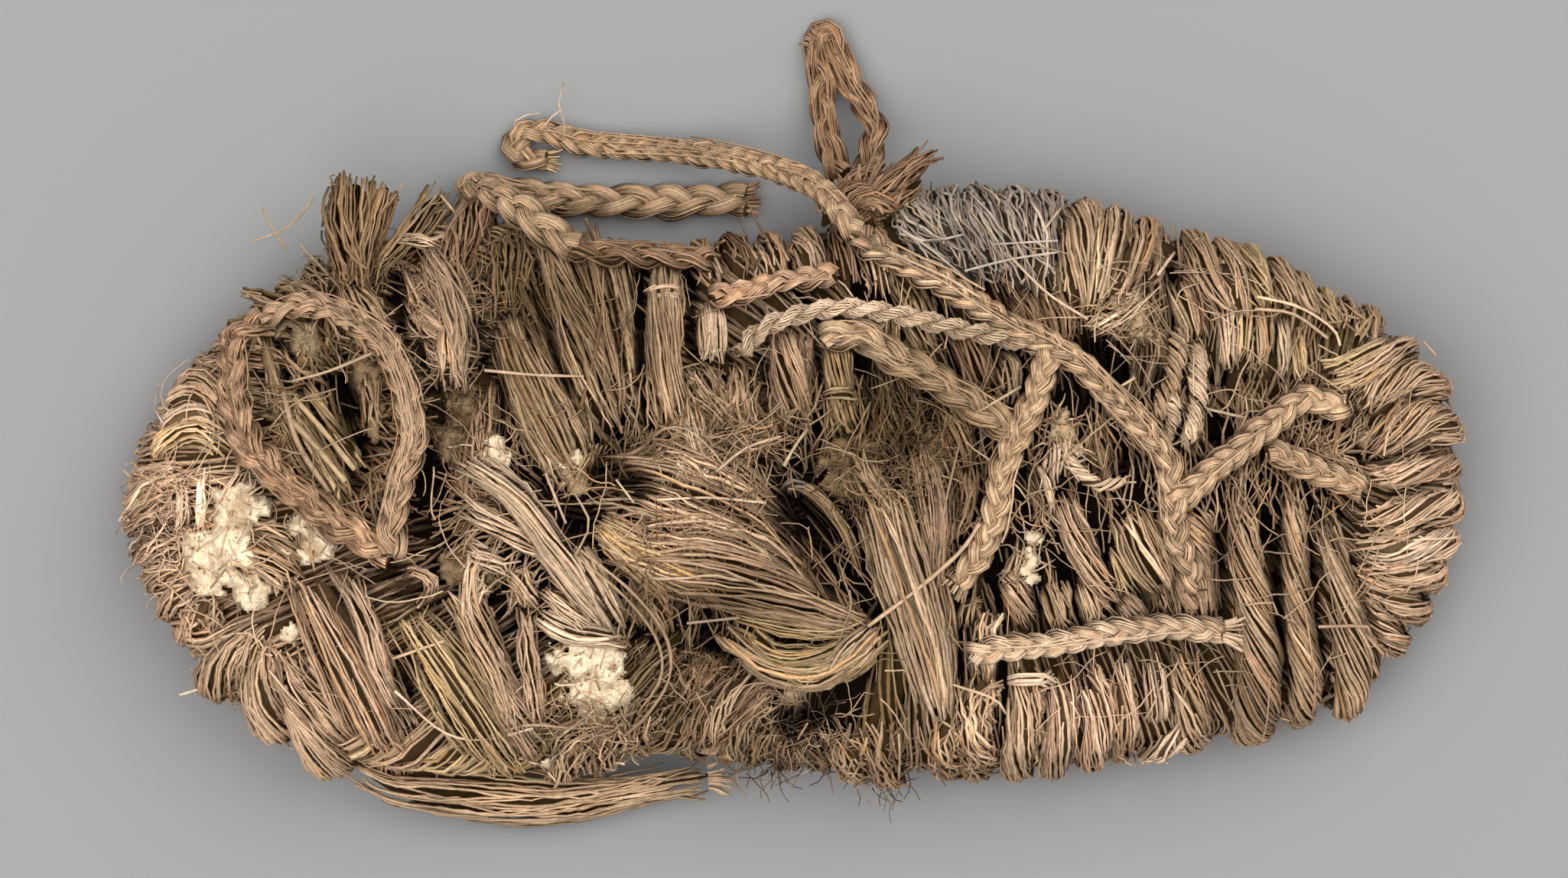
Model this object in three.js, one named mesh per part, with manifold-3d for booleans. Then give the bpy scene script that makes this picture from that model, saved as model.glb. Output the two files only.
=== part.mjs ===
// A medieval shoe of esparto grass: a thick bundled sole, a wall of grass bundles looped over the sole's edge
// and drawn in towards an open throat, three-strand braids that lace the forefoot and the heel, and the stiff
// remains of its ankle ties. Millimetres. +X is the toe, +Y the left side seen from above, +Z up, z = 0 the floor.
import * as THREE from "three";
import { mergeVertices } from "three/addons/utils/BufferGeometryUtils.js";
import Module from "manifold-3d";

const wasm = await Module();
wasm.setup();

// ---------------------------------------------------------------- driving sizes
const HALF_LENGTH = 131.5; // half the length over the wall's outline
const ROUNDNESS = 2.4; // exponent of the plan outline, 2 is an ellipse
const SOLE_THICK = 14;
const GAP = 0.45; // between the sole and the wall, which curve differently
const RIM_Z = 21; // height of the widest line of the wall
const WALL = 7; // one layer of bundles
const DOME = 1.75; // exponent of the cross-section above the rim
const SOLE_INSET = 3; // the sole's top edge inside the wall's widest line
const BUNDLES = 44; // bundles round the wall
const PER_BUNDLE = 4; // columns of the faceted wall in one bundle
const GROOVE = 1.3; // depth of the groove between two bundles
const TOE_SPRING = 4; // how far the toe tip lifts
const HEEL_SPRING = 1.5;
const ARCH = 1.2; // how far the waist of the sole clears the floor
const SPINE = 75; // half length of the crest line
const BRAID_D = 5.2; // three-strand braid
const CORD_D = 4.2; // the two-ply cord over the instep
const TIE_D = 6.6; // the flat broken tie
const CLEAR = 0.4; // a braid's underside above the bundles' crests

// Outline and crest, by share of the half length: breadths left (+Y) and right (-Y) of the centre line, before
// the ends are rounded, and the height of the outer crest.
const STATIONS = [
  { at: -1.0, left: 42, right: 60, crest: 50 },
  { at: -0.8, left: 55, right: 65.5, crest: 52 },
  { at: -0.6, left: 61, right: 64, crest: 54 },
  { at: -0.4, left: 55.5, right: 57, crest: 55 },
  { at: -0.2, left: 50.2, right: 52.4, crest: 55 },
  { at: 0.0, left: 51, right: 54.2, crest: 55 },
  { at: 0.2, left: 59.5, right: 56.8, crest: 54 },
  { at: 0.4, left: 61.3, right: 58, crest: 52 },
  { at: 0.6, left: 59, right: 58.5, crest: 49 },
  { at: 0.8, left: 58.5, right: 61.5, crest: 45 },
  { at: 1.0, left: 60, right: 58, crest: 42 },
];
// The throat: its left and right edges along the shoe. It is wide at the collar and a slot over the forefoot.
const THROAT = [
  { x: -62, left: -3, right: -3 },
  { x: -55, left: 8, right: -13 },
  { x: -42, left: 13, right: -19 },
  { x: -20, left: 15, right: -22 },
  { x: 2, left: 14, right: -20 },
  { x: 20, left: 11, right: -11 },
  { x: 38, left: 11, right: -3 },
  { x: 65, left: 12, right: 2 },
  { x: 92, left: 13, right: 3 },
  { x: 103, left: 12, right: 4 },
  { x: 107, left: 8, right: 8 },
];
const HEEL_HOLE = { x: -89, y: 17, halfX: 8.5, halfY: 15 }; // between the two heel braids

// ---------------------------------------------------------------- helpers
const clamp = (v, lo, hi) => Math.min(hi, Math.max(lo, v));
// A smooth value from a table with evenly or unevenly spaced rows (monotone-ish cubic through the rows).
function along(rows, key, value, column) {
  let k = 0;
  while (k < rows.length - 2 && value > rows[k + 1][key]) k++;
  const r = (i) => rows[clamp(i, 0, rows.length - 1)];
  const a = r(k),
    b = r(k + 1);
  const t = clamp((value - a[key]) / (b[key] - a[key]), 0, 1);
  const slope = (i) => {
    const p = r(i - 1),
      n = r(i + 1);
    return p === n ? 0 : (n[column] - p[column]) / (n[key] - p[key]);
  };
  const h = b[key] - a[key],
    m0 = slope(k) * h,
    m1 = slope(k + 1) * h;
  const t2 = t * t,
    t3 = t2 * t;
  return (
    (2 * t3 - 3 * t2 + 1) * a[column] +
    (t3 - 2 * t2 + t) * m0 +
    (-2 * t3 + 3 * t2) * b[column] +
    (t3 - t2) * m1
  );
}
const taper = (s) =>
  Math.pow(Math.max(0, 1 - Math.pow(Math.abs(s), ROUNDNESS)), 1 / ROUNDNESS);
const edgeY = (x, side) => {
  const s = clamp(x / HALF_LENGTH, -1, 1);
  const left = along(STATIONS, "at", s, "left"),
    right = along(STATIONS, "at", s, "right");
  return side > 0 ? left * taper(s) : -right * taper(s);
};
const spineY = (x) => (edgeY(x, 1) + edgeY(x, -1)) / 2;
const spring = (x) =>
  x > 70
    ? TOE_SPRING * Math.pow((x - 70) / (HALF_LENGTH - 70), 2)
    : x < -100
      ? HEEL_SPRING * Math.pow((-100 - x) / (HALF_LENGTH - 100), 2)
      : 0;

// The outline as a closed loop of points at equal steps, starting at the toe tip and running by the left side.
function loopOf(count, pointAt) {
  const dense = 1440,
    pts = [];
  for (let i = 0; i < dense; i++) pts.push(pointAt((i / dense) * 2 * Math.PI));
  const len = [0];
  for (let i = 1; i <= dense; i++)
    len.push(len[i - 1] + pts[i % dense].distanceTo(pts[i - 1]));
  const half = len[dense / 2],
    total = len[dense],
    out = [];
  for (let i = 0; i < count; i++) {
    // each side, toe tip to heel tip and back, is divided by itself
    const f = i / count,
      d = f <= 0.5 ? f * 2 * half : half + (f - 0.5) * 2 * (total - half);
    let k = 1;
    while (len[k] < d && k < dense) k++;
    const t = (d - len[k - 1]) / Math.max(1e-9, len[k] - len[k - 1]);
    out.push(pts[k - 1].clone().lerp(pts[k % dense], t));
  }
  return out;
}
const power = (v) => Math.sign(v) * Math.pow(Math.abs(v), 2 / ROUNDNESS);
const outlinePoint = (a) => {
  const x = HALF_LENGTH * power(Math.cos(a));
  return new THREE.Vector2(x, edgeY(x, Math.sin(a) >= 0 ? 1 : -1));
};
const throatPoint = (a) => {
  const first = THROAT[0].x,
    last = THROAT[THROAT.length - 1].x;
  const x = (first + last) / 2 + ((last - first) / 2) * Math.cos(a);
  const rows = THROAT;
  let k = 0;
  while (k < rows.length - 2 && x > rows[k + 1].x) k++;
  const t = (x - rows[k].x) / (rows[k + 1].x - rows[k].x);
  const column = Math.sin(a) >= 0 ? "left" : "right";
  return new THREE.Vector2(
    x,
    rows[k][column] + t * (rows[k + 1][column] - rows[k][column]),
  );
};

// How far a plan point is from the crest line, 0 on it and 1 on the outline.
function share(x, y) {
  const sx = clamp(x, -SPINE, SPINE),
    sy = spineY(sx);
  const d = Math.hypot(x - sx, y - sy);
  if (Math.abs(x) <= SPINE)
    return Math.min(1, Math.abs(y - sy) / Math.abs(edgeY(x, y >= sy ? 1 : -1) - sy));
  if (d < 1e-6) return 0;
  // walk out from the end of the crest line to the outline
  const ux = (x - sx) / d,
    uy = (y - sy) / d;
  let lo = 0,
    hi = 90;
  for (let i = 0; i < 30; i++) {
    const m = (lo + hi) / 2,
      px = sx + ux * m,
      py = sy + uy * m;
    const inside =
      Math.abs(px) < HALF_LENGTH && py < edgeY(px, 1) && py > edgeY(px, -1);
    if (inside) lo = m;
    else hi = m;
  }
  return Math.min(1, d / lo);
}
// Height of the wall's smooth outer skin over a plan point.
function skin(x, y) {
  const crest = along(STATIONS, "at", clamp(x / HALF_LENGTH, -1, 1), "crest");
  const u = share(x, y);
  return (
    RIM_Z +
    spring(x) +
    (crest - RIM_Z) * Math.pow(Math.max(0, 1 - Math.pow(u, DOME)), 1 / DOME)
  );
}

// A closed solid from a closed ring of profiles: rows[i][k] is point k of profile i, and both directions close.
function ringSolid(rows) {
  const n = rows.length,
    m = rows[0].length,
    position = [],
    index = [];
  for (const row of rows) for (const p of row) position.push(p.x, p.y, p.z);
  for (let i = 0; i < n; i++)
    for (let k = 0; k < m; k++) {
      const a = i * m + k,
        b = ((i + 1) % n) * m + k,
        c = ((i + 1) % n) * m + ((k + 1) % m),
        d = i * m + ((k + 1) % m);
      index.push(a, b, c, a, c, d);
    }
  return closed(position, index);
}
// A closed solid from loops stacked between two end points.
function stackSolid(loops, first, last) {
  const n = loops[0].length,
    position = [],
    index = [];
  for (const l of loops) for (const p of l) position.push(p.x, p.y, p.z);
  for (let k = 0; k < loops.length - 1; k++)
    for (let i = 0; i < n; i++) {
      const a = k * n + i,
        b = k * n + ((i + 1) % n),
        c = (k + 1) * n + ((i + 1) % n),
        d = (k + 1) * n + i;
      index.push(a, b, c, a, c, d);
    }
  const f = position.length / 3;
  position.push(first.x, first.y, first.z, last.x, last.y, last.z);
  const top = (loops.length - 1) * n;
  for (let i = 0; i < n; i++) {
    index.push(f, (i + 1) % n, i);
    index.push(f + 1, top + i, top + ((i + 1) % n));
  }
  return closed(position, index);
}
function closed(position, index) {
  const g = new THREE.BufferGeometry();
  g.setAttribute("position", new THREE.Float32BufferAttribute(position, 3));
  g.setIndex(index);
  return g;
}
function toSolid(geometry) {
  const g = geometry.clone();
  g.deleteAttribute("normal");
  g.deleteAttribute("uv");
  const m = mergeVertices(g, 1e-4);
  const made = new wasm.Manifold(
    new wasm.Mesh({
      numProp: 3,
      vertProperties: new Float32Array(m.attributes.position.array),
      triVerts: new Uint32Array(m.index.array),
    }),
  );
  return made;
}
function fromSolid(solid) {
  const mesh = solid.getMesh(),
    position = [];
  for (let i = 0; i < mesh.numVert; i++)
    for (let k = 0; k < 3; k++)
      position.push(mesh.vertProperties[i * mesh.numProp + k]);
  const g = closed(position, Array.from(mesh.triVerts));
  g.computeVertexNormals();
  return g;
}

// ---------------------------------------------------------------- sole
const SOLE_LOOP = 88;
const arch = (x) => {
  const t = (x + 45) / 70; // the waist, from behind the arch to the ball
  return t <= 0 || t >= 1 ? 0 : ARCH * Math.sin(Math.PI * t) ** 2;
};
function inset(points, by) {
  const n = points.length;
  return points.map((p, i) => {
    const a = points[(i + n - 1) % n],
      b = points[(i + 1) % n];
    const t = b.clone().sub(a).normalize();
    return new THREE.Vector2(p.x - t.y * by, p.y + t.x * by);
  });
}
function soleSolid() {
  const edge = loopOf(SOLE_LOOP, outlinePoint);
  const bottom = (p) => spring(p.x) + arch(p.x);
  const top = (p) => SOLE_THICK + spring(p.x);
  const level = (by, z) =>
    inset(edge, by).map((p) => new THREE.Vector3(p.x, p.y, z(p)));
  const shrink = (by, share, z) =>
    inset(edge, by).map((p) => {
      const q = { x: p.x * share, y: spineY(0) + (p.y - spineY(0)) * share };
      return new THREE.Vector3(q.x, q.y, z(q));
    });
  const loops = [
    shrink(8, 0.36, bottom),
    shrink(8, 0.7, bottom),
    level(8.5, bottom),
    level(5, (p) => bottom(p) + 1.6),
    level(3, (p) => bottom(p) + 5),
    level(2.4, (p) => bottom(p) + 9),
    level(SOLE_INSET, top),
    shrink(3, 0.6, top),
  ];
  const y = spineY(0);
  return stackSolid(
    loops,
    new THREE.Vector3(0, y, bottom({ x: 0 })),
    new THREE.Vector3(0, y, top({ x: 0 })),
  );
}

// ---------------------------------------------------------------- upper
// Shares of the way from the rim to the throat at which the wall has a ring.
const RINGS = [0.05, 0.13, 0.26, 0.42, 0.6, 0.8, 1];
function upperSolid() {
  const count = BUNDLES * PER_BUNDLE;
  const rim = loopOf(count, outlinePoint);
  const throat = loopOf(count, throatPoint);
  const outward = inset(rim, 1).map((p, i) => rim[i].clone().sub(p));
  const at = (i, t) => {
    const j = ((i % count) + count) % count;
    const p = rim[j].clone().lerp(throat[j], t);
    return new THREE.Vector3(p.x, p.y, skin(p.x, p.y));
  };
  const normal = (i, t) => {
    const da = at(i + 1, t).sub(at(i - 1, t));
    const db = at(i, Math.min(1, t + 0.02)).sub(at(i, Math.max(0.002, t - 0.02)));
    const n = new THREE.Vector3().crossVectors(da, db).normalize();
    return n.z < 0 ? n.negate() : n;
  };
  const rows = [];
  for (let i = 0; i < count; i++) {
    // the groove between two bundles, shallow at the throat
    const wave = 1 - Math.abs(Math.sin((Math.PI * i) / PER_BUNDLE));
    const out = new THREE.Vector3(outward[i].x, outward[i].y, 0);
    const foot = new THREE.Vector3(rim[i].x, rim[i].y, 0);
    const side = (by, z) =>
      foot
        .clone()
        .addScaledVector(out, -by)
        .setZ(z + spring(rim[i].x));
    const base = SOLE_THICK + GAP;
    const profile = [
      side(SOLE_INSET + 0.4 * GROOVE * wave, base),
      side(0.8 + GROOVE * wave, base + 3),
      side(GROOVE * wave, RIM_Z),
    ];
    for (const t of RINGS)
      profile.push(
        at(i, t).addScaledVector(normal(i, t), -GROOVE * wave * (1 - 0.6 * t)),
      );
    // rounded edge of the throat
    const lip = at(i, 1),
      nl = normal(i, 1);
    const inwards = throat[i].clone().sub(rim[i]).normalize();
    profile.push(
      lip
        .clone()
        .addScaledVector(nl, -WALL / 2)
        .add(new THREE.Vector3(inwards.x, inwards.y, 0).multiplyScalar(1.2)),
    );
    for (const t of [1, 0.74, 0.48, 0.26, 0.1])
      profile.push(at(i, t).addScaledVector(normal(i, t), -WALL));
    profile.push(side(WALL, RIM_Z + 1));
    profile.push(side(SOLE_INSET + WALL - 1.5, base));
    rows.push(profile);
  }
  let wall = toSolid(ringSolid(rows));
  const hole = new THREE.Shape().absellipse(
    HEEL_HOLE.x,
    HEEL_HOLE.y,
    HEEL_HOLE.halfX,
    HEEL_HOLE.halfY,
    0,
    2 * Math.PI,
  );
  const punch = new THREE.ExtrudeGeometry(new THREE.Shape(hole.getPoints(5)), {
    depth: 60,
    bevelEnabled: false,
    steps: 1,
  });
  punch.translate(0, 0, 33);
  wall = wall.subtract(toSolid(punch));
  return fromSolid(wall.add(bundle(SIDE_BUNDLE)).add(bundle(SHOULDER_STUB)));
}

// ---------------------------------------------------------------- braids and ties
// The height at which the middle of a ball of that diameter stands when it rests on the wall.
function resting(x, y, diameter) {
  const reach = diameter / 2 + CLEAR;
  let z = skin(x, y) + reach;
  for (const f of [0.35, 0.7, 0.95])
    for (let i = 0; i < 12; i++) {
      const a = (i / 12) * 2 * Math.PI,
        d = reach * f;
      const there = skin(x + d * Math.cos(a), y + d * Math.sin(a));
      z = Math.max(z, there + Math.sqrt(reach * reach - d * d));
    }
  return z;
}
// A braid that lies on the wall: its rows give plan points, and lift is extra height where it passes over another.
function onWall(rows, diameter) {
  return rows.map(
    (r) =>
      new THREE.Vector3(r.x, r.y, resting(r.x, r.y, diameter) + (r.lift || 0)),
  );
}
const section = (diameter, sides = 8) => {
  const pts = [];
  for (let i = 0; i < sides; i++) {
    const a = ((i + 0.5) / sides) * 2 * Math.PI;
    pts.push(
      new THREE.Vector2((diameter / 2) * Math.cos(a), (diameter / 2) * Math.sin(a)),
    );
  }
  return new THREE.Shape(pts);
};
function tube(points, diameter, step = 2, sides = 8) {
  const path = new THREE.CatmullRomCurve3(points, false, "centripetal");
  return new THREE.ExtrudeGeometry(section(diameter, sides), {
    steps: Math.max(3, Math.round(path.getLength() / (step * diameter))),
    bevelEnabled: false,
    extrudePath: path,
  });
}
// A tube laid on the wall, its height read from the wall at every step.
function laid(rows, diameter) {
  const flat = new THREE.CatmullRomCurve3(
    rows.map((r) => new THREE.Vector3(r.x, r.y, r.lift || 0)),
    false,
    "centripetal",
  );
  const n = Math.max(4, Math.round(flat.getLength() / 6));
  const dense = flat
    .getSpacedPoints(n)
    .map((p) => ({ x: p.x, y: p.y, lift: p.z }));
  return tube(onWall(dense, diameter), diameter, 1.3);
}
const joined = (parts) =>
  fromSolid(parts.map(toSolid).reduce((a, b) => a.add(b)));

const LONG_BRAID = [
  { x: 14, y: 49.5, lift: 0 },
  { x: 22, y: 45, lift: 0 },
  { x: 37, y: 36.6, lift: 0 },
  { x: 48, y: 30, lift: 0.4 },
  { x: 54, y: 26.9, lift: 0.8 },
  { x: 62.3, y: 19.7, lift: 0 },
  { x: 68.4, y: 12.8, lift: 0 },
  { x: 73.5, y: 5.8, lift: 0.4 },
  { x: 74.5, y: -1.8, lift: 0.4 },
  { x: 75.2, y: -8.3, lift: 0 },
  { x: 79, y: -19, lift: 0 },
];
const TOE_ARM = [
  { x: 74.5, y: -2.5, lift: 0 },
  { x: 80, y: 2.5, lift: 0 },
  { x: 87.3, y: 9.2, lift: 0 },
  { x: 93.8, y: 14, lift: 0 },
  { x: 100.2, y: 18.3, lift: 0 },
  { x: 108.5, y: 17, lift: 0 },
];
const DOWN_ARM = [
  { x: 50.5, y: 27.5, lift: 0 },
  { x: 45.4, y: 14.3, lift: 0 },
  { x: 41.8, y: 5.8, lift: 0 },
  { x: 39.5, y: -2.9, lift: 0 },
  { x: 37.2, y: -10.3, lift: 0 },
  { x: 32.6, y: -17.7, lift: 0 },
];
const TWISTED = [
  { x: -9.8, y: 27.4, lift: 0 },
  { x: -6.9, y: 31.5, lift: 0 },
  { x: 0.6, y: 34.9, lift: 0 },
  { x: 10.6, y: 36.4, lift: 0 },
  { x: 21.5, y: 34.9, lift: 0 },
  { x: 33.8, y: 32, lift: 0 },
  { x: 44, y: 30, lift: 0 },
  { x: 50, y: 28.5, lift: 0 },
];
const CROSS_BRAID = [
  { x: 6, y: 30.2, lift: 0 },
  { x: 12.6, y: 31, lift: 0 },
  { x: 19, y: 27.4, lift: 0 },
  { x: 26.4, y: 23.5, lift: 0 },
  { x: 32.9, y: 19, lift: 0 },
  { x: 38.9, y: 15, lift: 0 },
  { x: 44.5, y: 12.5, lift: 0 },
];
const TOE_BRAID = [
  { x: 93.5, y: 8.6, lift: 0 },
  { x: 99.3, y: 5.8, lift: 0 },
  { x: 106.7, y: 2.8, lift: 0 },
  { x: 111.8, y: 1.1, lift: 0 },
];
const SIDE_BRAID = [
  { x: -15.6, y: 38.6, lift: 0 },
  { x: -10.4, y: 39.2, lift: 0 },
  { x: -3.4, y: 41.2, lift: 0 },
  { x: 4, y: 42.3, lift: 0 },
  { x: 8.5, y: 43, lift: 0 },
];
const LOWER_BRAID = [
  { x: 35, y: -31.5, lift: 0 },
  { x: 42, y: -29.8, lift: 0 },
  { x: 52.7, y: -29, lift: 0 },
  { x: 61.3, y: -27.2, lift: 0 },
  { x: 72.9, y: -25.8, lift: 0 },
  { x: 84.3, y: -26.9, lift: 0 },
];
const HEEL_LEFT = [
  { x: -103.8, y: 34, lift: 0 },
  { x: -108.5, y: 31, lift: 0 },
  { x: -109.4, y: 24.9, lift: 0 },
  { x: -109.6, y: 18, lift: 0 },
  { x: -105.3, y: 9.2, lift: 0 },
  { x: -99.5, y: 2.2, lift: 0 },
  { x: -93.2, y: -2.5, lift: 0 },
  { x: -85.6, y: -7.2, lift: 0 },
  { x: -78, y: -12, lift: 0 },
];
const HEEL_RIGHT = [
  { x: -103.8, y: 34, lift: 0 },
  { x: -93.6, y: 37.2, lift: 0 },
  { x: -85.6, y: 34, lift: 0 },
  { x: -80.6, y: 29.7, lift: 0 },
  { x: -76.7, y: 24.1, lift: 0 },
  { x: -74.7, y: 18, lift: 0 },
  { x: -73.9, y: 11.7, lift: 0 },
  { x: -75.9, y: 4.6, lift: 0 },
  { x: -77.2, y: -3.4, lift: 0 },
  { x: -77.6, y: -12, lift: 0 },
];
const TIE_ROOT = [
  { x: -16, y: 45.9, lift: 0 },
  { x: -22, y: 46.2, lift: 0 },
  { x: -30, y: 46.8, lift: 0 },
  { x: -40, y: 47.4, lift: 0 },
];
// Free ties: points in space, down to the floor outside the wall. A row with no z rests on the wall.
const LONG_TIE = [
  { x: 12.6, y: 51.2 },
  { x: 10.4, y: 54.2, z: 35 },
  { x: 7.6, y: 58, z: 31 },
  { x: 2.5, y: 61.6, z: 25.5 },
  { x: -6, y: 64.6, z: 16.5 },
  { x: -17, y: 66.9, z: 8.4 },
  { x: -29, y: 68.2, z: 4 },
  { x: -41, y: 69, z: 3.1 },
  { x: -48.5, y: 71.4, z: 3.1 },
  { x: -53.2, y: 71, z: 3.1 },
  { x: -55, y: 68.2, z: 3.1 },
  { x: -52.6, y: 65.9, z: 3.1 },
  { x: -48.4, y: 65.7, z: 3.1 },
];
const LOOP_OUT = [
  { x: 9.6, y: 62.6, z: 17.4 },
  { x: 6.6, y: 72, z: 9 },
  { x: 5.4, y: 81.5, z: 4 },
  { x: 5, y: 88.5, z: 3.1 },
];
const LOOP_BACK = [
  { x: 10, y: 88.2, z: 3.1 },
  { x: 13.6, y: 79, z: 5 },
  { x: 15.6, y: 72, z: 10 },
  { x: 14.4, y: 62.6, z: 18 },
];
const BROKEN_TIE = [
  { x: -42.4, y: 47.9 },
  { x: -47.6, y: 51.4, z: 35.6 },
  { x: -52.8, y: 55.6, z: 31 },
  { x: -58.5, y: 58.6, z: 23 },
  { x: -62.8, y: 60.4, z: 13 },
  { x: -59.5, y: 60, z: 5.6 },
  { x: -50, y: 58.5, z: 3.8 },
  { x: -30, y: 57.6, z: 3.8 },
  { x: -9, y: 58, z: 3.8 },
];
// Two bundles of the wall that have slipped out of its line.
const SIDE_BUNDLE = [
  { x: -88, y: -48.5, z: 20, thick: 6 },
  { x: -70, y: -59.2, z: 19, thick: 8.4 },
  { x: -50, y: -61.6, z: 18.4, thick: 8.6 },
  { x: -34, y: -59.4, z: 19, thick: 7.4 },
  { x: -17, y: -51.5, z: 21, thick: 5 },
];
const SHOULDER_STUB = [
  { x: -70, y: 37, z: 36, thick: 9 },
  { x: -78, y: 46, z: 35, thick: 11 },
  { x: -84, y: 54, z: 31.5, thick: 12 },
  { x: -88, y: 60.5, z: 28, thick: 10 },
];
const space = (rows, diameter) =>
  rows.map(
    (r) => new THREE.Vector3(r.x, r.y, r.z ?? resting(r.x, r.y, diameter)),
  );

// A lens-shaped knot: a sphere flattened to its half sizes.
function knot(x, y, z, halfX, halfY, halfZ) {
  const g = new THREE.SphereGeometry(1, 12, 8);
  g.scale(halfX, halfY, halfZ);
  g.translate(x, y, z);
  return g;
}
// A tapering bundle: eight-sided loops along its rows.
function bundle(rows, sides = 10) {
  const pts = space(rows),
    loops = [];
  const curve = new THREE.CatmullRomCurve3(pts, false, "centripetal");
  const steps = 14;
  for (let k = 0; k <= steps; k++) {
    const t = k / steps,
      c = curve.getPointAt(t),
      d = curve.getTangentAt(t);
    const s = t * (rows.length - 1),
      j = Math.min(rows.length - 2, Math.floor(s));
    const r =
      (rows[j].thick + (rows[j + 1].thick - rows[j].thick) * (s - j)) / 2;
    const side = new THREE.Vector3().crossVectors(d, new THREE.Vector3(0, 0, 1)).normalize();
    const up = new THREE.Vector3().crossVectors(side, d).normalize();
    const loop = [];
    for (let i = 0; i < sides; i++) {
      const a = -(i / sides) * 2 * Math.PI;
      loop.push(
        c
          .clone()
          .addScaledVector(side, r * Math.cos(a))
          .addScaledVector(up, r * 0.8 * Math.sin(a)),
      );
    }
    loops.push(loop);
  }
  return toSolid(stackSolid(loops, curve.getPointAt(0), curve.getPointAt(1)));
}

// ---------------------------------------------------------------- the shoe
const straw = (color, roughness = 0.9) =>
  new THREE.MeshStandardMaterial({ color, roughness, metalness: 0 });
const shoe = new THREE.Group();
const MIDDLE_Y = -1.22; // middle of the shoe's width without its free ties
function put(name, geometry, material) {
  geometry.translate(0, -MIDDLE_Y, 0);
  geometry.computeVertexNormals();
  const mesh = new THREE.Mesh(geometry, material);
  mesh.name = name;
  shoe.add(mesh);
  return mesh;
}
put("sole", soleSolid(), straw(0x9a805f));
put("upper", upperSolid(), straw(0xa88c6a));
put(
  "forefoot_braids",
  joined([
    laid(LONG_BRAID, BRAID_D),
    laid(TOE_ARM, BRAID_D),
    laid(DOWN_ARM, BRAID_D),
    laid(TWISTED, CORD_D),
    laid(CROSS_BRAID, BRAID_D),
  ]),
  straw(0xb59a74),
);
put("toe_braid", fromSolid(toSolid(laid(TOE_BRAID, BRAID_D))), straw(0xae9270));
put("side_braid", fromSolid(toSolid(laid(SIDE_BRAID, BRAID_D))), straw(0xa98d66));
put("lower_braid", fromSolid(toSolid(laid(LOWER_BRAID, BRAID_D))), straw(0xb39876));
put(
  "heel_braids",
  joined([laid(HEEL_LEFT, BRAID_D), laid(HEEL_RIGHT, BRAID_D)]),
  straw(0xa3896c),
);
put("broken_tie_root", fromSolid(toSolid(laid(TIE_ROOT, TIE_D))), straw(0x8f7150));
put("broken_tie", tube(space(BROKEN_TIE, TIE_D), TIE_D, 1.2), straw(0xa68660));
put("long_tie", tube(space(LONG_TIE, BRAID_D), BRAID_D, 1.2), straw(0xb89a68));
put(
  "loop_tie",
  joined([
    tube(space(LOOP_OUT), BRAID_D),
    knot(7.4, 88.6, 3.1, 5.2, 3.4, 2.7),
    tube(space(LOOP_BACK), BRAID_D),
    knot(12, 60.6, 18.6, 6.4, 5.4, 4.8),
  ]),
  straw(0x8f6a44),
);
export default shoe;
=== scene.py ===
import math

import bpy
import numpy as np
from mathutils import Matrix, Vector, noise


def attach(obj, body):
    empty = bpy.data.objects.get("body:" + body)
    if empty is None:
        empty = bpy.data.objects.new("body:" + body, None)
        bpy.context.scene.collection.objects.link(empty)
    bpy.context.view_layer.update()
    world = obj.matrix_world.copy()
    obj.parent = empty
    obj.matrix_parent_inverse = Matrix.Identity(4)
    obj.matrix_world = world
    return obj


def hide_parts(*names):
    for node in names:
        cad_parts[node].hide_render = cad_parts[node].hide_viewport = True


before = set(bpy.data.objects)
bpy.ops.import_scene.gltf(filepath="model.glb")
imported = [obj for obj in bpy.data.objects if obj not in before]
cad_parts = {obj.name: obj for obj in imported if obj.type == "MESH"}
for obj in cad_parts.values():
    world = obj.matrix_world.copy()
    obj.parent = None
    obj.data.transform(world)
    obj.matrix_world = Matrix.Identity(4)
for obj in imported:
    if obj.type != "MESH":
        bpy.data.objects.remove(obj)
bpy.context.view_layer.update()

MM = 0.001

# ---------------------------------------------------------------- sizes, in mm, as in the CAD source
HALF_LENGTH = 131.5
ROUNDNESS = 2.4
SOLE_THICK = 14.0
RIM_Z = 21.0
DOME = 1.75
TOE_SPRING = 4.0
HEEL_SPRING = 1.5
ARCH = 1.2
SPINE = 75.0
MIDDLE_Y = -1.22
CLEAR = 0.4
# share of the half length, breadth left, breadth right, height of the crest
STATIONS = np.array([
    (-1.0, 42, 60, 50), (-0.8, 55, 65.5, 52), (-0.6, 61, 64, 54), (-0.4, 55.5, 57, 55),
    (-0.2, 50.2, 52.4, 55), (0.0, 51, 54.2, 55), (0.2, 59.5, 56.8, 54), (0.4, 61.3, 58, 52),
    (0.6, 59, 58.5, 49), (0.8, 58.5, 61.5, 45), (1.0, 60, 58, 42)])
# x, left and right edges of the throat
THROAT = np.array([
    (-62, -3, -3), (-55, 8, -13), (-42, 13, -19), (-20, 15, -22), (2, 14, -20), (20, 11, -11),
    (38, 11, -3), (65, 12, 2), (92, 13, 3), (103, 12, 4), (107, 8, 8)], float)

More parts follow.
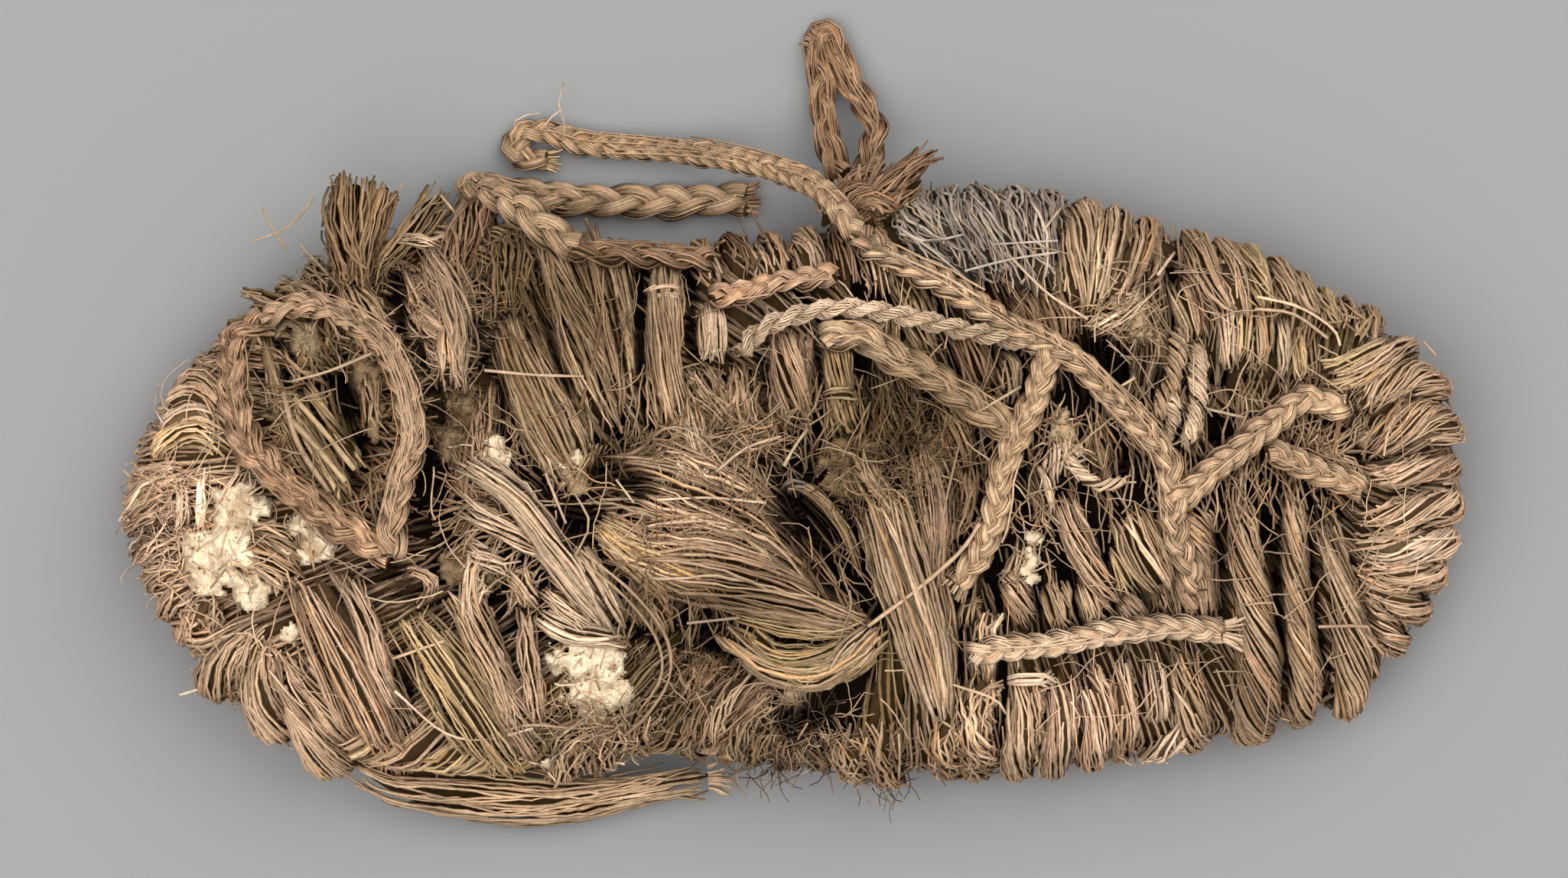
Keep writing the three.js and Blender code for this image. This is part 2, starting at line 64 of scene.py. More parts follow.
# ---------------------------------------------------------------- form of the shoe
def _hermite(rows, v, column):
    key, val = rows[:, 0], rows[:, column]
    v = np.clip(np.asarray(v, float), key[0], key[-1])
    k = np.clip(np.searchsorted(key, v, side="left") - 1, 0, len(key) - 2)
    lo, hi = np.maximum(k - 1, 0), np.minimum(k + 2, len(key) - 1)
    h = key[k + 1] - key[k]
    t = (v - key[k]) / h
    m0 = (val[k + 1] - val[lo]) / (key[k + 1] - key[lo]) * h
    m1 = (val[hi] - val[k]) / (key[hi] - key[k]) * h
    t2, t3 = t * t, t * t * t
    return (2 * t3 - 3 * t2 + 1) * val[k] + (t3 - 2 * t2 + t) * m0 + (3 * t2 - 2 * t3) * val[k + 1] + (t3 - t2) * m1


def edge_y(x, side):
    s = np.clip(np.asarray(x, float) / HALF_LENGTH, -1, 1)
    taper = np.maximum(0, 1 - np.abs(s) ** ROUNDNESS) ** (1 / ROUNDNESS)
    return _hermite(STATIONS, s, 1) * taper if side > 0 else -_hermite(STATIONS, s, 2) * taper


def spine_y(x):
    return (edge_y(x, 1) + edge_y(x, -1)) / 2


def spring(x):
    x = np.asarray(x, float)
    return (np.where(x > 70, TOE_SPRING * ((x - 70) / (HALF_LENGTH - 70)) ** 2, 0)
            + np.where(x < -100, HEEL_SPRING * ((-100 - x) / (HALF_LENGTH - 100)) ** 2, 0))


def share(x, y):
    """0 on the crest line, 1 on the outline, for points in CAD source millimetres."""
    x, y = np.broadcast_arrays(np.asarray(x, float), np.asarray(y, float))
    sx = np.clip(x, -SPINE, SPINE)
    sy = spine_y(sx)
    side = np.where(y >= sy, edge_y(sx, 1), edge_y(sx, -1))
    across = np.abs(y - sy) / np.maximum(1e-6, np.abs(side - sy))
    d = np.maximum(1e-9, np.hypot(x - sx, y - sy))
    ux, uy = (x - sx) / d, (y - sy) / d
    lo, hi = np.zeros_like(d), np.full_like(d, 90.0)
    for _ in range(24):
        m = (lo + hi) / 2
        px, py = sx + ux * m, sy + uy * m
        inside = (np.abs(px) < HALF_LENGTH) & (py < edge_y(px, 1)) & (py > edge_y(px, -1))
        lo, hi = np.where(inside, m, lo), np.where(inside, hi, m)
    return np.minimum(1.0, np.where(np.abs(x) <= SPINE, across, d / np.maximum(lo, 1e-6)))


def _skin(x, y):
    crest = _hermite(STATIONS, np.clip(x / HALF_LENGTH, -1, 1), 3)
    u = share(x, y)
    return RIM_Z + spring(x) + (crest - RIM_Z) * np.maximum(0, 1 - u ** DOME) ** (1 / DOME)


GX, GY = np.arange(-145.0, 145.1, 1.0), np.arange(-80.0, 80.1, 1.0)
_gx, _gy = np.meshgrid(GX, GY, indexing="ij")
GRID = _skin(_gx, _gy + MIDDLE_Y)


def skin(x, y):
    """Height in mm of the wall's smooth skin at a place in the row frame."""
    fx = np.clip((np.asarray(x, float) - GX[0]), 0, len(GX) - 1.001)
    fy = np.clip((np.asarray(y, float) - GY[0]), 0, len(GY) - 1.001)
    i, j = fx.astype(int), fy.astype(int)
    a, b = fx - i, fy - j
    return (GRID[i, j] * (1 - a) * (1 - b) + GRID[i + 1, j] * a * (1 - b)
            + GRID[i, j + 1] * (1 - a) * b + GRID[i + 1, j + 1] * a * b)


def skin_normal(x, y):
    e = 1.5
    gx = (skin(x + e, y) - skin(x - e, y)) / (2 * e)
    gy = (skin(x, y + e) - skin(x, y - e)) / (2 * e)
    n = np.stack([-gx, -gy, np.ones_like(gx)], -1)
    return n / np.linalg.norm(n, axis=-1, keepdims=True)


_a = np.linspace(0, 2 * np.pi, 1441)[:-1]
_ox = HALF_LENGTH * np.sign(np.cos(_a)) * np.abs(np.cos(_a)) ** (2 / ROUNDNESS)
_oy = np.where(np.sin(_a) >= 0, edge_y(_ox, 1), edge_y(_ox, -1)) - MIDDLE_Y
OUTLINE = np.stack([_ox, _oy], 1)
_t = np.roll(OUTLINE, -1, 0) - np.roll(OUTLINE, 1, 0)
_t /= np.linalg.norm(_t, axis=1, keepdims=True)
OUTWARD = np.stack([_t[:, 1], -_t[:, 0]], 1)


def outline_at(x, y):
    """The outline's point nearest to a place, and its outward direction."""
    k = int(np.argmin((OUTLINE[:, 0] - x) ** 2 + (OUTLINE[:, 1] - y) ** 2))
    return OUTLINE[k], OUTWARD[k]


def resting(x, y, diameter):
    """Height of the middle of a round bar that rests on the wall."""
    reach = diameter / 2 + CLEAR
    z = skin(x, y) + reach
    for f in (0.35, 0.7, 0.95):
        for i in range(12):
            a = i / 12 * 2 * math.pi
            d = reach * f
            z = np.maximum(z, skin(x + d * math.cos(a), y + d * math.sin(a)) + math.sqrt(reach ** 2 - d ** 2))
    return z


# ---------------------------------------------------------------- gaps between the bundles
# the dark gaps that part the bundles: line in plan, half width, depth
GAPS = [
    ([(-30, 47), (-29.8, 35), (-29.5, 22), (-27.5, 15)], 1.3, 14), ([(-20.3, 45), (-19.8, 38), (-19.4, 28)], 1.2, 14),
    ([(-5.5, 29), (-5.8, 17)], 1.2, 8), ([(5, 30), (4.5, 20)], 1.1, 8), ([(13.5, 29), (14.5, 17), (12, 13)], 1.8, 8),
    ([(0, -2), (5.5, -8), (10, -15)], 4.8, 16), ([(-37, 5), (-31, 3)], 3.4, 14), ([(-45, 0), (-42, -1)], 1.6, 8),
    ([(94, 4), (94.5, -10), (95.5, -24), (97, -38)], 1.3, 9), ([(101.5, -8), (102, -18), (103, -26), (105.5, -38)], 1.3, 9),
    ([(103.5, -2), (107, -10), (112, -20), (114, -26)], 1.1, 8), ([(98, 12.5), (105, 12), (108.5, 8)], 3.3, 15),
    ([(92.5, 5), (93.5, -8)], 1.6, 9), ([(116, 0), (123, 3), (131, 8)], 0.9, 5), ([(-22, -21), (-21, -23)], 1.9, 9),
    ([(-17, -27), (-11, -28)], 2.6, 10), ([(8, -37), (5, -42), (0, -44)], 3.0, 11), ([(11, -34), (15, -35)], 1.2, 6),
    ([(31, -26), (32, -30), (33, -34)], 1.5, 8), ([(35, 6), (38, 12)], 1.7, 8), ([(31.5, 5), (32, -4)], 1.3, 8),
    ([(-76, -31), (-76, -43)], 2.0, 9), ([(-80, 0), (-80, -12)], 2.4, 9), ([(58, 28), (62, 25), (68, 26)], 4.5, 12),
    ([(74, 46), (74.6, 44)], 1.8, 8), ([(-98, 14), (-95, 6), (-91, 1)], 1.8, 9), ([(-88, 21), (-86, 12)], 2.4, 11),
    ([(-85, -3), (-79, -2), (-80, 3)], 3.2, 12), ([(-90, 33), (-87, 31)], 2.4, 10), ([(-83, 31), (-82, 30)], 1.5, 7),
    ([(-97, 27), (-95, 26)], 1.6, 8), ([(-80, -12), (-77, -14)], 1.7, 8), ([(-71, 9), (-71, 2)], 2.2, 10),
    ([(-75, -18), (-72, -19)], 2.0, 8), ([(-96, -8), (-93, -10)], 1.2, 6), ([(-60, 24), (-62, 34)], 2.0, 8),
    ([(-56.5, 25), (-56, 14)], 1.3, 7), ([(-90, 34), (-89, 26), (-86.5, 17)], 2.4, 15), ([(-99.6, 31), (-99, 24), (-98, 17)], 1.3, 12),
    ([(-77.5, 43), (-77, 38), (-77.5, 32)], 1.7, 14), ([(-51, 42), (-47, 31), (-43, 20)], 0.9, 9), ([(-37.4, 48), (-34.4, 36), (-32.8, 25)], 0.9, 9),
    ([(-72, 30), (-70, 22), (-69, 16)], 1.5, 12), ([(47, 4), (48, -3)], 2.0, 8), ([(83, -8), (84, -22)], 1.5, 8), ([(70, 6), (66, 11)], 2.4, 9),
]


def groove(x, y, least=0):
    """Depth in mm of the nearest gaps at places in plan, of those at least so deep."""
    x, y = np.asarray(x, float), np.asarray(y, float)
    g = np.zeros(np.broadcast(x, y).shape)
    for line, w, depth in GAPS:
        if depth < least:
            continue
        d = np.full(g.shape, 1e9)
        for (ax, ay), (bx, by) in zip(line, line[1:]):
            vx, vy = bx - ax, by - ay
            t = np.clip(((x - ax) * vx + (y - ay) * vy) / (vx * vx + vy * vy), 0, 1)
            d = np.minimum(d, np.hypot(x - ax - t * vx, y - ay - t * vy))
        g = np.maximum(g, depth * np.exp(-(d / w) ** 4))
    return g


# ---------------------------------------------------------------- curves
def smooth(points, step=None, n=None):
    """A Catmull-Rom curve through the points, at equal steps of about step mm, or at n places."""
    p = np.asarray(points, float)
    if len(p) == 2:
        dense = p[0] + (p[1] - p[0]) * np.linspace(0, 1, 33)[:, None]
    else:
        q = np.vstack([2 * p[0] - p[1], p, 2 * p[-1] - p[-2]])
        t = np.linspace(0, 1, 17)[:-1][:, None]
        parts = []
        for k in range(1, len(q) - 2):
            a, b, c, d = q[k - 1], q[k], q[k + 1], q[k + 2]
            parts.append(0.5 * (2 * b + (c - a) * t + (2 * a - 5 * b + 4 * c - d) * t ** 2 + (3 * b - a - 3 * c + d) * t ** 3))
        dense = np.vstack(parts + [p[-1:]])
    s = np.r_[0, np.cumsum(np.linalg.norm(np.diff(dense[:, :3], axis=0), axis=1))]
    if n is None:
        n = max(4, int(round(s[-1] / step)) + 1)
    at = np.linspace(0, s[-1], n)
    return np.stack([np.interp(at, s, dense[:, k]) for k in range(dense.shape[1])], 1)


def unit(v):
    return v / np.maximum(1e-9, np.linalg.norm(v, axis=-1, keepdims=True))


def frames(c, n):
    """Tangent, side and up along a centreline whose rough upward directions are n."""
    t = unit(np.gradient(c, axis=0))
    side = unit(np.cross(t, n))
    return t, side, unit(np.cross(side, t))


# ---------------------------------------------------------------- mesh builder
class Fibre:
    """Collects tubes and writes them as one mesh, with a tint on each point."""

    def __init__(self):
        self.co, self.tint, self.loops, self.starts = [], [], [], []
        self.nv = self.nl = 0

    def add(self, co, tint, polys, size):
        self.co.append(co.reshape(-1, 3).astype(np.float32))
        self.tint.append(tint.reshape(-1, 4).astype(np.float32))
        polys = polys.reshape(-1, size) + self.nv
        self.loops.append(polys.ravel())
        self.starts.append(self.nl + np.arange(len(polys)) * size)
        self.nl += polys.size

    def close(self):
        self.nv = sum(len(c) for c in self.co)

    def tubes(self, p, radius, up, tint, sides=3, turn=None, squash=1.0):
        """p is (k, m, 3) centrelines, radius (k, m), up (k, m, 3), tint (k, m, 4)."""
        k, m, _ = p.shape
        p = p.copy()
        p[..., 2] = np.maximum(p[..., 2], radius * 1.05 + 0.05)
        tint = tint.copy()
        tone_shift = tone_and_light_gain(p[..., 0], p[..., 1])[..., None]
        tint[..., :3] *= tone_shift ** np.array((1.0, 1.04, 1.20))  # brightened places turn greyer, darkened ones browner; along the sides and ends the brightening is painted light
        t = unit(np.gradient(p, axis=1))
        a = unit(np.cross(t, up))
        b = np.cross(a, t)
        ang = np.arange(sides) / sides * 2 * np.pi
        ang = ang[None, :] + (turn if turn is not None else RNG.uniform(0, 2 * np.pi, k))[:, None]
        ca, sa = np.cos(ang)[:, None, :, None], np.sin(ang)[:, None, :, None]
        ring = p[:, :, None, :] + radius[:, :, None, None] * (ca * a[:, :, None, :] + squash * sa * b[:, :, None, :])
        base = (np.arange(k) * m * sides)[:, None, None]
        i = (np.arange(m - 1) * sides)[None, :, None]
        j = np.arange(sides)[None, None, :]
        j2 = (j + 1) % sides
        quads = np.stack([base + i + j, base + i + sides + j, base + i + sides + j2, base + i + j2], -1)
        tt = np.repeat(tint[:, :, None, :], sides, 2)
        self.close()
        self.add(ring * MM, tt, quads, 4)
        first = (np.arange(k) * m * sides)[:, None] + np.arange(sides)[None, :]
        last = (np.arange(k) * m * sides + (m - 1) * sides)[:, None] + np.arange(sides)[None, ::-1]
        for caps in (first, last):
            self.loops.append((caps + self.nv).ravel())
            self.starts.append(self.nl + np.arange(k) * sides)
            self.nl += caps.size

    def mesh(self, name, material, body="root"):
        self.close()
        co, loops = np.concatenate(self.co), np.concatenate(self.loops)
        starts = np.concatenate(self.starts)
        me = bpy.data.meshes.new(name)
        me.vertices.add(len(co))
        me.vertices.foreach_set("co", co.ravel())
        me.loops.add(len(loops))
        me.loops.foreach_set("vertex_index", loops.astype(np.int32))
        me.polygons.add(len(starts))
        me.polygons.foreach_set("loop_start", starts.astype(np.int32))
        me.update(calc_edges=True)
        me.polygons.foreach_set("use_smooth", np.ones(len(starts), bool))
        layer = me.attributes.new("tint", "FLOAT_COLOR", "POINT")
        layer.data.foreach_set("color", np.concatenate(self.tint).ravel())
        me.validate(verbose=False)
        me.materials.append(material)
        o = bpy.data.objects.new(name, me)
        bpy.context.scene.collection.objects.link(o)
        sizes = np.diff(np.r_[starts, len(loops)])
        COUNTS[name] = int((sizes - 2).sum())
        return o


COUNTS = {}

# broad patches that brighten or darken the stems: middle, half sizes, share of the brightness; the strong brightening
# patches along the sides and at both ends are painted light
TONE_AND_LIGHT_PATCHES = [(-46, 40, 20, 13, 0.53), (-38, 27, 17, 14, 0.76), (-72, 44, 18, 14, 1.15), (4, -2, 14, 12, 0.84), (-15, -2, 24, 11, 1.16), (-8, -21, 20, 10, 0.57),
           (55, -5, 15, 18, 1.14), (21, -17, 9, 20, 0.94),
           (-88, 17, 11, 17, 0.80), (-78, 45, 8, 7, 0.92), (2, -45, 20, 10, 1.03), (97, -22, 12, 16, 1.12),
           (54, -42, 26, 12, 1.66), (124, 2, 12, 34, 1.54), (-96, -32, 20, 20, 1.46), (-121, -2, 13, 22, 1.92), (-52, -26, 18, 20, 1.26),
           (20, 16, 22, 11, 0.50), (0, 41, 20, 8, 1.64), (22, 38, 14, 8, 1.08), (64, 44, 12, 12, 1.18), (94, 36, 16, 12, 1.14), (-80, -50, 30, 8, 1.25)]


def tone_and_light_gain(x, y):
    g = np.ones_like(x)
    for cx, cy, rx, ry, v in TONE_AND_LIGHT_PATCHES:
        g = g * (1 + (v - 1) * np.exp(-((x - cx) / rx) ** 2 - ((y - cy) / ry) ** 2))
    return g


RNG = np.random.default_rng(20)

# linear base colours of the fibre families, dark and light end
FAMILY = {
    "tan": ((0.17, 0.100, 0.045), (0.50, 0.340, 0.185)),
    "light": ((0.27, 0.175, 0.090), (0.62, 0.450, 0.270)),
    "pink": ((0.182, 0.108, 0.052), (0.49, 0.326, 0.182)),
    "yellow": ((0.20, 0.125, 0.048), (0.54, 0.375, 0.180)),
    "olive": ((0.100, 0.062, 0.026), (0.35, 0.230, 0.112)),
    "brown": ((0.11, 0.060, 0.026), (0.36, 0.220, 0.115)),
    "rust": ((0.11, 0.058, 0.025), (0.36, 0.220, 0.114)),
    "grey": ((0.170, 0.127, 0.087), (0.47, 0.376, 0.270)),
    "moss": ((0.080, 0.048, 0.020), (0.37, 0.226, 0.102)),
    "dark": ((0.045, 0.028, 0.014), (0.18, 0.115, 0.062)),
}


BRIGHT = np.array((1.25, 1.255, 1.40))


def tints(family, k, m, low=0.0, high=1.0, shade=None):
    """(k, m, 4) colours: one blend per stem, with a slow change along it."""
    a, b = (np.array(c) for c in FAMILY[family])
    v = np.clip(RNG.normal(0.56, 0.21, (k, 1)), 0.02, 1.0)
    v = low + (high - low) * v
    v = np.clip(v + RNG.normal(0, 0.10, (k, m)).cumsum(1) * 0.25, 0, 1.05)
    c = a + (b - a) * v[..., None]
    c = c * (1 + RNG.normal(0, 0.02, (k, 1, 3)) + RNG.normal(0, 0.04, (k, 1, 1)))
    odd = RNG.uniform(0, 1, (k, 1, 1))
    if k < 4:
        odd = odd * 0 + 0.5
    c = np.where(odd < 0.08, c * np.array((1.04, 0.90, 0.74)), c)
    c = np.where((odd > 0.09) & (odd < 0.15), c * 1.22, c)
    c = np.where(odd > 0.91, c * 0.58, c)
    if shade is not None:
        c = c * shade[..., None]
    return np.concatenate([np.clip(c * BRIGHT, 0.004, 0.92), np.ones((k, m, 1))], -1)


def place(s, values):
    """values (m, ...) read at shares s (k, q) of their length."""
    m = len(values)
    f = np.clip(s, 0, 1) * (m - 1)
    i = np.minimum(f.astype(int), m - 2)
    w = (f - i)[..., None]
    return values[i] * (1 - w) + values[i + 1] * w


def wave(k, m, amp, scale):
    """(k, m) smooth random sideways wander, in mm."""
    s = np.linspace(0, 1, m)[None, :] * scale
    out = np.zeros((k, m))
    for f, g in ((1.0, 0.6), (2.3, 0.3), (4.1, 0.16)):
        out += g * np.sin(2 * np.pi * (f * s + RNG.uniform(0, 1, (k, 1))))
    return amp * out


def lay(mesh, c, n, half, thick, density=1.0, col="tan", mess=0.3, tw=0.0, radius=(0.23, 0.43), step=3.1,
        ends=(0.03, 0.05), early=0.25, core=True, gain=1.0, hairs=0.08, sides=3, top=0.55, gaps=0.0, squash=1.0, clump=0.42, inner=0.25, plies=0):
    """Lays a bundle of stems along centreline c with upward directions n, half widths and thicknesses in mm.

    The stems cover the upper half of an oval section; tw turns of twist lead them across it."""
    length = np.linalg.norm(np.diff(c, axis=0), axis=1).sum()
    t, side, up = frames(c, n)
    arc = math.pi * (half.mean() + thick.mean()) / 2
    per = arc / (radius[0] + radius[1]) * density
    lean = abs(tw)
    seen = 1.0 if lean < 0.02 else min(1.0, 0.56 / lean)
    q = int(np.clip(round(length * seen / step) + 1, 5, 24))
    for layer, share_ in ((0, 1.0), (1, top)):
        k = int(np.clip(per * share_ * (1 + 2 * lean), 5, 130))
        wide = math.pi * lean + 0.08
        mid = -wide + (math.pi + 2 * wide) * (np.arange(k) + RNG.uniform(-0.5, 0.5, k) * (0.8 + layer)) / max(1, k - 1)
        mid = mid + 0.10 * np.sin(mid * 3.1 + RNG.uniform(0, 6)) + 0.05 * np.sin(mid * 7.3 + RNG.uniform(0, 6))
        if k > 9:  # stems draw together into strands
            strands = plies or max(2, int(k / RNG.uniform(4.5, 7.5)))
            lot = (mid - mid.min()) / np.ptp(mid) * strands
            off_ply = 2 * (lot - np.round(lot))
            mid = mid + (np.round(lot + RNG.normal(0, 0.12, k)) - lot) / strands * np.ptp(mid) * clump * (1.0 if layer or plies else 0.3)
        slope = 2 * math.pi * tw + RNG.normal(0, 0.10 + 0.34 * mess + 0.18 * layer, k)
        s0 = np.where(RNG.uniform(0, 1, k) < 0.6, RNG.uniform(0, ends[0], k), RNG.uniform(0, early, k))
        s1 = 1 - np.where(RNG.uniform(0, 1, k) < 0.7, RNG.uniform(0, ends[1], k), RNG.uniform(0, early, k))
        if lean > 0.02:
            sl = np.where(np.abs(slope) < 0.3, 0.3 * np.sign(tw), slope)
            e0, e1 = (-0.25 - mid) / sl + 0.5, (math.pi + 0.25 - mid) / sl + 0.5
            s0, s1 = np.maximum(s0, np.minimum(e0, e1)), np.minimum(s1, np.maximum(e0, e1))
        ok = s1 - s0 > 0.10
        if ok.sum() < 2:
            continue
        ply = (0.26 * off_ply ** 2)[ok, None] if plies and k > 9 else 0.0
        mid, slope, s0, s1 = mid[ok], slope[ok], s0[ok], s1[ok]
        k = len(mid)
        s = s0[:, None] + (s1 - s0)[:, None] * np.linspace(0, 1, q)[None, :]
        ang = mid[:, None] + slope[:, None] * (s - 0.5)
        if lean <= 0.02:
            ang = np.clip(ang, -0.2, math.pi + 0.2)
        rho = RNG.uniform(0.86, 0.98, (k, 1)) if layer == 0 else RNG.uniform(0.98, 1.14, (k, 1))
        rho = rho - ply
        a, b = rho * np.cos(ang), rho * np.sin(ang)
        hw, th = place(s, half[:, None])[..., 0], place(s, thick[:, None])[..., 0]
        off = a * hw + wave(k, q, mess * (0.50 + 0.5 * layer), length / 30.0) + wave(k, q, 0.10 + 0.18 * mess, length / 7.0)
        rise = b * th + wave(k, q, 0.12 + mess * 0.35, length / 22.0)
        # torn ends lift or sag a little
        tip = np.clip((np.linspace(0, 1, q) - 0.72) / 0.28, 0, 1)[None, :] ** 2
        rise = rise + tip * RNG.normal(0, 0.5 + 1.0 * mess, (k, 1))
        off = off + tip * RNG.normal(0, 0.4 + 1.1 * mess, (k, 1))
        p = place(s, c) + off[..., None] * place(s, side) + rise[..., None] * place(s, up)
        deepen = np.zeros(p.shape[:2])
        if gaps >= 0:
            deepen = np.maximum(groove(p[..., 0], p[..., 1]) * gaps, groove(p[..., 0], p[..., 1], 14) * 0.9)
            p[..., 2] -= deepen * (p[..., 2] > 27)
        r = RNG.uniform(radius[0], radius[1], (k, 1)) * (1 + 0.17 * np.sin(s * 23 + phi_(k)))
        r = r * np.interp(np.linspace(0, 1, q), (0, 0.08, 0.9, 1), (0.8, 1, 1, 0.7))[None, :]
        # painted shade: stems at the sides of the bundle's section and the whole under layer are darker
        painted_shade = (0.46 + 0.46 * np.clip(np.sin(ang), 0, 1) ** 0.8) if layer == 0 else (0.62 + 0.46 * np.clip(np.sin(ang), 0, 1) ** 0.8)
        bright = place(s, gain[:, None])[..., 0] if isinstance(gain, np.ndarray) else gain
        # painted shade: stems sunk in a gap are darker the deeper they lie
        sunk = np.clip(1 - 0.065 * deepen, 0.12, 1)
        mesh.tubes(p, r, place(s, up), tints(col, k, q, shade=painted_shade * bright * sunk), sides=sides, squash=squash)
    if core:
        # painted shade: the core is coloured far darker than its stems (inner sets how dark), so it reads as the shade
        # between them
        dark = np.array(FAMILY[col][0]) * inner * tone_and_light_gain(c[:, 0], c[:, 1])[:, None]
        tt = np.ones((1, len(c), 4))
        tt[0, :, :3] = dark
        ang = np.arange(8) / 8 * 2 * np.pi
        body = np.interp(np.linspace(0, 1, len(c)), (0, 0.2, 0.8, 1), (0.22, 1, 1, 0.18))
        cc = c - up * (thick * (0.15 + 0.5 * (1 - body)))[:, None]
        ring = (cc[:, None, :] + (half * body * 0.78)[:, None, None] * np.cos(ang)[None, :, None] * side[:, None, :]
                + (thick * body * 0.60)[:, None, None] * np.sin(ang)[None, :, None] * up[:, None, :])
        if gaps >= 0:
            ring[..., 2] -= np.maximum(groove(ring[..., 0], ring[..., 1]) * gaps, groove(ring[..., 0], ring[..., 1], 14)) * (ring[..., 2] > 26)
        solid(mesh, ring[None], tt)
    if hairs:
        stray(mesh, c, side, up, half, thick, max(1, int(per * hairs)), col)


def phi_(k):
    return RNG.uniform(0, 6.28, (k, 1))


def solid(mesh, ring, tint):
    """A closed tube from explicit rings (1, m, sides, 3) in mm."""
    k, m, sides, _ = ring.shape
    ring = ring.copy()
    ring[..., 2] = np.maximum(ring[..., 2], 0.3)
    j = np.arange(sides)
    i = (np.arange(m - 1) * sides)[:, None]
    quads = np.stack([i + j, i + sides + j, i + sides + (j + 1) % sides, i + (j + 1) % sides], -1)
    mesh.close()
    mesh.add(ring * MM, np.repeat(tint[:, :, None, :], sides, 2), quads, 4)
    first = j.copy()
    last = (m - 1) * sides + j[::-1]
    for cap in (first, last):
        mesh.loops.append(cap + mesh.nv)
        mesh.starts.append(np.array([mesh.nl]))
        mesh.nl += sides


def stray(mesh, c, side, up, half, thick, k, col):
    """Stems that leave the bundle's line and cross it."""
    q = 7
    s0 = RNG.uniform(0, 0.6, (k, 1))
    s = s0 + RNG.uniform(0.2, 0.4, (k, 1)) * np.linspace(0, 1, q)[None, :]
    hw, th = place(s, half[:, None])[..., 0], place(s, thick[:, None])[..., 0]
    a = RNG.uniform(-0.9, 0.9, (k, 1)) + RNG.uniform(-0.6, 0.6, (k, 1)) * np.linspace(0, 1, q)[None, :]
    b = 1.04 + 0.16 * np.sin(np.linspace(0, np.pi, q))[None, :] * RNG.uniform(0.3, 1.6, (k, 1))
    p = place(s, c) + (a * hw)[..., None] * place(s, side) + (b * th * np.sqrt(np.maximum(0.2, 1 - 0.7 * np.clip(a, -1, 1) ** 2)))[..., None] * place(s, up)
    r = np.repeat(RNG.uniform(0.15, 0.29, (k, 1)), q, 1)
    mesh.tubes(p, r, place(s, up), tints(col, k, q, 0.2, 0.9), sides=3)


def around_rim(x, y, depth=5):
    """Centreline and outward directions from under the sole's edge up to the widest line at a place."""
    e, o = outline_at(x, y)
    lift = float(spring(e[0]))
    slip = float(np.clip((x - e[0]) * o[0] + (y - e[1]) * o[1], -5, 4))
    rows = [(-17, 3.2, (0, -1)), (-8.5, 2.9, (0.15, -1)), (-3.6, 4.2, (0.8, -0.7)), (-2.4, 9, (1, -0.1)),
            (-1.6 + 0.6 * slip, 15, (1, 0)), (-1.6 + slip, 21, (1, 0.25))]
    c, n = [], []
    for by, z, (out, up) in rows[5 - depth:]:
        c.append((e[0] + o[0] * by, e[1] + o[1] * by, z + lift))
        n.append((o[0] * out, o[1] * out, up))
    return np.array(c), unit(np.array(n))


def on_skin(xy, lift):
    z = skin(xy[:, 0], xy[:, 1]) + lift
    return np.column_stack([xy, z]), skin_normal(xy[:, 0], xy[:, 1])


def profile(values, m):
    return np.interp(np.linspace(0, 1, m), np.linspace(0, 1, len(values)), values)


def row(at, wide, t=None, lift=0.0, rim=0, col="tan", mess=0.3, tw=None, stub=0, thick=1.0, gaps=0.55, clump=0.40, plies=0):
    return dict(plies=plies, stem=thick, clump=clump, gaps=gaps, at=at, wide=wide, t=t or min(4.0, 0.62 * max(wide) + 0.6), lift=lift, rim=rim, col=col, mess=mess, tw=tw, stub=stub)


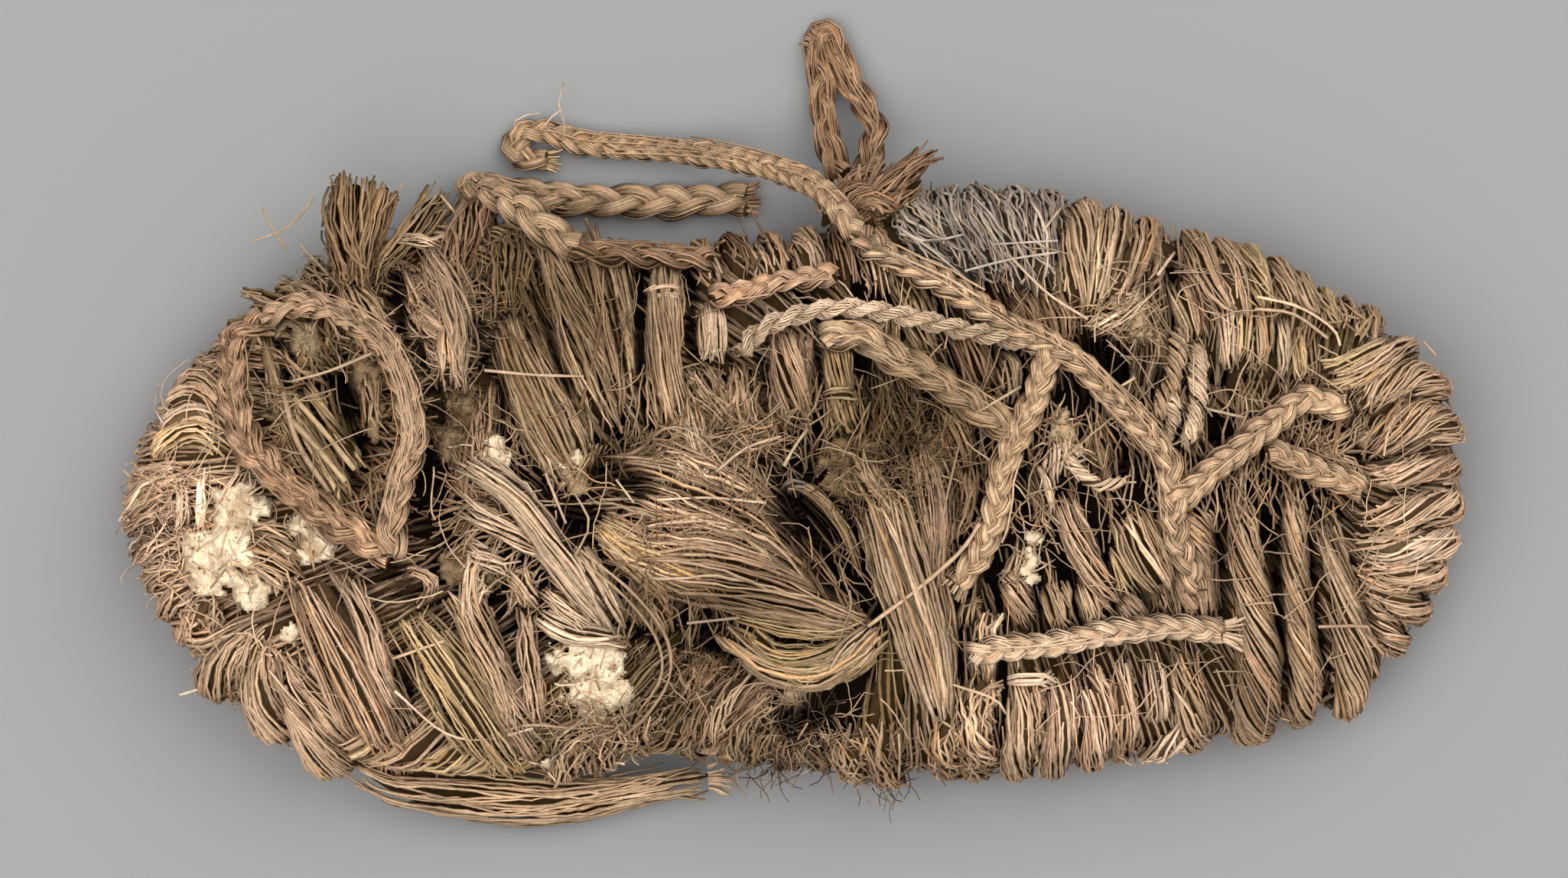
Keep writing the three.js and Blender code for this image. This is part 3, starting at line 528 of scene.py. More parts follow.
def bundle(mesh, r, density=1.0, wrap=4):
    """One charted bundle of the wall: its plan line and half widths come from the chart, its height from the skin."""
    at = smooth(np.array(r["at"], float), step=3.2)
    m = len(at)
    half = np.maximum(0.9, profile(r["wide"], m) - 0.3)
    t = r["t"]
    thick = np.minimum(t, half * 0.95)
    tw = r["tw"]
    big = max(r["wide"])
    if tw is None:
        mx, my = at.mean(0)
        rope = 86 < mx < 114 and -36 < my < -8
        tw = 1.35 if rope else 0.05 if big > 5 else float(RNG.uniform(0.3, 0.75)) if r["rim"] else float(RNG.uniform(0.08, 0.3))
    else:
        rope = False
        tw = tw * 3
    c, n = on_skin(at, -t * 0.55 + r["lift"])
    s = np.linspace(0, 1, m)
    dip = np.interp(s, (0, 0.82, 1), (0, 0, -2.0))
    if not r["rim"]:
        dip += np.interp(s, (0, 0.18, 1), (-2.0, 0, 0))
    if r["stub"]:
        dip = np.zeros(m)
        c[:, 2] = np.interp(s, (0, 0.5, 1), (32.0, 36.0, np.clip(c[-1, 2], 30, 38)))
        n[:] = (0, 0, 1)
    c[:, 2] += dip
    if r["rim"]:
        rc, rn = around_rim(at[0, 0], at[0, 1], wrap)
        keep = np.hypot(at[:, 0] - rc[-1, 0], at[:, 1] - rc[-1, 1]) > 2.5
        if keep.sum() < 2:
            keep[-2:] = True
        k0 = len(rc)
        c, n = np.vstack([rc, c[keep]]), np.vstack([rn, n[keep]])
        half = np.r_[np.full(k0, half[0]) * np.linspace(0.9, 1.0, k0), half[keep]]
        thick = np.r_[np.full(k0, min(3.7, half[0] * 0.9)), thick[keep]]
        both = smooth(np.column_stack([c, n, half, thick]), step=2.8)
        c, n, half, thick = both[:, :3], unit(both[:, 3:6]), both[:, 6], both[:, 7]
    # inner sets how dark the painted shade of the bundle's core is
    lay(mesh, c, n, half, thick, density, r["col"], 0.08 + r["mess"] * 1.2, tw, gaps=r["gaps"], clump=0.5 if rope else r["clump"], plies=7 if rope else r["plies"], inner=0.40 if r["rim"] else 0.20, radius=(0.23 * r["stem"], 0.43 * r["stem"]),
        ends=(0.02, 0.10) if r["rim"] else (0.08, 0.10), early=0.3 if r["rim"] else 0.16)
    if r["stub"]:  # it stands free of the wall, so its lower half is seen too
        lay(mesh, c, -n, half, thick, density * 0.9, r["col"], 0.08 + r["mess"] * 1.2, tw, gaps=-1, core=False, hairs=0, early=0.16)


# ---------------------------------------------------------------- braids
def braid(mesh, c, n, width=5.4, thick=3.2, col="tan", stems=8, pitch=12.4, step=1.25, gain=1.0, seed_phase=0.0,
          loose=0.12, taper=(1.0, 1.0), hairs=0.0, body=True, radius=(0.21, 0.33), wobble=0.0):
    """A three-strand braid along centreline c (mm)."""
    both = smooth(np.column_stack([c, n]), step=step)
    c, n = both[:, :3], unit(both[:, 3:])
    m = len(c)
    t, side, up = frames(c, n)
    s = np.r_[0, np.cumsum(np.linalg.norm(np.diff(c, axis=0), axis=1))]
    if wobble:
        c = c + wave(1, m, wobble, s[-1] / 26)[0][:, None] * side
    grow = np.interp(s / s[-1], (0, 0.06, 0.94, 1), (taper[0], 1, 1, taper[1]))
    grow = grow * (1 + wave(1, m, 0.07, s[-1] / 22)[0])
    half = width / 2
    strand = half * 0.46
    amp = half - strand * 0.90
    turn = s / pitch + wave(1, m, 0.03, s[-1] / 30)[0]
    for k in range(3):
        th = 2 * np.pi * (turn + k / 3) + seed_phase
        x = amp * np.sin(th) * grow
        z = thick * 0.29 * np.sin(2 * th + np.pi) * grow
        line = c + x[:, None] * side + z[:, None] * up
        tl, sl, ul = frames(line, up)
        q = np.linspace(-1, 1, stems)[:, None] * 0.98
        q = q + RNG.normal(0, 0.05, (stems, 1)) + wave(stems, m, loose * 0.6, s[-1] / 13)
        swell = 1 + 0.10 * np.sin(th * 2)[None, :]
        flat = strand * q * swell * grow[None, :]
        rise = thick * 0.26 * np.sqrt(np.maximum(0.0, 1.05 - q ** 2)) * grow[None, :] + wave(stems, m, loose * 0.5, s[-1] / 9)
        p = line[None] + flat[..., None] * sl[None] + rise[..., None] * ul[None]
        r = np.repeat(RNG.uniform(radius[0], radius[1], (stems, 1)), m, 1) * (width / 5.6)
        # painted shade: each strand is darker where it passes under the others and at its edges
        strand_shade = np.clip(0.60 + 0.36 * np.sin(2 * th + np.pi)[None, :] + 0.18 * np.sqrt(np.maximum(0, 1 - q ** 2)), 0.4, 1.08)
        mesh.tubes(p, r, np.repeat(ul[None], stems, 0), tints(col, stems, m, 0.05, 1.0, shade=strand_shade * gain), sides=3)
        if body:
            ang = np.arange(6) / 6 * 2 * np.pi
            ring = (line[:, None, :] + (strand * 0.90 * grow)[:, None, None] * np.cos(ang)[None, :, None] * sl[:, None, :]
                    + (thick * 0.22 * grow)[:, None, None] * np.sin(ang)[None, :, None] * ul[:, None, :])
            # painted shade: the body under the strands is coloured dark, as shade between them
            tt = np.ones((1, m, 4))
            tt[..., :3] = np.array(FAMILY[col][0]) * 0.35
            solid(mesh, ring[None], tt)
    if hairs:
        w, h = np.full(m, half), np.full(m, thick * 0.5)
        stray(mesh, c, side, up, w, h, int(hairs * s[-1]), col)


def twist(mesh, c, n, width=4.2, col="light", stems=9, pitch=9.5, step=1.3, gain=1.0):
    """A two-ply cord along centreline c (mm)."""
    both = smooth(np.column_stack([c, n]), step=step)
    c, n = both[:, :3], unit(both[:, 3:])
    m = len(c)
    t, side, up = frames(c, n)
    s = np.r_[0, np.cumsum(np.linalg.norm(np.diff(c, axis=0), axis=1))]
    ply = width * 0.27
    for k in range(2):
        th = 2 * np.pi * s / pitch + k * np.pi
        line = c + (ply * np.cos(th))[:, None] * side + (ply * 0.9 * np.sin(th))[:, None] * up
        phi = np.arange(stems) / stems * 2 * np.pi
        ang = phi[:, None] - (2 * np.pi * s / (pitch * 0.8))[None, :]
        tl, sl, ul = frames(line, up)
        rad = width * 0.23
        p = line[None] + rad * np.cos(ang)[..., None] * sl[None] + rad * np.sin(ang)[..., None] * ul[None]
        r = np.repeat(RNG.uniform(0.20, 0.32, (stems, 1)), m, 1)
        # painted shade: each ply is darker where it turns under the other
        mesh.tubes(p, r, np.repeat(ul[None], stems, 0),
                   tints(col, stems, m, 0.05, 1.0, shade=np.clip(0.80 + 0.2 * np.sin(th)[None, :], 0.5, 1.05) * gain), sides=3)
        ang = np.arange(6) / 6 * 2 * np.pi
        ring = line[:, None, :] + rad * 0.9 * (np.cos(ang)[None, :, None] * sl[:, None, :] + np.sin(ang)[None, :, None] * ul[:, None, :])
        # painted shade: the body under the stems is coloured dark, as shade between them
        tt = np.ones((1, m, 4))
        tt[..., :3] = np.array(FAMILY[col][0]) * 0.35
        solid(mesh, ring[None], tt)


def frayed(mesh, at, towards, col, k=14, length=6.0, spread=0.6, up=(0, 0, 1), width=2.4):
    """The cut or torn end of a braid: short stems that fan out."""
    at, towards, up = np.array(at, float), unit(np.array(towards, float)), np.array(up, float)
    side = unit(np.cross(towards, up))
    up = np.cross(side, towards)
    q = 5
    s = np.linspace(0, 1, q)
    a, b = RNG.uniform(-1, 1, k), RNG.uniform(-0.5, 0.8, k)
    ln = RNG.uniform(0.4, 1.0, k) * length
    p = (at + (a * width)[:, None, None] * side + (b * width * 0.4)[:, None, None] * up
         + (ln[:, None] * s)[..., None] * towards
         + (ln[:, None] * spread * a[:, None] * s ** 1.6)[..., None] * side
         + (ln[:, None] * spread * 0.5 * b[:, None] * s ** 1.6)[..., None] * up)
    r = np.repeat(RNG.uniform(0.28, 0.42, (k, 1)), q, 1) * np.linspace(1, 0.7, q)
    mesh.tubes(p, r, np.broadcast_to(up, p.shape).copy(), tints(col, k, q, 0.2, 1.0), sides=3)


def fuzz(mesh, centre, half, k, col="olive", length=(5, 13), lift=(-5.0, 1.0), r=(0.10, 0.21), lean=None, curl=1.25, q=5):
    """Fine broken fibres over an oval patch of the wall."""
    ang, rad = RNG.uniform(0, 2 * np.pi, k), np.sqrt(RNG.uniform(0, 1, k))
    x = centre[0] + half[0] * rad * np.cos(ang)
    y = centre[1] + half[1] * rad * np.sin(ang)
    d = RNG.uniform(0, 2 * np.pi, k) if lean is None else math.radians(lean) + RNG.normal(0, 0.5, k)
    d = d[:, None] + np.cumsum(RNG.normal(0, curl * 0.35, (k, q)), 1)
    ln = RNG.uniform(*length, (k, 1)) / q
    px = x[:, None] + np.cumsum(np.cos(d) * ln, 1)
    py = y[:, None] + np.cumsum(np.sin(d) * ln, 1)
    z0 = RNG.uniform(lift[0], lift[1], (k, 1)) + wave(k, q, 1.0, 1.0)
    pz = skin(px, py) + z0 - groove(px, py) * 0.8
    p = np.stack([px, py, pz - 8 * (groove(px, py, 14) > 5)], -1)
    rr = np.repeat(RNG.uniform(r[0], r[1], (k, 1)), q, 1) * np.linspace(1, 0.6, q)
    # painted shade: fibres lying lower and those in the gaps are darker
    shade = np.clip(0.66 + 0.12 * z0, 0.30, 0.95) * np.clip(1 - 0.07 * groove(px, py), 0.1, 1)
    mesh.tubes(p, rr, np.broadcast_to(np.array([0, 0, 1.0]), p.shape).copy(), tints(col, k, q, shade=shade), sides=3)


def stem(mesh, pts, r=0.4, col="tan", lift=1.0, free=False, gain=1.0, bright=(0.5, 1.0)):
    """One loose stem: plan points on the skin, or points in space when free."""
    p = np.array(pts, float)
    if not free:
        flat = smooth(p[:, :2], step=2.5)
        h = np.interp(np.linspace(0, 1, len(flat)), np.linspace(0, 1, len(p)), p[:, 2] if p.shape[1] > 2 else np.full(len(p), lift))
        p = np.column_stack([flat, skin(flat[:, 0], flat[:, 1]) + h])
    else:
        p = smooth(p, step=2.5)
    p = p[None]
    rr = np.full(p.shape[:2], r) * (1 + 0.1 * RNG.normal(0, 1, p.shape[:2]))
    mesh.tubes(p, rr, np.broadcast_to(np.array([0, 0, 1.0]), p.shape).copy(),
               tints(col, 1, p.shape[1], bright[0], bright[1]) * np.array([gain, gain, gain, 1]), sides=4)


# ---------------------------------------------------------------- materials
def nodes_of(name):
    m = bpy.data.materials.new(name)
    m.use_nodes = True
    nt = m.node_tree
    return m, nt, nt.nodes["Principled BSDF"]


def fibre_material(name, roughness=0.62, strength=1.0, grime=0.35, gain=1.0):
    m, nt, bsdf = nodes_of(name)
    N, L = nt.nodes.new, nt.links.new
    tint = N("ShaderNodeAttribute")
    tint.attribute_name = "tint"
    co = N("ShaderNodeTexCoord")
    # blotches of dirt and bleaching, then fine grain
    big = N("ShaderNodeTexNoise")
    big.inputs["Scale"].default_value = 62
    big.inputs["Detail"].default_value = 4
    L(co.outputs["Object"], big.inputs["Vector"])
    fine = N("ShaderNodeTexNoise")
    fine.inputs["Scale"].default_value = 900
    fine.inputs["Detail"].default_value = 3
    L(co.outputs["Object"], fine.inputs["Vector"])
    r1 = N("ShaderNodeMapRange")
    r1.inputs["From Min"].default_value = 0.32
    r1.inputs["From Max"].default_value = 0.68
    r1.inputs["To Min"].default_value = (1 - grime * 0.75) * gain
    r1.inputs["To Max"].default_value = (1 + grime * 0.45) * gain
    L(big.outputs["Fac"], r1.inputs["Value"])
    r2 = N("ShaderNodeMapRange")
    r2.inputs["From Min"].default_value = 0.3
    r2.inputs["From Max"].default_value = 0.7
    r2.inputs["To Min"].default_value = 0.80
    r2.inputs["To Max"].default_value = 1.16
    L(fine.outputs["Fac"], r2.inputs["Value"])
    mul = N("ShaderNodeMath")
    mul.operation = "MULTIPLY"
    L(r1.outputs[0], mul.inputs[0])
    L(r2.outputs[0], mul.inputs[1])
    sc = N("ShaderNodeVectorMath")
    sc.operation = "SCALE"
    L(tint.outputs["Color"], sc.inputs[0])
    L(mul.outputs[0], sc.inputs["Scale"])
    L(sc.outputs[0], bsdf.inputs["Base Color"])
    rr = N("ShaderNodeMapRange")
    rr.inputs["To Min"].default_value = roughness - 0.10
    rr.inputs["To Max"].default_value = roughness + 0.16
    L(fine.outputs["Fac"], rr.inputs["Value"])
    L(rr.outputs[0], bsdf.inputs["Roughness"])
    grain = N("ShaderNodeTexNoise")
    grain.inputs["Scale"].default_value = 2600
    grain.inputs["Detail"].default_value = 2
    L(co.outputs["Object"], grain.inputs["Vector"])
    bump = N("ShaderNodeBump")
    bump.inputs["Strength"].default_value = 0.35 * strength
    bump.inputs["Distance"].default_value = 0.0003
    L(grain.outputs["Fac"], bump.inputs["Height"])
    L(bump.outputs[0], bsdf.inputs["Normal"])
    lum = N("ShaderNodeRGBToBW")
    L(tint.outputs["Color"], lum.inputs[0])
    sp = N("ShaderNodeMapRange")
    sp.inputs["From Min"].default_value = 0.03
    sp.inputs["From Max"].default_value = 0.25
    sp.inputs["To Min"].default_value = 0.0
    sp.inputs["To Max"].default_value = 0.30
    L(lum.outputs[0], sp.inputs["Value"])
    L(sp.outputs[0], bsdf.inputs["Specular IOR Level"])
    return m


def clod_material(name, dark, light):
    m, nt, bsdf = nodes_of(name)
    N, L = nt.nodes.new, nt.links.new
    co = N("ShaderNodeTexCoord")
    a = N("ShaderNodeTexNoise")
    a.inputs["Scale"].default_value = 210
    a.inputs["Detail"].default_value = 6
    L(co.outputs["Object"], a.inputs["Vector"])
    ramp = N("ShaderNodeValToRGB")
    ramp.color_ramp.elements[0].position = 0.27
    ramp.color_ramp.elements[0].color = (*dark, 1)
    ramp.color_ramp.elements[1].position = 0.52
    ramp.color_ramp.elements[1].color = (*light, 1)
    L(a.outputs["Fac"], ramp.inputs["Fac"])
    warp = N("ShaderNodeVectorMath")
    warp.operation = "MULTIPLY_ADD"
    L(a.outputs["Color"], warp.inputs[0])
    warp.inputs[1].default_value = (0.004, 0.004, 0.004)
    L(co.outputs["Object"], warp.inputs[2])
    crack = N("ShaderNodeTexVoronoi")
    crack.feature = "DISTANCE_TO_EDGE"
    crack.inputs["Scale"].default_value = 300
    L(warp.outputs[0], crack.inputs["Vector"])
    line = N("ShaderNodeMapRange")
    line.inputs["From Max"].default_value = 0.04
    line.inputs["To Min"].default_value = 0.78
    line.inputs["To Max"].default_value = 1.0
    L(crack.outputs["Distance"], line.inputs["Value"])
    # the colour is multiplied by the crack lines, so it is darker along the cracks
    tone_shift = N("ShaderNodeMix")
    tone_shift.data_type = "RGBA"
    tone_shift.blend_type = "MULTIPLY"
    tone_shift.inputs["Factor"].default_value = 1.0
    L(ramp.outputs["Color"], tone_shift.inputs[6])
    L(line.outputs[0], tone_shift.inputs[7])
    L(tone_shift.outputs[2], bsdf.inputs["Base Color"])
    b = N("ShaderNodeTexNoise")
    b.inputs["Scale"].default_value = 900
    b.inputs["Detail"].default_value = 5
    L(co.outputs["Object"], b.inputs["Vector"])
    bump = N("ShaderNodeBump")
    bump.inputs["Strength"].default_value = 0.9
    bump.inputs["Distance"].default_value = 0.0009
    L(b.outputs["Fac"], bump.inputs["Height"])
    L(bump.outputs[0], bsdf.inputs["Normal"])
    bsdf.inputs["Roughness"].default_value = 0.93
    bsdf.inputs["Specular IOR Level"].default_value = 0.15
    return m


FIBRE = fibre_material("dry_grass_stems")
# painted shade: the cores' material is darkened to about a quarter, so the sole and wall bodies read as shade between
# the stems
CORE = fibre_material("packed_grass_core", roughness=0.9, strength=1.6, grime=0.5, gain=0.24)
BRAIDED = fibre_material("braided_grass", roughness=0.58, grime=0.28)
PLASTER = clod_material("lime_crust", (0.43, 0.30, 0.172), (0.87, 0.71, 0.495))
LUMP = clod_material("matted_dust", (0.17, 0.105, 0.050), (0.47, 0.335, 0.195))
DUST = clod_material("brown_dust", (0.060, 0.036, 0.016), (0.25, 0.165, 0.085))
SOIL = clod_material("dried_soil", (0.075, 0.052, 0.028), (0.26, 0.19, 0.11))

# ---------------------------------------------------------------- camera
FRAME_W = 2050 * 0.15  # mm that the frame spans at the wall's middle height
cam = bpy.data.cameras.new("camera")
camera = bpy.data.objects.new("camera", cam)
bpy.context.scene.collection.objects.link(camera)
cam.sensor_width = 36
CAM_D = 4.2
cam.lens = 36 * (CAM_D - 0.036) / (FRAME_W * MM)
cam.clip_start = 0.1
cam.clip_end = 60
camera.location = ((1025 - 1035.25) * 0.15 * MM, ((645.75 - 574) * 0.15 - MIDDLE_Y) * MM, CAM_D)
camera.rotation_euler = (0, 0, 0)
bpy.context.scene.camera = camera

# ---------------------------------------------------------------- free ties first
SHIFT = np.array([0, -MIDDLE_Y, 0])


def rows3(rows, diameter):
    p = np.array([(x, y - MIDDLE_Y, np.nan if z is None else z) for x, y, z in rows], float)
    for q in p:
        if np.isnan(q[2]):
            q[2] = float(resting(q[0], q[1], diameter))
    return p


BRAID_D, CORD_D, TIE_D = 5.2, 4.2, 6.6
LONG_TIE = rows3([(12.6, 51.2, None), (10.4, 54.2, 35), (7.6, 58, 31), (2.5, 61.6, 25.5), (-6, 64.6, 16.5), (-17, 66.9, 8.4),
                  (-29, 68.2, 4), (-41, 69, 3.1), (-48.5, 71.4, 3.1), (-53.2, 71, 3.1), (-55, 68.2, 3.1),
                  (-52.6, 65.9, 3.1), (-48.4, 65.7, 3.1)], BRAID_D)
LOOP_OUT = rows3([(9.6, 62.6, 17.4), (6.6, 72, 9), (5.4, 81.5, 4), (5, 88.5, 3.1)], BRAID_D)
LOOP_BACK = rows3([(10, 88.2, 3.1), (13.6, 79, 5), (15.6, 72, 10), (14.4, 62.6, 18)], BRAID_D)
BROKEN_TIE = rows3([(-42.4, 47.9, None), (-47.6, 51.4, 35.6), (-52.8, 55.6, 31), (-58.5, 58.6, 23), (-62.8, 60.4, 13),
                    (-59.5, 60, 5.6), (-50, 58.5, 3.8), (-30, 57.6, 3.8), (-9, 58, 3.8)], TIE_D)


def up_for(p, z=1.0):
    return np.tile((0, 0, 1.0), (len(p), 1))


def tie_normals(p):
    """Upward directions for a tie that comes over the rim: off the wall first, then up."""
    t = unit(np.gradient(p, axis=0))
    n = np.tile((0.0, 0.35, 1.0), (len(p), 1))
    n = n - (n * t).sum(1, keepdims=True) * t
    return unit(n)


def declare_tie(mesh, name, node):
    o = mesh.mesh(name, BRAIDED)
    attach(o, "root")
    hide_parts(node)
    return o


m = Fibre()
path = smooth(LONG_TIE, step=2.5)
braid(m, path, tie_normals(path), width=5.0, thick=3.8, col="tan", stems=8, pitch=12.4, gain=1.07, taper=(1, 0.8), hairs=0.10)
frayed(m, path[-1], path[-1] - path[-3], "yellow", k=18, length=3.2, spread=0.35, width=1.8)
declare_tie(m, "long_braided_tie", "long_tie")

m = Fibre()
fold = np.array([(6.0, 90.6, 3.1), (8.6, 90.9, 3.1)])
fold[:, 1] -= MIDDLE_Y
path = smooth(np.vstack([LOOP_OUT, fold, LOOP_BACK]), step=2.2)
# its two legs lie together near the fold and part lower down
share_of = np.linspace(0, 1, len(path))
look = path + np.column_stack([np.interp(share_of, (0, 0.12, 0.36, 0.46, 0.54, 0.66, 0.82, 1), (0, -0.2, 0.7, -0.4, -1.3, -1.5, 0.9, 0)), np.zeros((len(path), 2))])
braid(m, look, tie_normals(look), width=5.3, thick=3.2, col="rust", stems=10, pitch=24, gain=0.95, loose=0.30, hairs=0.22)
frayed(m, (5.0, 90.6, 3.2), (-0.8, 0.6, 0.0), "rust", k=24, length=2.6, spread=0.4, width=1.7)
declare_tie(m, "looped_tie", "loop_tie")

m = Fibre()
path = smooth(BROKEN_TIE, step=2.5)
braid(m, path, tie_normals(path), width=6.4, thick=4.0, col="tan", stems=10, pitch=21, gain=0.90, loose=0.18, taper=(1, 1.08), hairs=0.10)
frayed(m, path[-1], path[-1] - path[-3], "brown", k=28, length=3.0, spread=0.3, width=2.9)
declare_tie(m, "broken_flat_tie", "broken_tie")

# ---------------------------------------------------------------- braids on the wall
LONG_BRAID = [(10.9, 53.4), (12.6, 51.4), (14.6, 49.1), (22, 45), (37, 36.6), (48, 30), (54, 26.9), (62.3, 19.7), (68.4, 12.8), (73.5, 5.8),
              (74.5, -1.8), (75.2, -8.3), (79, -19)]
TOE_ARM = [(74.5, -2.5), (80, 2.5), (87.3, 9.2), (93.8, 14), (100.2, 18.3), (108.5, 17)]
DOWN_ARM = [(50.5, 27.5), (45.4, 14.3), (41.8, 5.8), (39.5, -2.9), (37.2, -10.3), (32.6, -17.7)]
TWISTED = [(-9.8, 27.4), (-6.9, 31.5), (0.6, 34.9), (10.6, 36.4), (21.5, 34.9), (33.8, 32), (44, 30), (50, 28.5)]
CROSS_BRAID = [(6, 30.2), (12.6, 31), (19, 27.4), (26.4, 23.5), (32.9, 19), (38.9, 15), (44.5, 12.5)]
TOE_BRAID = [(93.5, 8.6), (99.3, 5.8), (106.7, 2.8), (111.8, 1.1)]
SIDE_BRAID = [(-15.6, 38.6), (-10.4, 39.2), (-3.4, 41.2), (4, 42.3), (8.5, 43)]
LOWER_BRAID = [(35, -31.5), (42, -29.8), (52.7, -29), (61.3, -27.2), (72.9, -25.8), (84.3, -26.9)]
HEEL_LEFT = [(-103.8, 34), (-108.5, 31), (-109.4, 24.9), (-109.6, 18), (-105.3, 9.2), (-99.5, 2.2), (-93.2, -2.5),
             (-85.6, -7.2), (-78, -12)]
HEEL_RIGHT = [(-103.8, 34), (-93.6, 37.2), (-85.6, 34), (-80.6, 29.7), (-76.7, 24.1), (-74.7, 18), (-73.9, 11.7),
              (-75.9, 4.6), (-77.2, -3.4), (-77.6, -12)]
TIE_ROOT = [(-16, 45.9), (-22, 46.2), (-30, 46.8), (-40, 47.4), (-43.5, 48.2)]


def laid(rows, diameter, drop=0.8, hump=None):
    xy = smooth(np.array(rows, float), step=3.0)
    xy[:, 1] -= MIDDLE_Y
    z = resting(xy[:, 0], xy[:, 1], diameter) - drop
    if hump is not None:
        z = z + np.interp(np.linspace(0, 1, len(xy)), hump[0], hump[1])
    return np.column_stack([xy, z]), skin_normal(xy[:, 0], xy[:, 1])


def braided(name, node, jobs):
    m = Fibre()
    for job in jobs:
        job(m)
    o = m.mesh(name, BRAIDED)
    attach(o, "root")
    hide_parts(node)
    return o


def bar(rows, d, **o):
    hump = o.pop("hump", None)
    drop = o.pop("drop", 0.8)
    kind = o.pop("kind", braid)
    fray = o.pop("fray", None)

    def work(m):
        c, n = laid(rows, d, drop, hump)
        kind(m, c, n, **o)
        if fray:
            frayed(m, c[-1], c[-1] - c[-3], o.get("col", "tan"), **fray)
    return work


braided("forefoot_lacing", "forefoot_braids", [
    bar(TWISTED, CORD_D, kind=twist, width=4.2, col="light", pitch=10.5, gain=0.86, drop=0.5),
    bar(CROSS_BRAID, BRAID_D, width=6.6, thick=2.8, col="tan", stems=11, pitch=18, gain=0.90, drop=1.2, hairs=.3, loose=.24, wobble=.4),
    bar(LONG_BRAID, BRAID_D, width=5.5, col="tan", stems=8, pitch=12.6, gain=1.06, hairs=.14, loose=.15, wobble=.45, hump=((0, 0.42, 0.5, 0.6, 1), (0, 0.6, 1.2, 0.4, 0))),
    bar(DOWN_ARM, BRAID_D, width=5.5, col="tan", stems=8, pitch=12.6, gain=1.04, hairs=.14, loose=.15, wobble=.45, hump=((0, 0.2, 1), (1.2, 0.4, 0)), fray=dict(k=14, length=3, spread=.4)),
    bar(TOE_ARM, BRAID_D, width=5.5, col="tan", stems=8, pitch=12.6, gain=1.0, hairs=.14, loose=.15, wobble=.45, hump=((0, 0.15, 1), (0.6, 0.3, 0))),
])
braided("toe_hole_braid", "toe_braid", [bar(TOE_BRAID, BRAID_D, width=5.2, col="tan", gain=1.0, hairs=.14, loose=.15)])
braided("shoulder_braid", "side_braid", [bar(SIDE_BRAID, BRAID_D, width=5.4, col="brown", gain=1.1, hairs=.2, loose=.2)])
braided("cross_bundle_braid", "lower_braid", [bar(LOWER_BRAID, BRAID_D, width=5.3, col="light", gain=0.94, hairs=.14, loose=.15, wobble=.3, fray=dict(k=26, length=4.5, spread=.55))])
braided("heel_lacing", "heel_braids", [
    bar(HEEL_LEFT, BRAID_D, width=6.6, col="brown", stems=9, pitch=17, gain=1.22, hairs=.4, loose=.24, wobble=.8),
    bar(HEEL_RIGHT, BRAID_D, width=5.6, col="pink", stems=8, pitch=15, gain=0.92, hairs=.4, loose=.20, wobble=.7, hump=((0, 0.5, 1), (0.3, 0.3, 1.0))),
])
braided("broken_tie_held_part", "broken_tie_root", [bar(TIE_ROOT, TIE_D, width=6.6, thick=3.6, col="brown", stems=9, pitch=20, gain=1.1, hairs=.3, loose=.2)])

# ---------------------------------------------------------------- cores
def loop_at(by, count):
    """The outline drawn in by so many mm, as count points from the toe by the left side."""
    k = (np.arange(count) * len(OUTLINE) / count).astype(int)
    return OUTLINE[k] - OUTWARD[k] * by


def stack(name, loops, material, colour, close=True):
    """A closed body from equal loops that follow each other; the last joins the first when close is false."""
    m = Fibre()
    k, s = len(loops), len(loops[0])
    pts = np.array(loops)
    tt = np.ones((k, s, 4))
    tt[..., :3] = np.array(colour)
    idx = np.arange(k * s).reshape(k, s)
    rows = range(k - 1) if close else range(k)
    quads = []
    for i in rows:
        a, b = idx[i], idx[(i + 1) % k]
        quads.append(np.stack([a, np.roll(a, -1), np.roll(b, -1), b], -1))
    m.add(pts * MM, tt, np.concatenate(quads), 4)
    if close:
        for ring in (idx[0][::-1], idx[-1]):
            m.loops.append(ring.copy())
            m.starts.append(np.array([m.nl]))
            m.nl += s
    return m.mesh(name, material)


SN = 180


def sole_loop(by, z, under=True):
    p = loop_at(by, SN)
    arch = np.where((p[:, 0] > -45) & (p[:, 0] < 25), ARCH * np.sin(np.pi * (p[:, 0] + 45) / 70) ** 2, 0) if under else 0
    return np.column_stack([p, z + spring(p[:, 0]) + arch])


# the sole's body, coloured almost black as painted shade seen between the braids
sole = stack("sole_body", [sole_loop(24, 1.9), sole_loop(9, 1.7), sole_loop(6, 2.6), sole_loop(4.6, 6), sole_loop(4.4, 10),
                           sole_loop(5, 13.2, False), sole_loop(12, 13.6, False), sole_loop(26, 13.4, False)], CORE, (0.05, 0.034, 0.019))
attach(sole, "root")
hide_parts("sole")

# the wall's packed inside: a shell from the rim to the throat, coloured almost black as painted shade seen between the
# bundles
TN = 220
_k = (np.arange(TN) * len(OUTLINE) / TN).astype(int)
ta = _a[_k]
tx = (THROAT[0, 0] + THROAT[-1, 0]) / 2 + (THROAT[-1, 0] - THROAT[0, 0]) / 2 * np.cos(ta)
ty = np.where(np.sin(ta) >= 0, np.interp(tx, THROAT[:, 0], THROAT[:, 1]), np.interp(tx, THROAT[:, 0], THROAT[:, 2])) - MIDDLE_Y
THROAT_LOOP = np.column_stack([tx, ty])


def wall_loop(t, down):
    p = OUTLINE[_k] * (1 - t) + THROAT_LOOP * t
    n = skin_normal(p[:, 0], p[:, 1])
    c = np.column_stack([p, skin(p[:, 0], p[:, 1])]) - n * down
    c[:, 2] -= groove(c[:, 0], c[:, 1]) * 0.7 + core_sag(c[:, 0], c[:, 1])
    return c


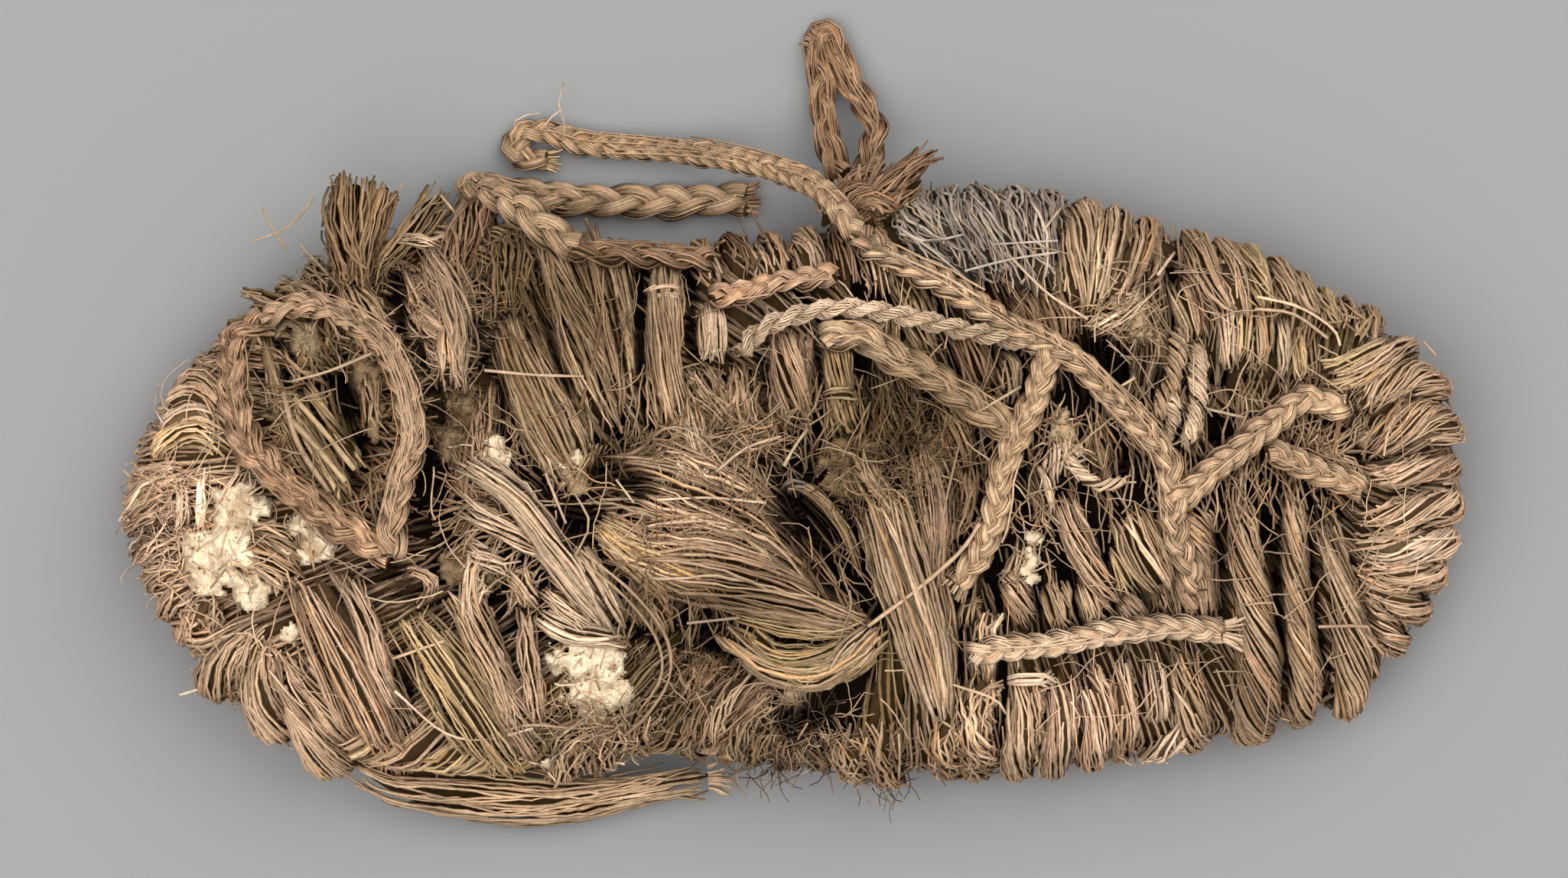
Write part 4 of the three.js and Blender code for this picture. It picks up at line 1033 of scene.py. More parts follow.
def core_sag(x, y):
    d = np.hypot((np.asarray(x) + 88) / 11.5, (np.asarray(y) - 15) / 17.0)
    return 13.0 * np.clip(1.3 - d, 0, 0.5) / 0.5


def wall_side(by, z):
    p = OUTLINE[_k] - OUTWARD[_k] * by
    return np.column_stack([p, z + spring(p[:, 0])])


core = stack("wall_core", [wall_side(7.5, 14.6), wall_side(5.2, 14.8), wall_side(4.6, 18), wall_side(5.0, 23)]
             + [wall_loop(t, v) for t, v in ((0.16, 5.4), (0.24, 6.4), (0.32, 7.2), (0.4, 7.8), (0.48, 8), (0.56, 8), (0.64, 8), (0.72, 8), (0.8, 8), (0.88, 8), (0.95, 8), (1.0, 8))]
             + [wall_loop(t, v) for t, v in ((1.0, 10.4), (0.92, 10.4), (0.82, 10.4), (0.72, 10.4), (0.62, 10.4), (0.52, 10.4), (0.42, 10.2), (0.32, 9.6), (0.22, 8.6))]
             + [wall_side(8.4, 22)], CORE, (0.030, 0.020, 0.011), close=False)
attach(core, "root")
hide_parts("upper")

# ---------------------------------------------------------------- the charted bundles
# at: the bundle's line in plan, mm in the row frame; wide: half widths along it; rim: it starts under the sole's
# edge; lift: above or below the wall's skin; tw: turns of its twist; mess: how far its stems stray.
BUNDLES = [
    row(at=[(-131.4, -0.5), (-125.9, 1.8), (-118.5, 4.1)], wide=[2.2, 2.4, 2.1], rim=1, col='tan', mess=0.5),
    row(at=[(-131.2, -5.4), (-125.4, -4.3), (-117.3, -2.8)], wide=[2.4, 2.6, 2.3], rim=1, col='tan', mess=0.5),
    row(at=[(-129.7, -10.9), (-123.6, -9.7), (-117.3, -9.1)], wide=[2.4, 2.6, 2.3], rim=1, col='tan', mess=0.5),
    row(at=[(-127.2, -16.3), (-121.9, -14.9), (-115.6, -13.7)], wide=[2.4, 2.6, 2.3], rim=1, col='tan', mess=0.5),
    row(at=[(-124.5, -22.3), (-120.2, -19.5), (-115.0, -16.0)], wide=[2.4, 2.8, 2.3], rim=1, col='pink', mess=0.4),
    row(at=[(-120.5, -27.2), (-116.8, -23.2), (-114.5, -18.3)], wide=[2.5, 2.8, 2.1], rim=1, col='tan', mess=0.4),
    row(at=[(-116.2, -28.7), (-113.3, -24.1), (-111.6, -19.5)], wide=[1.7, 2.0, 1.5], rim=1, col='tan', mess=0.4),
    row(at=[(-115.3, -37.8), (-112.7, -34.1), (-108.1, -28.9), (-103.0, -25.2)], wide=[3.7, 4.1, 3.0, 1.6], rim=1, col='tan', mess=0.35),
    row(at=[(-110.4, -37.8), (-108.1, -33.2), (-104.7, -28.7), (-103.0, -25.8)], wide=[2.8, 3.0, 2.4, 1.4], rim=1, col='tan', mess=0.3),
    row(at=[(-103.0, -45.6), (-103.6, -37.8), (-103.3, -31.5), (-102.4, -26.4)], wide=[4.5, 4.8, 3.4, 2.1], rim=1, col='tan', mess=0.3),
    row(at=[(-91.5, -53.0), (-94.4, -43.6), (-97.8, -35.5), (-100.7, -28.7)], wide=[4.8, 4.7, 3.8, 2.3], rim=1, col='tan', mess=0.35),
    row(at=[(-86.9, -49.3), (-89.8, -42.4), (-94.4, -35.5), (-99.0, -28.7)], wide=[2.9, 3.2, 2.9, 2.0], rim=1, col='tan', lift=-1, mess=0.35),
    row(at=[(-79.4, -48.5), (-84.9, -35.5), (-89.8, -24.1), (-94.4, -13.7)], wide=[6.8, 7.6, 7.1, 5.3], rim=1, col='pink', t=4.2, mess=0.25, lift=1.2),
    row(at=[(-75.4, -43.6), (-80.6, -34.4), (-82.9, -24.1), (-86.9, -13.7)], wide=[2.3, 2.8, 2.6, 1.7], col='pink', t=2.5, mess=0.3, lift=1.8),
    row(at=[(-55.9, -51.6), (-61.7, -41.9), (-68.0, -31.5), (-74.3, -21.8)], wide=[6.3, 7.3, 6.4, 3.6], rim=1, col='yellow', t=4, mess=0.3, lift=0.6),
    row(at=[(-50.7, -49.3), (-55.9, -39.0), (-59.9, -28.7), (-63.4, -24.1)], wide=[3.4, 3.8, 3.1, 1.7], col='pink', t=3, mess=0.35, lift=0.4),
    row(at=[(-73.1, -20.6), (-69.7, -16.6), (-72.6, -13.7), (-76.6, -14.3)], wide=[1.3, 1.5, 1.4, 0.9], col='pink', t=1.5, lift=1),
    row(at=[(-62.8, -24.1), (-63.1, -16.6), (-61.7, -10.9)], wide=[2.0, 2.0, 1.1], col='light', t=2, lift=2),
    row(at=[(-105.8, -9.1), (-101.3, -12.6), (-97.8, -16.0)], wide=[3.4, 3.8, 2.9], col='tan', t=2.5, mess=0.6, lift=0.4),
    row(at=[(-104.7, -5.1), (-100.1, -6.8), (-96.1, -10.9)], wide=[2.1, 2.3, 2.0], col='tan', t=2, mess=0.7, lift=0.6),
    row(at=[(-116.2, -6.3), (-115.6, -0.5), (-115.0, 5.8)], wide=[1.1, 1.3, 1.0], col='light', t=1.5, mess=0.4, lift=1),
    row(at=[(-120.2, -6.8), (-119.3, -1.7), (-119.1, 3.5)], wide=[1.0, 1.1, 0.9], col='light', t=1.5, mess=0.4, lift=1),
    row(at=[(-111.6, -1.7), (-109.3, 2.9), (-106.4, 6.4)], wide=[1.0, 1.3, 1.0], col='tan', t=1.5, mess=0.4, lift=1),
    row(at=[(-131.7, -3.1), (-126.5, -1.4), (-119.6, -0.2)], wide=[2.3, 2.5, 2.1], rim=1, col='tan', mess=0.5),
    row(at=[(-130.2, 2.1), (-125.4, 2.6), (-119.1, 3.2)], wide=[2.1, 2.3, 2.0], rim=1, col='tan', mess=0.5),
    row(at=[(-127.9, 5.5), (-123.6, 5.8), (-118.5, 5.5)], wide=[2.0, 2.1, 1.7], rim=1, col='tan', mess=0.45),
    row(at=[(-125.2, 9.0), (-121.3, 12.1), (-115.6, 13.0), (-109.3, 8.4)], wide=[2.5, 3.2, 3.1, 2.0], rim=1, col='yellow', mess=0.25),
    row(at=[(-124.5, 13.0), (-120.2, 16.1), (-114.5, 16.4), (-109.0, 11.5)], wide=[2.0, 2.3, 2.2, 1.5], rim=1, col='light', mess=0.25, lift=0.8),
    row(at=[(-123.1, 17.6), (-118.5, 20.4), (-114.5, 18.1), (-109.9, 10.7)], wide=[2.3, 2.6, 2.4, 2.0], rim=1, col='tan', mess=0.3),
    row(at=[(-120.5, 22.7), (-115.6, 23.9), (-112.2, 18.7), (-109.0, 13.0)], wide=[2.3, 2.5, 2.3, 1.7], rim=1, col='pink', mess=0.35),
    row(at=[(-117.3, 27.0), (-113.3, 26.2), (-110.4, 22.2)], wide=[2.3, 2.5, 2.1], rim=1, col='tan', mess=0.6),
    row(at=[(-113.3, 30.8), (-109.9, 29.1), (-108.1, 25.6)], wide=[2.2, 2.3, 1.8], rim=1, col='tan', mess=0.6),
    row(at=[(-109.9, 35.4), (-105.8, 33.6), (-103.6, 30.2)], wide=[2.2, 2.3, 1.8], rim=1, col='yellow', mess=0.5),
    row(at=[(-105.3, 39.4), (-101.3, 37.1), (-99.0, 33.6)], wide=[2.1, 2.2, 1.8], rim=1, col='tan', mess=0.5),
    row(at=[(-100.1, 42.8), (-96.1, 40.5), (-94.4, 37.1)], wide=[2.3, 2.4, 2.0], rim=1, col='yellow', mess=0.7),
    row(at=[(-94.9, 46.3), (-92.1, 42.8), (-89.8, 39.4)], wide=[2.3, 2.4, 2.0], rim=1, col='tan', mess=0.7),
    row(at=[(-85.2, 62.6), (-87.2, 56.0), (-87.2, 49.1), (-85.8, 42.3)], wide=[4.6, 4.6, 4.0, 2.9], col='moss', t=6, mess=0.6, lift=4, stub=1),
    row(at=[(-79.4, 61.8), (-82.9, 54.3), (-85.2, 46.3), (-85.8, 40.5)], wide=[3.2, 3.2, 2.8, 2.0], col='moss', t=5, mess=0.7, lift=3, stub=1),
    row(at=[(-69.1, 60.6), (-72.6, 53.7), (-78.3, 48.0), (-82.9, 43.4)], wide=[4.0, 3.7, 2.6, 1.6], col='olive', t=4, mess=0.5, lift=1),
    row(at=[(-61.1, 58.3), (-63.9, 52.0), (-66.8, 45.1), (-68.0, 39.4)], wide=[4.0, 4.4, 3.8, 2.9], rim=1, col='brown', mess=0.6),
    row(at=[(-54.2, 53.2), (-55.3, 46.3), (-56.5, 39.4), (-57.6, 32.5)], wide=[4.0, 4.4, 3.8, 2.9], rim=1, col='olive', mess=0.8, lift=-1),
    row(at=[(-85.8, 41.1), (-81.2, 35.9), (-79.4, 30.2), (-77.7, 24.5)], wide=[2.5, 2.9, 2.5, 1.7], col='tan', t=2.5, mess=0.4, lift=0.4),
    row(at=[(-103.6, 33.6), (-100.7, 22.7), (-94.9, 13.0), (-89.8, 3.2)], wide=[1.3, 1.6, 1.7, 1.7], col='olive', t=2.4, mess=0.25, lift=-1.5),
    row(at=[(-100.1, 22.2), (-96.7, 13.6), (-91.5, 6.1), (-87.5, -0.8)], wide=[2.1, 2.4, 2.5, 2.6], col='yellow', t=3, mess=0.25, lift=-2),
    row(at=[(-95.5, 22.7), (-90.9, 16.4), (-86.3, 10.1), (-83.5, 6.1)], wide=[1.0, 1.3, 1.3, 1.0], col='yellow', t=1.8, mess=0.2, lift=-1),
    row(at=[(-90.4, 24.5), (-89.8, 17.6), (-87.5, 10.7), (-85.2, 3.8)], wide=[2.1, 2.4, 2.5, 2.3], col='olive', t=3, mess=0.3, lift=-5),
    row(at=[(-86.3, 33.6), (-86.9, 25.6), (-85.2, 18.7), (-82.9, 13.0)], wide=[2.3, 2.6, 2.3, 1.7], col='olive', t=2.6, mess=0.5, lift=-4),
    row(at=[(-82.9, 24.5), (-82.3, 18.7), (-82.9, 13.0)], wide=[2.0, 2.3, 1.7], col='tan', t=2.4, mess=0.7, lift=-1),
    row(at=[(-70.0, 48.0), (-66.8, 39.4), (-66.2, 31.3), (-67.1, 21.0)], wide=[3.4, 4.5, 4.4, 2.9], col='pink', t=4, mess=0.6, lift=2.4),
    row(at=[(-65.7, 35.9), (-67.4, 30.2), (-68.0, 25.6)], wide=[2.3, 2.6, 2.0], col='light', t=2.6, mess=0.4, lift=3.6),
    row(at=[(-75.4, 44.0), (-74.3, 38.2), (-72.0, 31.3)], wide=[2.3, 2.6, 2.1], col='tan', t=2.6, mess=0.5, lift=0.8),
    row(at=[(-78.3, 50.9), (-73.7, 50.9), (-69.1, 48.6)], wide=[1.1, 1.5, 1.3], col='light', t=1.8, mess=0.6, lift=2),
    row(at=[(-55.3, 35.9), (-53.6, 29.1), (-50.3, 22.2)], wide=[2.0, 2.3, 2.2], col='tan', t=2.6, mess=0.3, lift=-0.5),
    row(at=[(-54.2, 23.3), (-52.5, 16.4), (-50.3, 10.7)], wide=[1.7, 2.0, 2.0], col='tan', t=2.6, mess=0.3, lift=-0.5),
    row(at=[(-48.6, 51.8), (-45.2, 40.6), (-40.6, 29.1), (-36.6, 18.2)], wide=[3.0, 3.8, 4.1, 3.2], rim=1, col='pink', t=3.4, mess=0.3, lift=0.2),
    row(at=[(-40.0, 51.8), (-37.2, 42.9), (-34.0, 32.0), (-29.7, 19.4)], wide=[2.9, 3.4, 3.6, 2.9], rim=1, col='tan', t=3.4, mess=0.22, lift=0.8),
    row(at=[(-33.1, 50.9), (-31.4, 40.6), (-30.6, 30.3), (-30.2, 21.1)], wide=[2.3, 2.5, 2.4, 2.0], rim=1, col='pink', t=3.2, mess=0.2, lift=0.8),
    row(at=[(-44.1, 50.9), (-40.6, 40.6), (-36.6, 30.3), (-33.1, 21.1)], wide=[2.3, 2.5, 2.6, 2.3], col='olive', t=3.2, mess=0.3, lift=-0.2),
    row(at=[(-56.7, 34.9), (-52.7, 25.1), (-46.9, 14.2), (-42.9, 3.9)], wide=[2.6, 3.3, 3.3, 2.0], col='tan', t=3.2, mess=0.22, lift=-0.5),
    row(at=[(-55.5, 25.1), (-52.1, 16.5), (-47.5, 8.5), (-44.1, 2.7)], wide=[1.5, 1.8, 2.0, 1.4], col='light', t=2.4, mess=0.25, lift=0.3),
    row(at=[(-52.1, 33.7), (-46.9, 23.4), (-42.3, 14.2), (-39.5, 6.7)], wide=[2.6, 3.0, 2.8, 1.7], col='tan', t=3, mess=0.3, lift=-0.8),
    row(at=[(-54.4, 46.3), (-50.4, 37.2), (-45.8, 28.0), (-41.2, 19.9)], wide=[2.6, 3.2, 3.2, 2.5], col='olive', t=3, mess=0.3, lift=-1),
    row(at=[(-43.5, 2.2), (-41.2, 5.0), (-38.0, 10.2)], wide=[2.6, 2.5, 1.5], col='yellow', t=3.4, mess=0.5, lift=0.4),
    row(at=[(-25.1, 48.6), (-24.8, 37.2), (-24.4, 25.7), (-22.5, 15.4)], wide=[2.9, 3.2, 3.3, 2.9], rim=1, col='tan', t=5, mess=0.2, lift=1.4),
    row(at=[(-15.5, 37.2), (-15.2, 32.0), (-15.8, 26.8)], wide=[2.4, 2.6, 2.0], col='light', t=3.2, mess=0.25, lift=1.2),
    row(at=[(-1.6, 33.1), (-1.3, 25.7), (-0.1, 16.5)], wide=[2.8, 3.0, 2.5], col='pink', t=3, mess=0.3, lift=-3),
    row(at=[(3.0, 33.7), (3.0, 25.1), (3.6, 18.2)], wide=[2.0, 2.2, 1.7], col='pink', t=2.6, mess=0.3, lift=-3.4),
    row(at=[(8.8, 32.0), (9.0, 25.1), (9.6, 19.9)], wide=[3.3, 3.2, 2.3], col='tan', t=4, mess=0.2, lift=-2.4),
    row(at=[(9.3, 20.5), (9.9, 16.5), (9.9, 10.8)], wide=[2.0, 2.4, 1.7], col='olive', t=3, mess=0.5, lift=-3),
    row(at=[(-11.9, 51.5), (-10.8, 47.5), (-10.2, 42.9)], wide=[3.4, 3.8, 2.9], rim=1, col='brown', t=2.6, mess=0.35, lift=0),
    row(at=[(-4.4, 51.5), (-3.9, 47.5), (-3.3, 41.8)], wide=[3.2, 3.6, 2.9], rim=1, col='tan', t=2.6, mess=0.3),
    row(at=[(2.4, 52.7), (3.0, 47.5), (3.6, 41.2)], wide=[2.9, 3.2, 2.9], rim=1, col='pink', t=2.6, mess=0.3),
    row(at=[(8.8, 53.8), (9.9, 47.5), (11.1, 40.6)], wide=[2.9, 3.2, 2.9], rim=1, col='brown', t=2.6, mess=0.3),
    row(at=[(15.1, 54.4), (16.8, 47.5), (17.9, 39.5)], wide=[2.9, 3.4, 2.9], rim=1, col='tan', t=2.6, mess=0.3),
    row(at=[(-18.2, 50.9), (-16.5, 45.8), (-15.9, 40.6)], wide=[2.3, 2.6, 2.3], rim=1, col='tan', t=2.6, mess=0.3),
    row(at=[(-19.4, 25.7), (-16.5, 19.9), (-13.6, 15.4)], wide=[4.0, 4.6, 3.4], col='tan', t=2.5, mess=0.9, lift=-2),
    row(at=[(-19.4, 18.2), (-18.5, 11.9), (-17.6, 3.9)], wide=[2.2, 2.5, 1.7], col='light', t=3, mess=0.3, lift=0.4),
    row(at=[(-29.7, 22.8), (-28.6, 16.5), (-28.6, 9.0)], wide=[3.4, 3.8, 3.2], col='olive', t=2.5, mess=0.9, lift=-3),
    row(at=[(-9.0, 25.7), (-10.2, 19.9), (-11.3, 14.8)], wide=[3.0, 3.4, 2.9], col='pink', t=2.5, mess=0.8, lift=-2),
    row(at=[(17.9, 25.7), (16.8, 17.1), (17.4, 8.5)], wide=[3.4, 4.0, 3.4], col='olive', t=2.5, mess=1.2, lift=-4),
    row(at=[(24.1, 59.8), (24.1, 54.4), (26.9, 48.6), (31.5, 43.5)], wide=[3.4, 4.1, 4.1, 3.2], rim=1, col='grey', t=3.4, mess=1.0),
    row(at=[(30.4, 60.4), (30.4, 54.4), (32.7, 48.1), (36.1, 41.8)], wide=[3.6, 4.1, 4.0, 3.2], rim=1, col='grey', t=3.4, mess=1.0),
    row(at=[(37.3, 60.7), (36.7, 54.4), (38.4, 48.1), (40.7, 41.2)], wide=[3.6, 4.1, 4.0, 3.2], rim=1, col='grey', t=3.4, mess=0.9),
    row(at=[(44.2, 60.6), (43.0, 53.8), (43.6, 46.9), (45.3, 40.6)], wide=[3.4, 4.0, 3.8, 2.9], rim=1, col='grey', t=3.4, mess=0.8),
    row(at=[(50.5, 60.1), (48.7, 53.8), (48.2, 46.3), (48.7, 39.5)], wide=[3.2, 3.6, 3.2, 2.6], rim=1, col='grey', t=3.4, mess=0.7),
    row(at=[(58.5, 57.3), (56.5, 50.9), (55.3, 43.5), (55.1, 35.4)], wide=[3.8, 4.0, 3.7, 3.1], rim=1, col='tan', t=4, mess=0.12, lift=1),
    row(at=[(64.8, 56.4), (61.7, 49.8), (59.6, 42.9), (57.9, 36.0)], wide=[3.3, 3.6, 3.1, 2.3], rim=1, col='tan', t=3.8, mess=0.14, lift=0.6),
    row(at=[(70.6, 54.4), (67.1, 47.5), (64.2, 42.3), (61.4, 37.7)], wide=[3.2, 3.3, 2.8, 2.0], rim=1, col='pink', t=3.6, mess=0.2, lift=0.4),
    row(at=[(73.1, 50.9), (71.7, 45.2), (68.8, 41.8)], wide=[1.7, 2.0, 1.6], rim=1, col='pink', t=3, mess=0.25),
    row(at=[(51.0, 39.5), (52.2, 32.6), (49.9, 28.0)], wide=[3.4, 3.4, 2.3], col='brown', t=2.5, mess=0.4, lift=-1),
    row(at=[(44.2, 39.5), (46.4, 33.7), (47.6, 29.1)], wide=[2.9, 2.9, 2.3], col='brown', t=2.5, mess=0.4, lift=-1.5),
    row(at=[(24.1, 39.5), (25.2, 32.6), (26.4, 28.0)], wide=[3.4, 3.4, 2.6], col='olive', t=2.5, mess=0.5, lift=-3),
    row(at=[(33.8, 32.6), (35.5, 26.8), (37.3, 21.1)], wide=[3.4, 3.4, 2.6], col='brown', t=2.5, mess=0.5, lift=-3.5),
    row(at=[(41.9, 28.0), (43.0, 24.5), (41.9, 19.9)], wide=[2.3, 2.5, 1.7], col='pink', t=2, mess=0.5, lift=-2),
    row(at=[(20.0, 37.2), (21.2, 19.9), (24.6, 9.6)], wide=[4.0, 4.6, 3.4], col='olive', t=2.5, mess=1.2, lift=-5),
    row(at=[(57.9, 32.6), (64.8, 35.4), (70.6, 39.5)], wide=[1.5, 2.0, 1.7], col='light', t=2, mess=0.6, lift=1),
    row(at=[(70.6, 33.7), (69.4, 26.8), (67.1, 19.9)], wide=[2.3, 2.5, 2.0], col='pink', t=2.6, mess=0.5, lift=-2),
    row(at=[(75.7, 33.7), (75.1, 26.8), (72.9, 19.9), (70.6, 14.8)], wide=[2.0, 2.2, 2.1, 1.4], col='tan', t=2.6, mess=0.25, lift=1.4, tw=0.8),
    row(at=[(79.7, 31.4), (79.2, 24.0), (79.2, 16.5), (75.7, 9.0)], wide=[2.0, 2.2, 2.1, 1.5], col='light', t=2.6, mess=0.25, lift=1.6, tw=0.8),
    row(at=[(73.4, 22.2), (74.6, 17.1), (74.0, 12.5)], wide=[1.6, 1.8, 1.4], col='light', t=2.4, mess=0.2, lift=1.2, tw=0.6),
    row(at=[(75.7, 41.8), (77.4, 36.0), (78.6, 30.3)], wide=[2.5, 2.9, 2.3], col='tan', t=3, mess=0.3, lift=0.2),
    row(at=[(79.5, 52.1), (80.0, 46.6), (82.2, 40.3), (85.5, 35.1)], wide=[3.1, 3.4, 3.0, 2.1], rim=1, col='tan', t=4.2, mess=0.18, lift=0.6),
    row(at=[(75.5, 48.0), (78.8, 43.2), (80.7, 37.5), (82.2, 31.7)], wide=[1.4, 1.9, 2.1, 1.7], rim=1, col='pink', t=3.4, mess=0.25, lift=0.2),
    row(at=[(85.5, 50.9), (86.2, 45.6), (87.4, 39.9), (88.4, 34.6)], wide=[2.8, 3.2, 2.7, 1.9], rim=1, col='tan', t=4.2, mess=0.18, lift=0.6),
    row(at=[(90.8, 49.7), (91.2, 45.1), (92.2, 40.8), (93.6, 37.0)], wide=[2.7, 2.9, 2.4, 1.7], rim=1, col='yellow', t=4, mess=0.2, lift=0.6),
    row(at=[(96.0, 47.3), (96.5, 43.2), (97.5, 39.4), (98.9, 36.5)], wide=[2.6, 2.7, 2.2, 1.5], rim=1, col='tan', t=4, mess=0.2, lift=0.5),
    row(at=[(100.8, 44.6), (100.8, 40.8), (101.8, 37.5), (103.2, 34.6)], wide=[2.4, 2.5, 2.0, 1.4], rim=1, col='tan', t=3.8, mess=0.25, lift=0.5),
    row(at=[(105.4, 41.3), (105.4, 37.9), (106.1, 35.1), (107.0, 32.2)], wide=[2.2, 2.3, 1.9, 1.3], rim=1, col='yellow', t=3.6, mess=0.35, lift=0.5),
    row(at=[(109.9, 39.4), (109.4, 36.0), (109.4, 32.7)], wide=[2.3, 2.4, 1.7], rim=1, col='tan', t=3.4, mess=0.6, lift=0.6),
    row(at=[(114.7, 37.5), (113.2, 33.6), (112.3, 29.8)], wide=[2.5, 2.6, 1.9], rim=1, col='tan', t=3.4, mess=0.6, lift=0.6),
    row(at=[(85.5, 37.5), (85.7, 31.7), (85.3, 25.5)], wide=[2.3, 2.5, 1.7], col='light', t=3.4, mess=0.15, lift=0.2),
    row(at=[(88.8, 37.5), (88.6, 32.7), (87.7, 26.9)], wide=[1.6, 1.7, 1.2], col='yellow', t=3, mess=0.15, lift=0.2),
    row(at=[(92.7, 37.0), (92.4, 30.8), (91.2, 25.0)], wide=[2.1, 2.2, 1.6], col='tan', t=3.2, mess=0.2, lift=-0.5),
    row(at=[(96.5, 35.6), (96.5, 29.8), (96.0, 23.6)], wide=[1.4, 1.6, 1.2], col='light', t=2.8, mess=0.2, lift=-0.6),
    row(at=[(99.4, 33.6), (99.4, 28.4), (99.4, 22.6)], wide=[1.6, 1.7, 1.3], col='yellow', t=2.8, mess=0.25, lift=-1),
    row(at=[(102.7, 32.2), (102.7, 27.4), (102.2, 22.6)], wide=[1.3, 1.5, 1.1], col='tan', t=2.6, mess=0.3, lift=-1),
    row(at=[(117.1, 30.8), (110.4, 27.9), (103.7, 25.0)], wide=[1.6, 1.7, 1.2], col='yellow', t=2, mess=0.35, lift=1.2),
    row(at=[(117.6, 27.4), (110.9, 23.6), (104.2, 22.4)], wide=[1.4, 1.5, 1.1], col='yellow', t=2, mess=0.2, lift=1.6),
    row(at=[(122.3, 31.0), (119.0, 26.9), (116.1, 22.2), (114.2, 17.4)], wide=[2.9, 3.3, 2.9, 1.9], rim=1, col='tan', t=4, mess=0.3, lift=0.4),
    row(at=[(126.4, 26.0), (122.3, 23.1), (118.0, 19.3), (114.7, 15.0)], wide=[2.9, 3.2, 2.7, 1.9], rim=1, col='tan', t=4, mess=0.25, lift=0.6),
    row(at=[(129.0, 19.8), (123.8, 17.9), (118.5, 15.0), (114.2, 11.6)], wide=[3.1, 3.3, 2.9, 2.0], rim=1, col='light', t=4.2, mess=0.2, lift=1),
    row(at=[(130.1, 14.0), (124.7, 12.6), (119.0, 10.7), (113.7, 9.2)], wide=[2.9, 3.2, 2.8, 1.9], rim=1, col='light', t=4.2, mess=0.2, lift=1),
    row(at=[(130.7, 9.2), (125.2, 8.3), (119.0, 7.3), (112.8, 7.3)], wide=[2.6, 2.9, 2.6, 1.8], rim=1, col='tan', t=4, mess=0.2, lift=0.6),
    row(at=[(131.4, 4.9), (125.2, 4.0), (119.0, 3.5), (112.8, 4.5)], wide=[2.4, 2.7, 2.4, 1.7], rim=1, col='tan', t=4, mess=0.25, lift=0.4),
    row(at=[(108.9, 17.4), (107.0, 13.1), (106.1, 7.8)], wide=[1.9, 1.9, 1.4], col='brown', t=2.6, mess=0.4, lift=-5),
    row(at=[(111.8, 16.4), (110.9, 11.6), (111.8, 6.8)], wide=[1.8, 1.9, 1.6], col='pink', t=2.6, mess=0.4, lift=-2),
    row(at=[(82.6, 22.2), (84.1, 18.3), (87.4, 15.9)], wide=[1.9, 2.1, 1.6], col='brown', t=2.6, mess=0.5, lift=-3),
    row(at=[(87.9, 22.2), (89.8, 18.3), (90.8, 16.4)], wide=[1.9, 2.1, 1.6], col='olive', t=2.6, mess=0.5, lift=-3),
    row(at=[(131.2, 3.9), (125.7, 2.5), (119.5, 1.6), (112.8, 2.5)], wide=[2.3, 2.5, 2.4, 1.7], rim=1, col='tan', t=4, mess=0.25, lift=0.4),
    row(at=[(130.5, -0.8), (125.2, -1.3), (119.0, -1.8), (112.8, -0.8)], wide=[2.4, 2.6, 2.4, 1.7], rim=1, col='yellow', t=4, mess=0.2, lift=0.6),
    row(at=[(129.7, -5.6), (124.2, -5.1), (118.5, -4.7), (112.3, -3.7)], wide=[2.4, 2.6, 2.4, 1.7], rim=1, col='tan', t=4, mess=0.22, lift=0.6),
    row(at=[(129.3, -9.9), (123.8, -9.0), (118.5, -8.0), (112.8, -6.1)], wide=[2.2, 2.4, 2.2, 1.6], rim=1, col='tan', t=4, mess=0.25, lift=0.4),
    row(at=[(128.8, -14.2), (123.8, -12.8), (119.0, -11.4), (113.7, -9.0)], wide=[2.2, 2.4, 2.2, 1.6], rim=1, col='pink', t=4, mess=0.28, lift=0.4),
    row(at=[(126.6, -18.5), (122.3, -16.6), (118.0, -14.7), (114.2, -11.4)], wide=[2.2, 2.4, 2.2, 1.6], rim=1, col='tan', t=4, mess=0.28, lift=0.4),
    row(at=[(125.7, -22.8), (121.9, -20.5), (118.0, -17.6), (113.7, -13.3)], wide=[2.2, 2.4, 2.2, 1.5], rim=1, col='tan', t=4, mess=0.3, lift=0.4),
    row(at=[(122.8, -27.1), (119.5, -23.8), (116.1, -19.5), (112.8, -14.2)], wide=[2.2, 2.4, 2.2, 1.5], rim=1, col='pink', t=4, mess=0.3, lift=0.3),
    row(at=[(119.0, -30.5), (116.6, -26.7), (114.2, -21.4), (111.8, -16.6)], wide=[2.0, 2.2, 2.1, 1.5], rim=1, col='tan', t=4, mess=0.3, lift=0.2),
    row(at=[(91.2, -46.3), (91.5, -36.7), (91.5, -28.6), (90.3, -20.0), (88.6, -10.4), (87.4, 2.0)], wide=[4.4, 5.0, 4.6, 3.4, 3.2, 3.3], rim=1, col='tan', t=5.2, mess=0.12, lift=1, tw=0.55),
    row(at=[(100.8, -43.2), (101.0, -35.3), (100.3, -27.1), (99.1, -17.6), (98.4, -7.5), (98.4, 3.0)], wide=[3.4, 3.6, 3.3, 2.8, 2.7, 2.8], rim=1, col='tan', t=4.8, mess=0.12, lift=1, tw=0.6),
    row(at=[(110.4, -41.5), (110.4, -33.4), (109.7, -25.7), (108.0, -17.6), (106.1, -9.4), (104.2, -0.4)], wide=[4.0, 4.2, 3.8, 3.2, 2.6, 2.0], rim=1, col='tan', t=4.8, mess=0.15, lift=0.8, tw=0.35),
    row(at=[(115.2, -35.8), (114.2, -30.5), (112.8, -24.8), (110.4, -18.1)], wide=[1.9, 2.2, 2.1, 1.4], rim=1, col='pink', t=3.6, mess=0.3, lift=0),
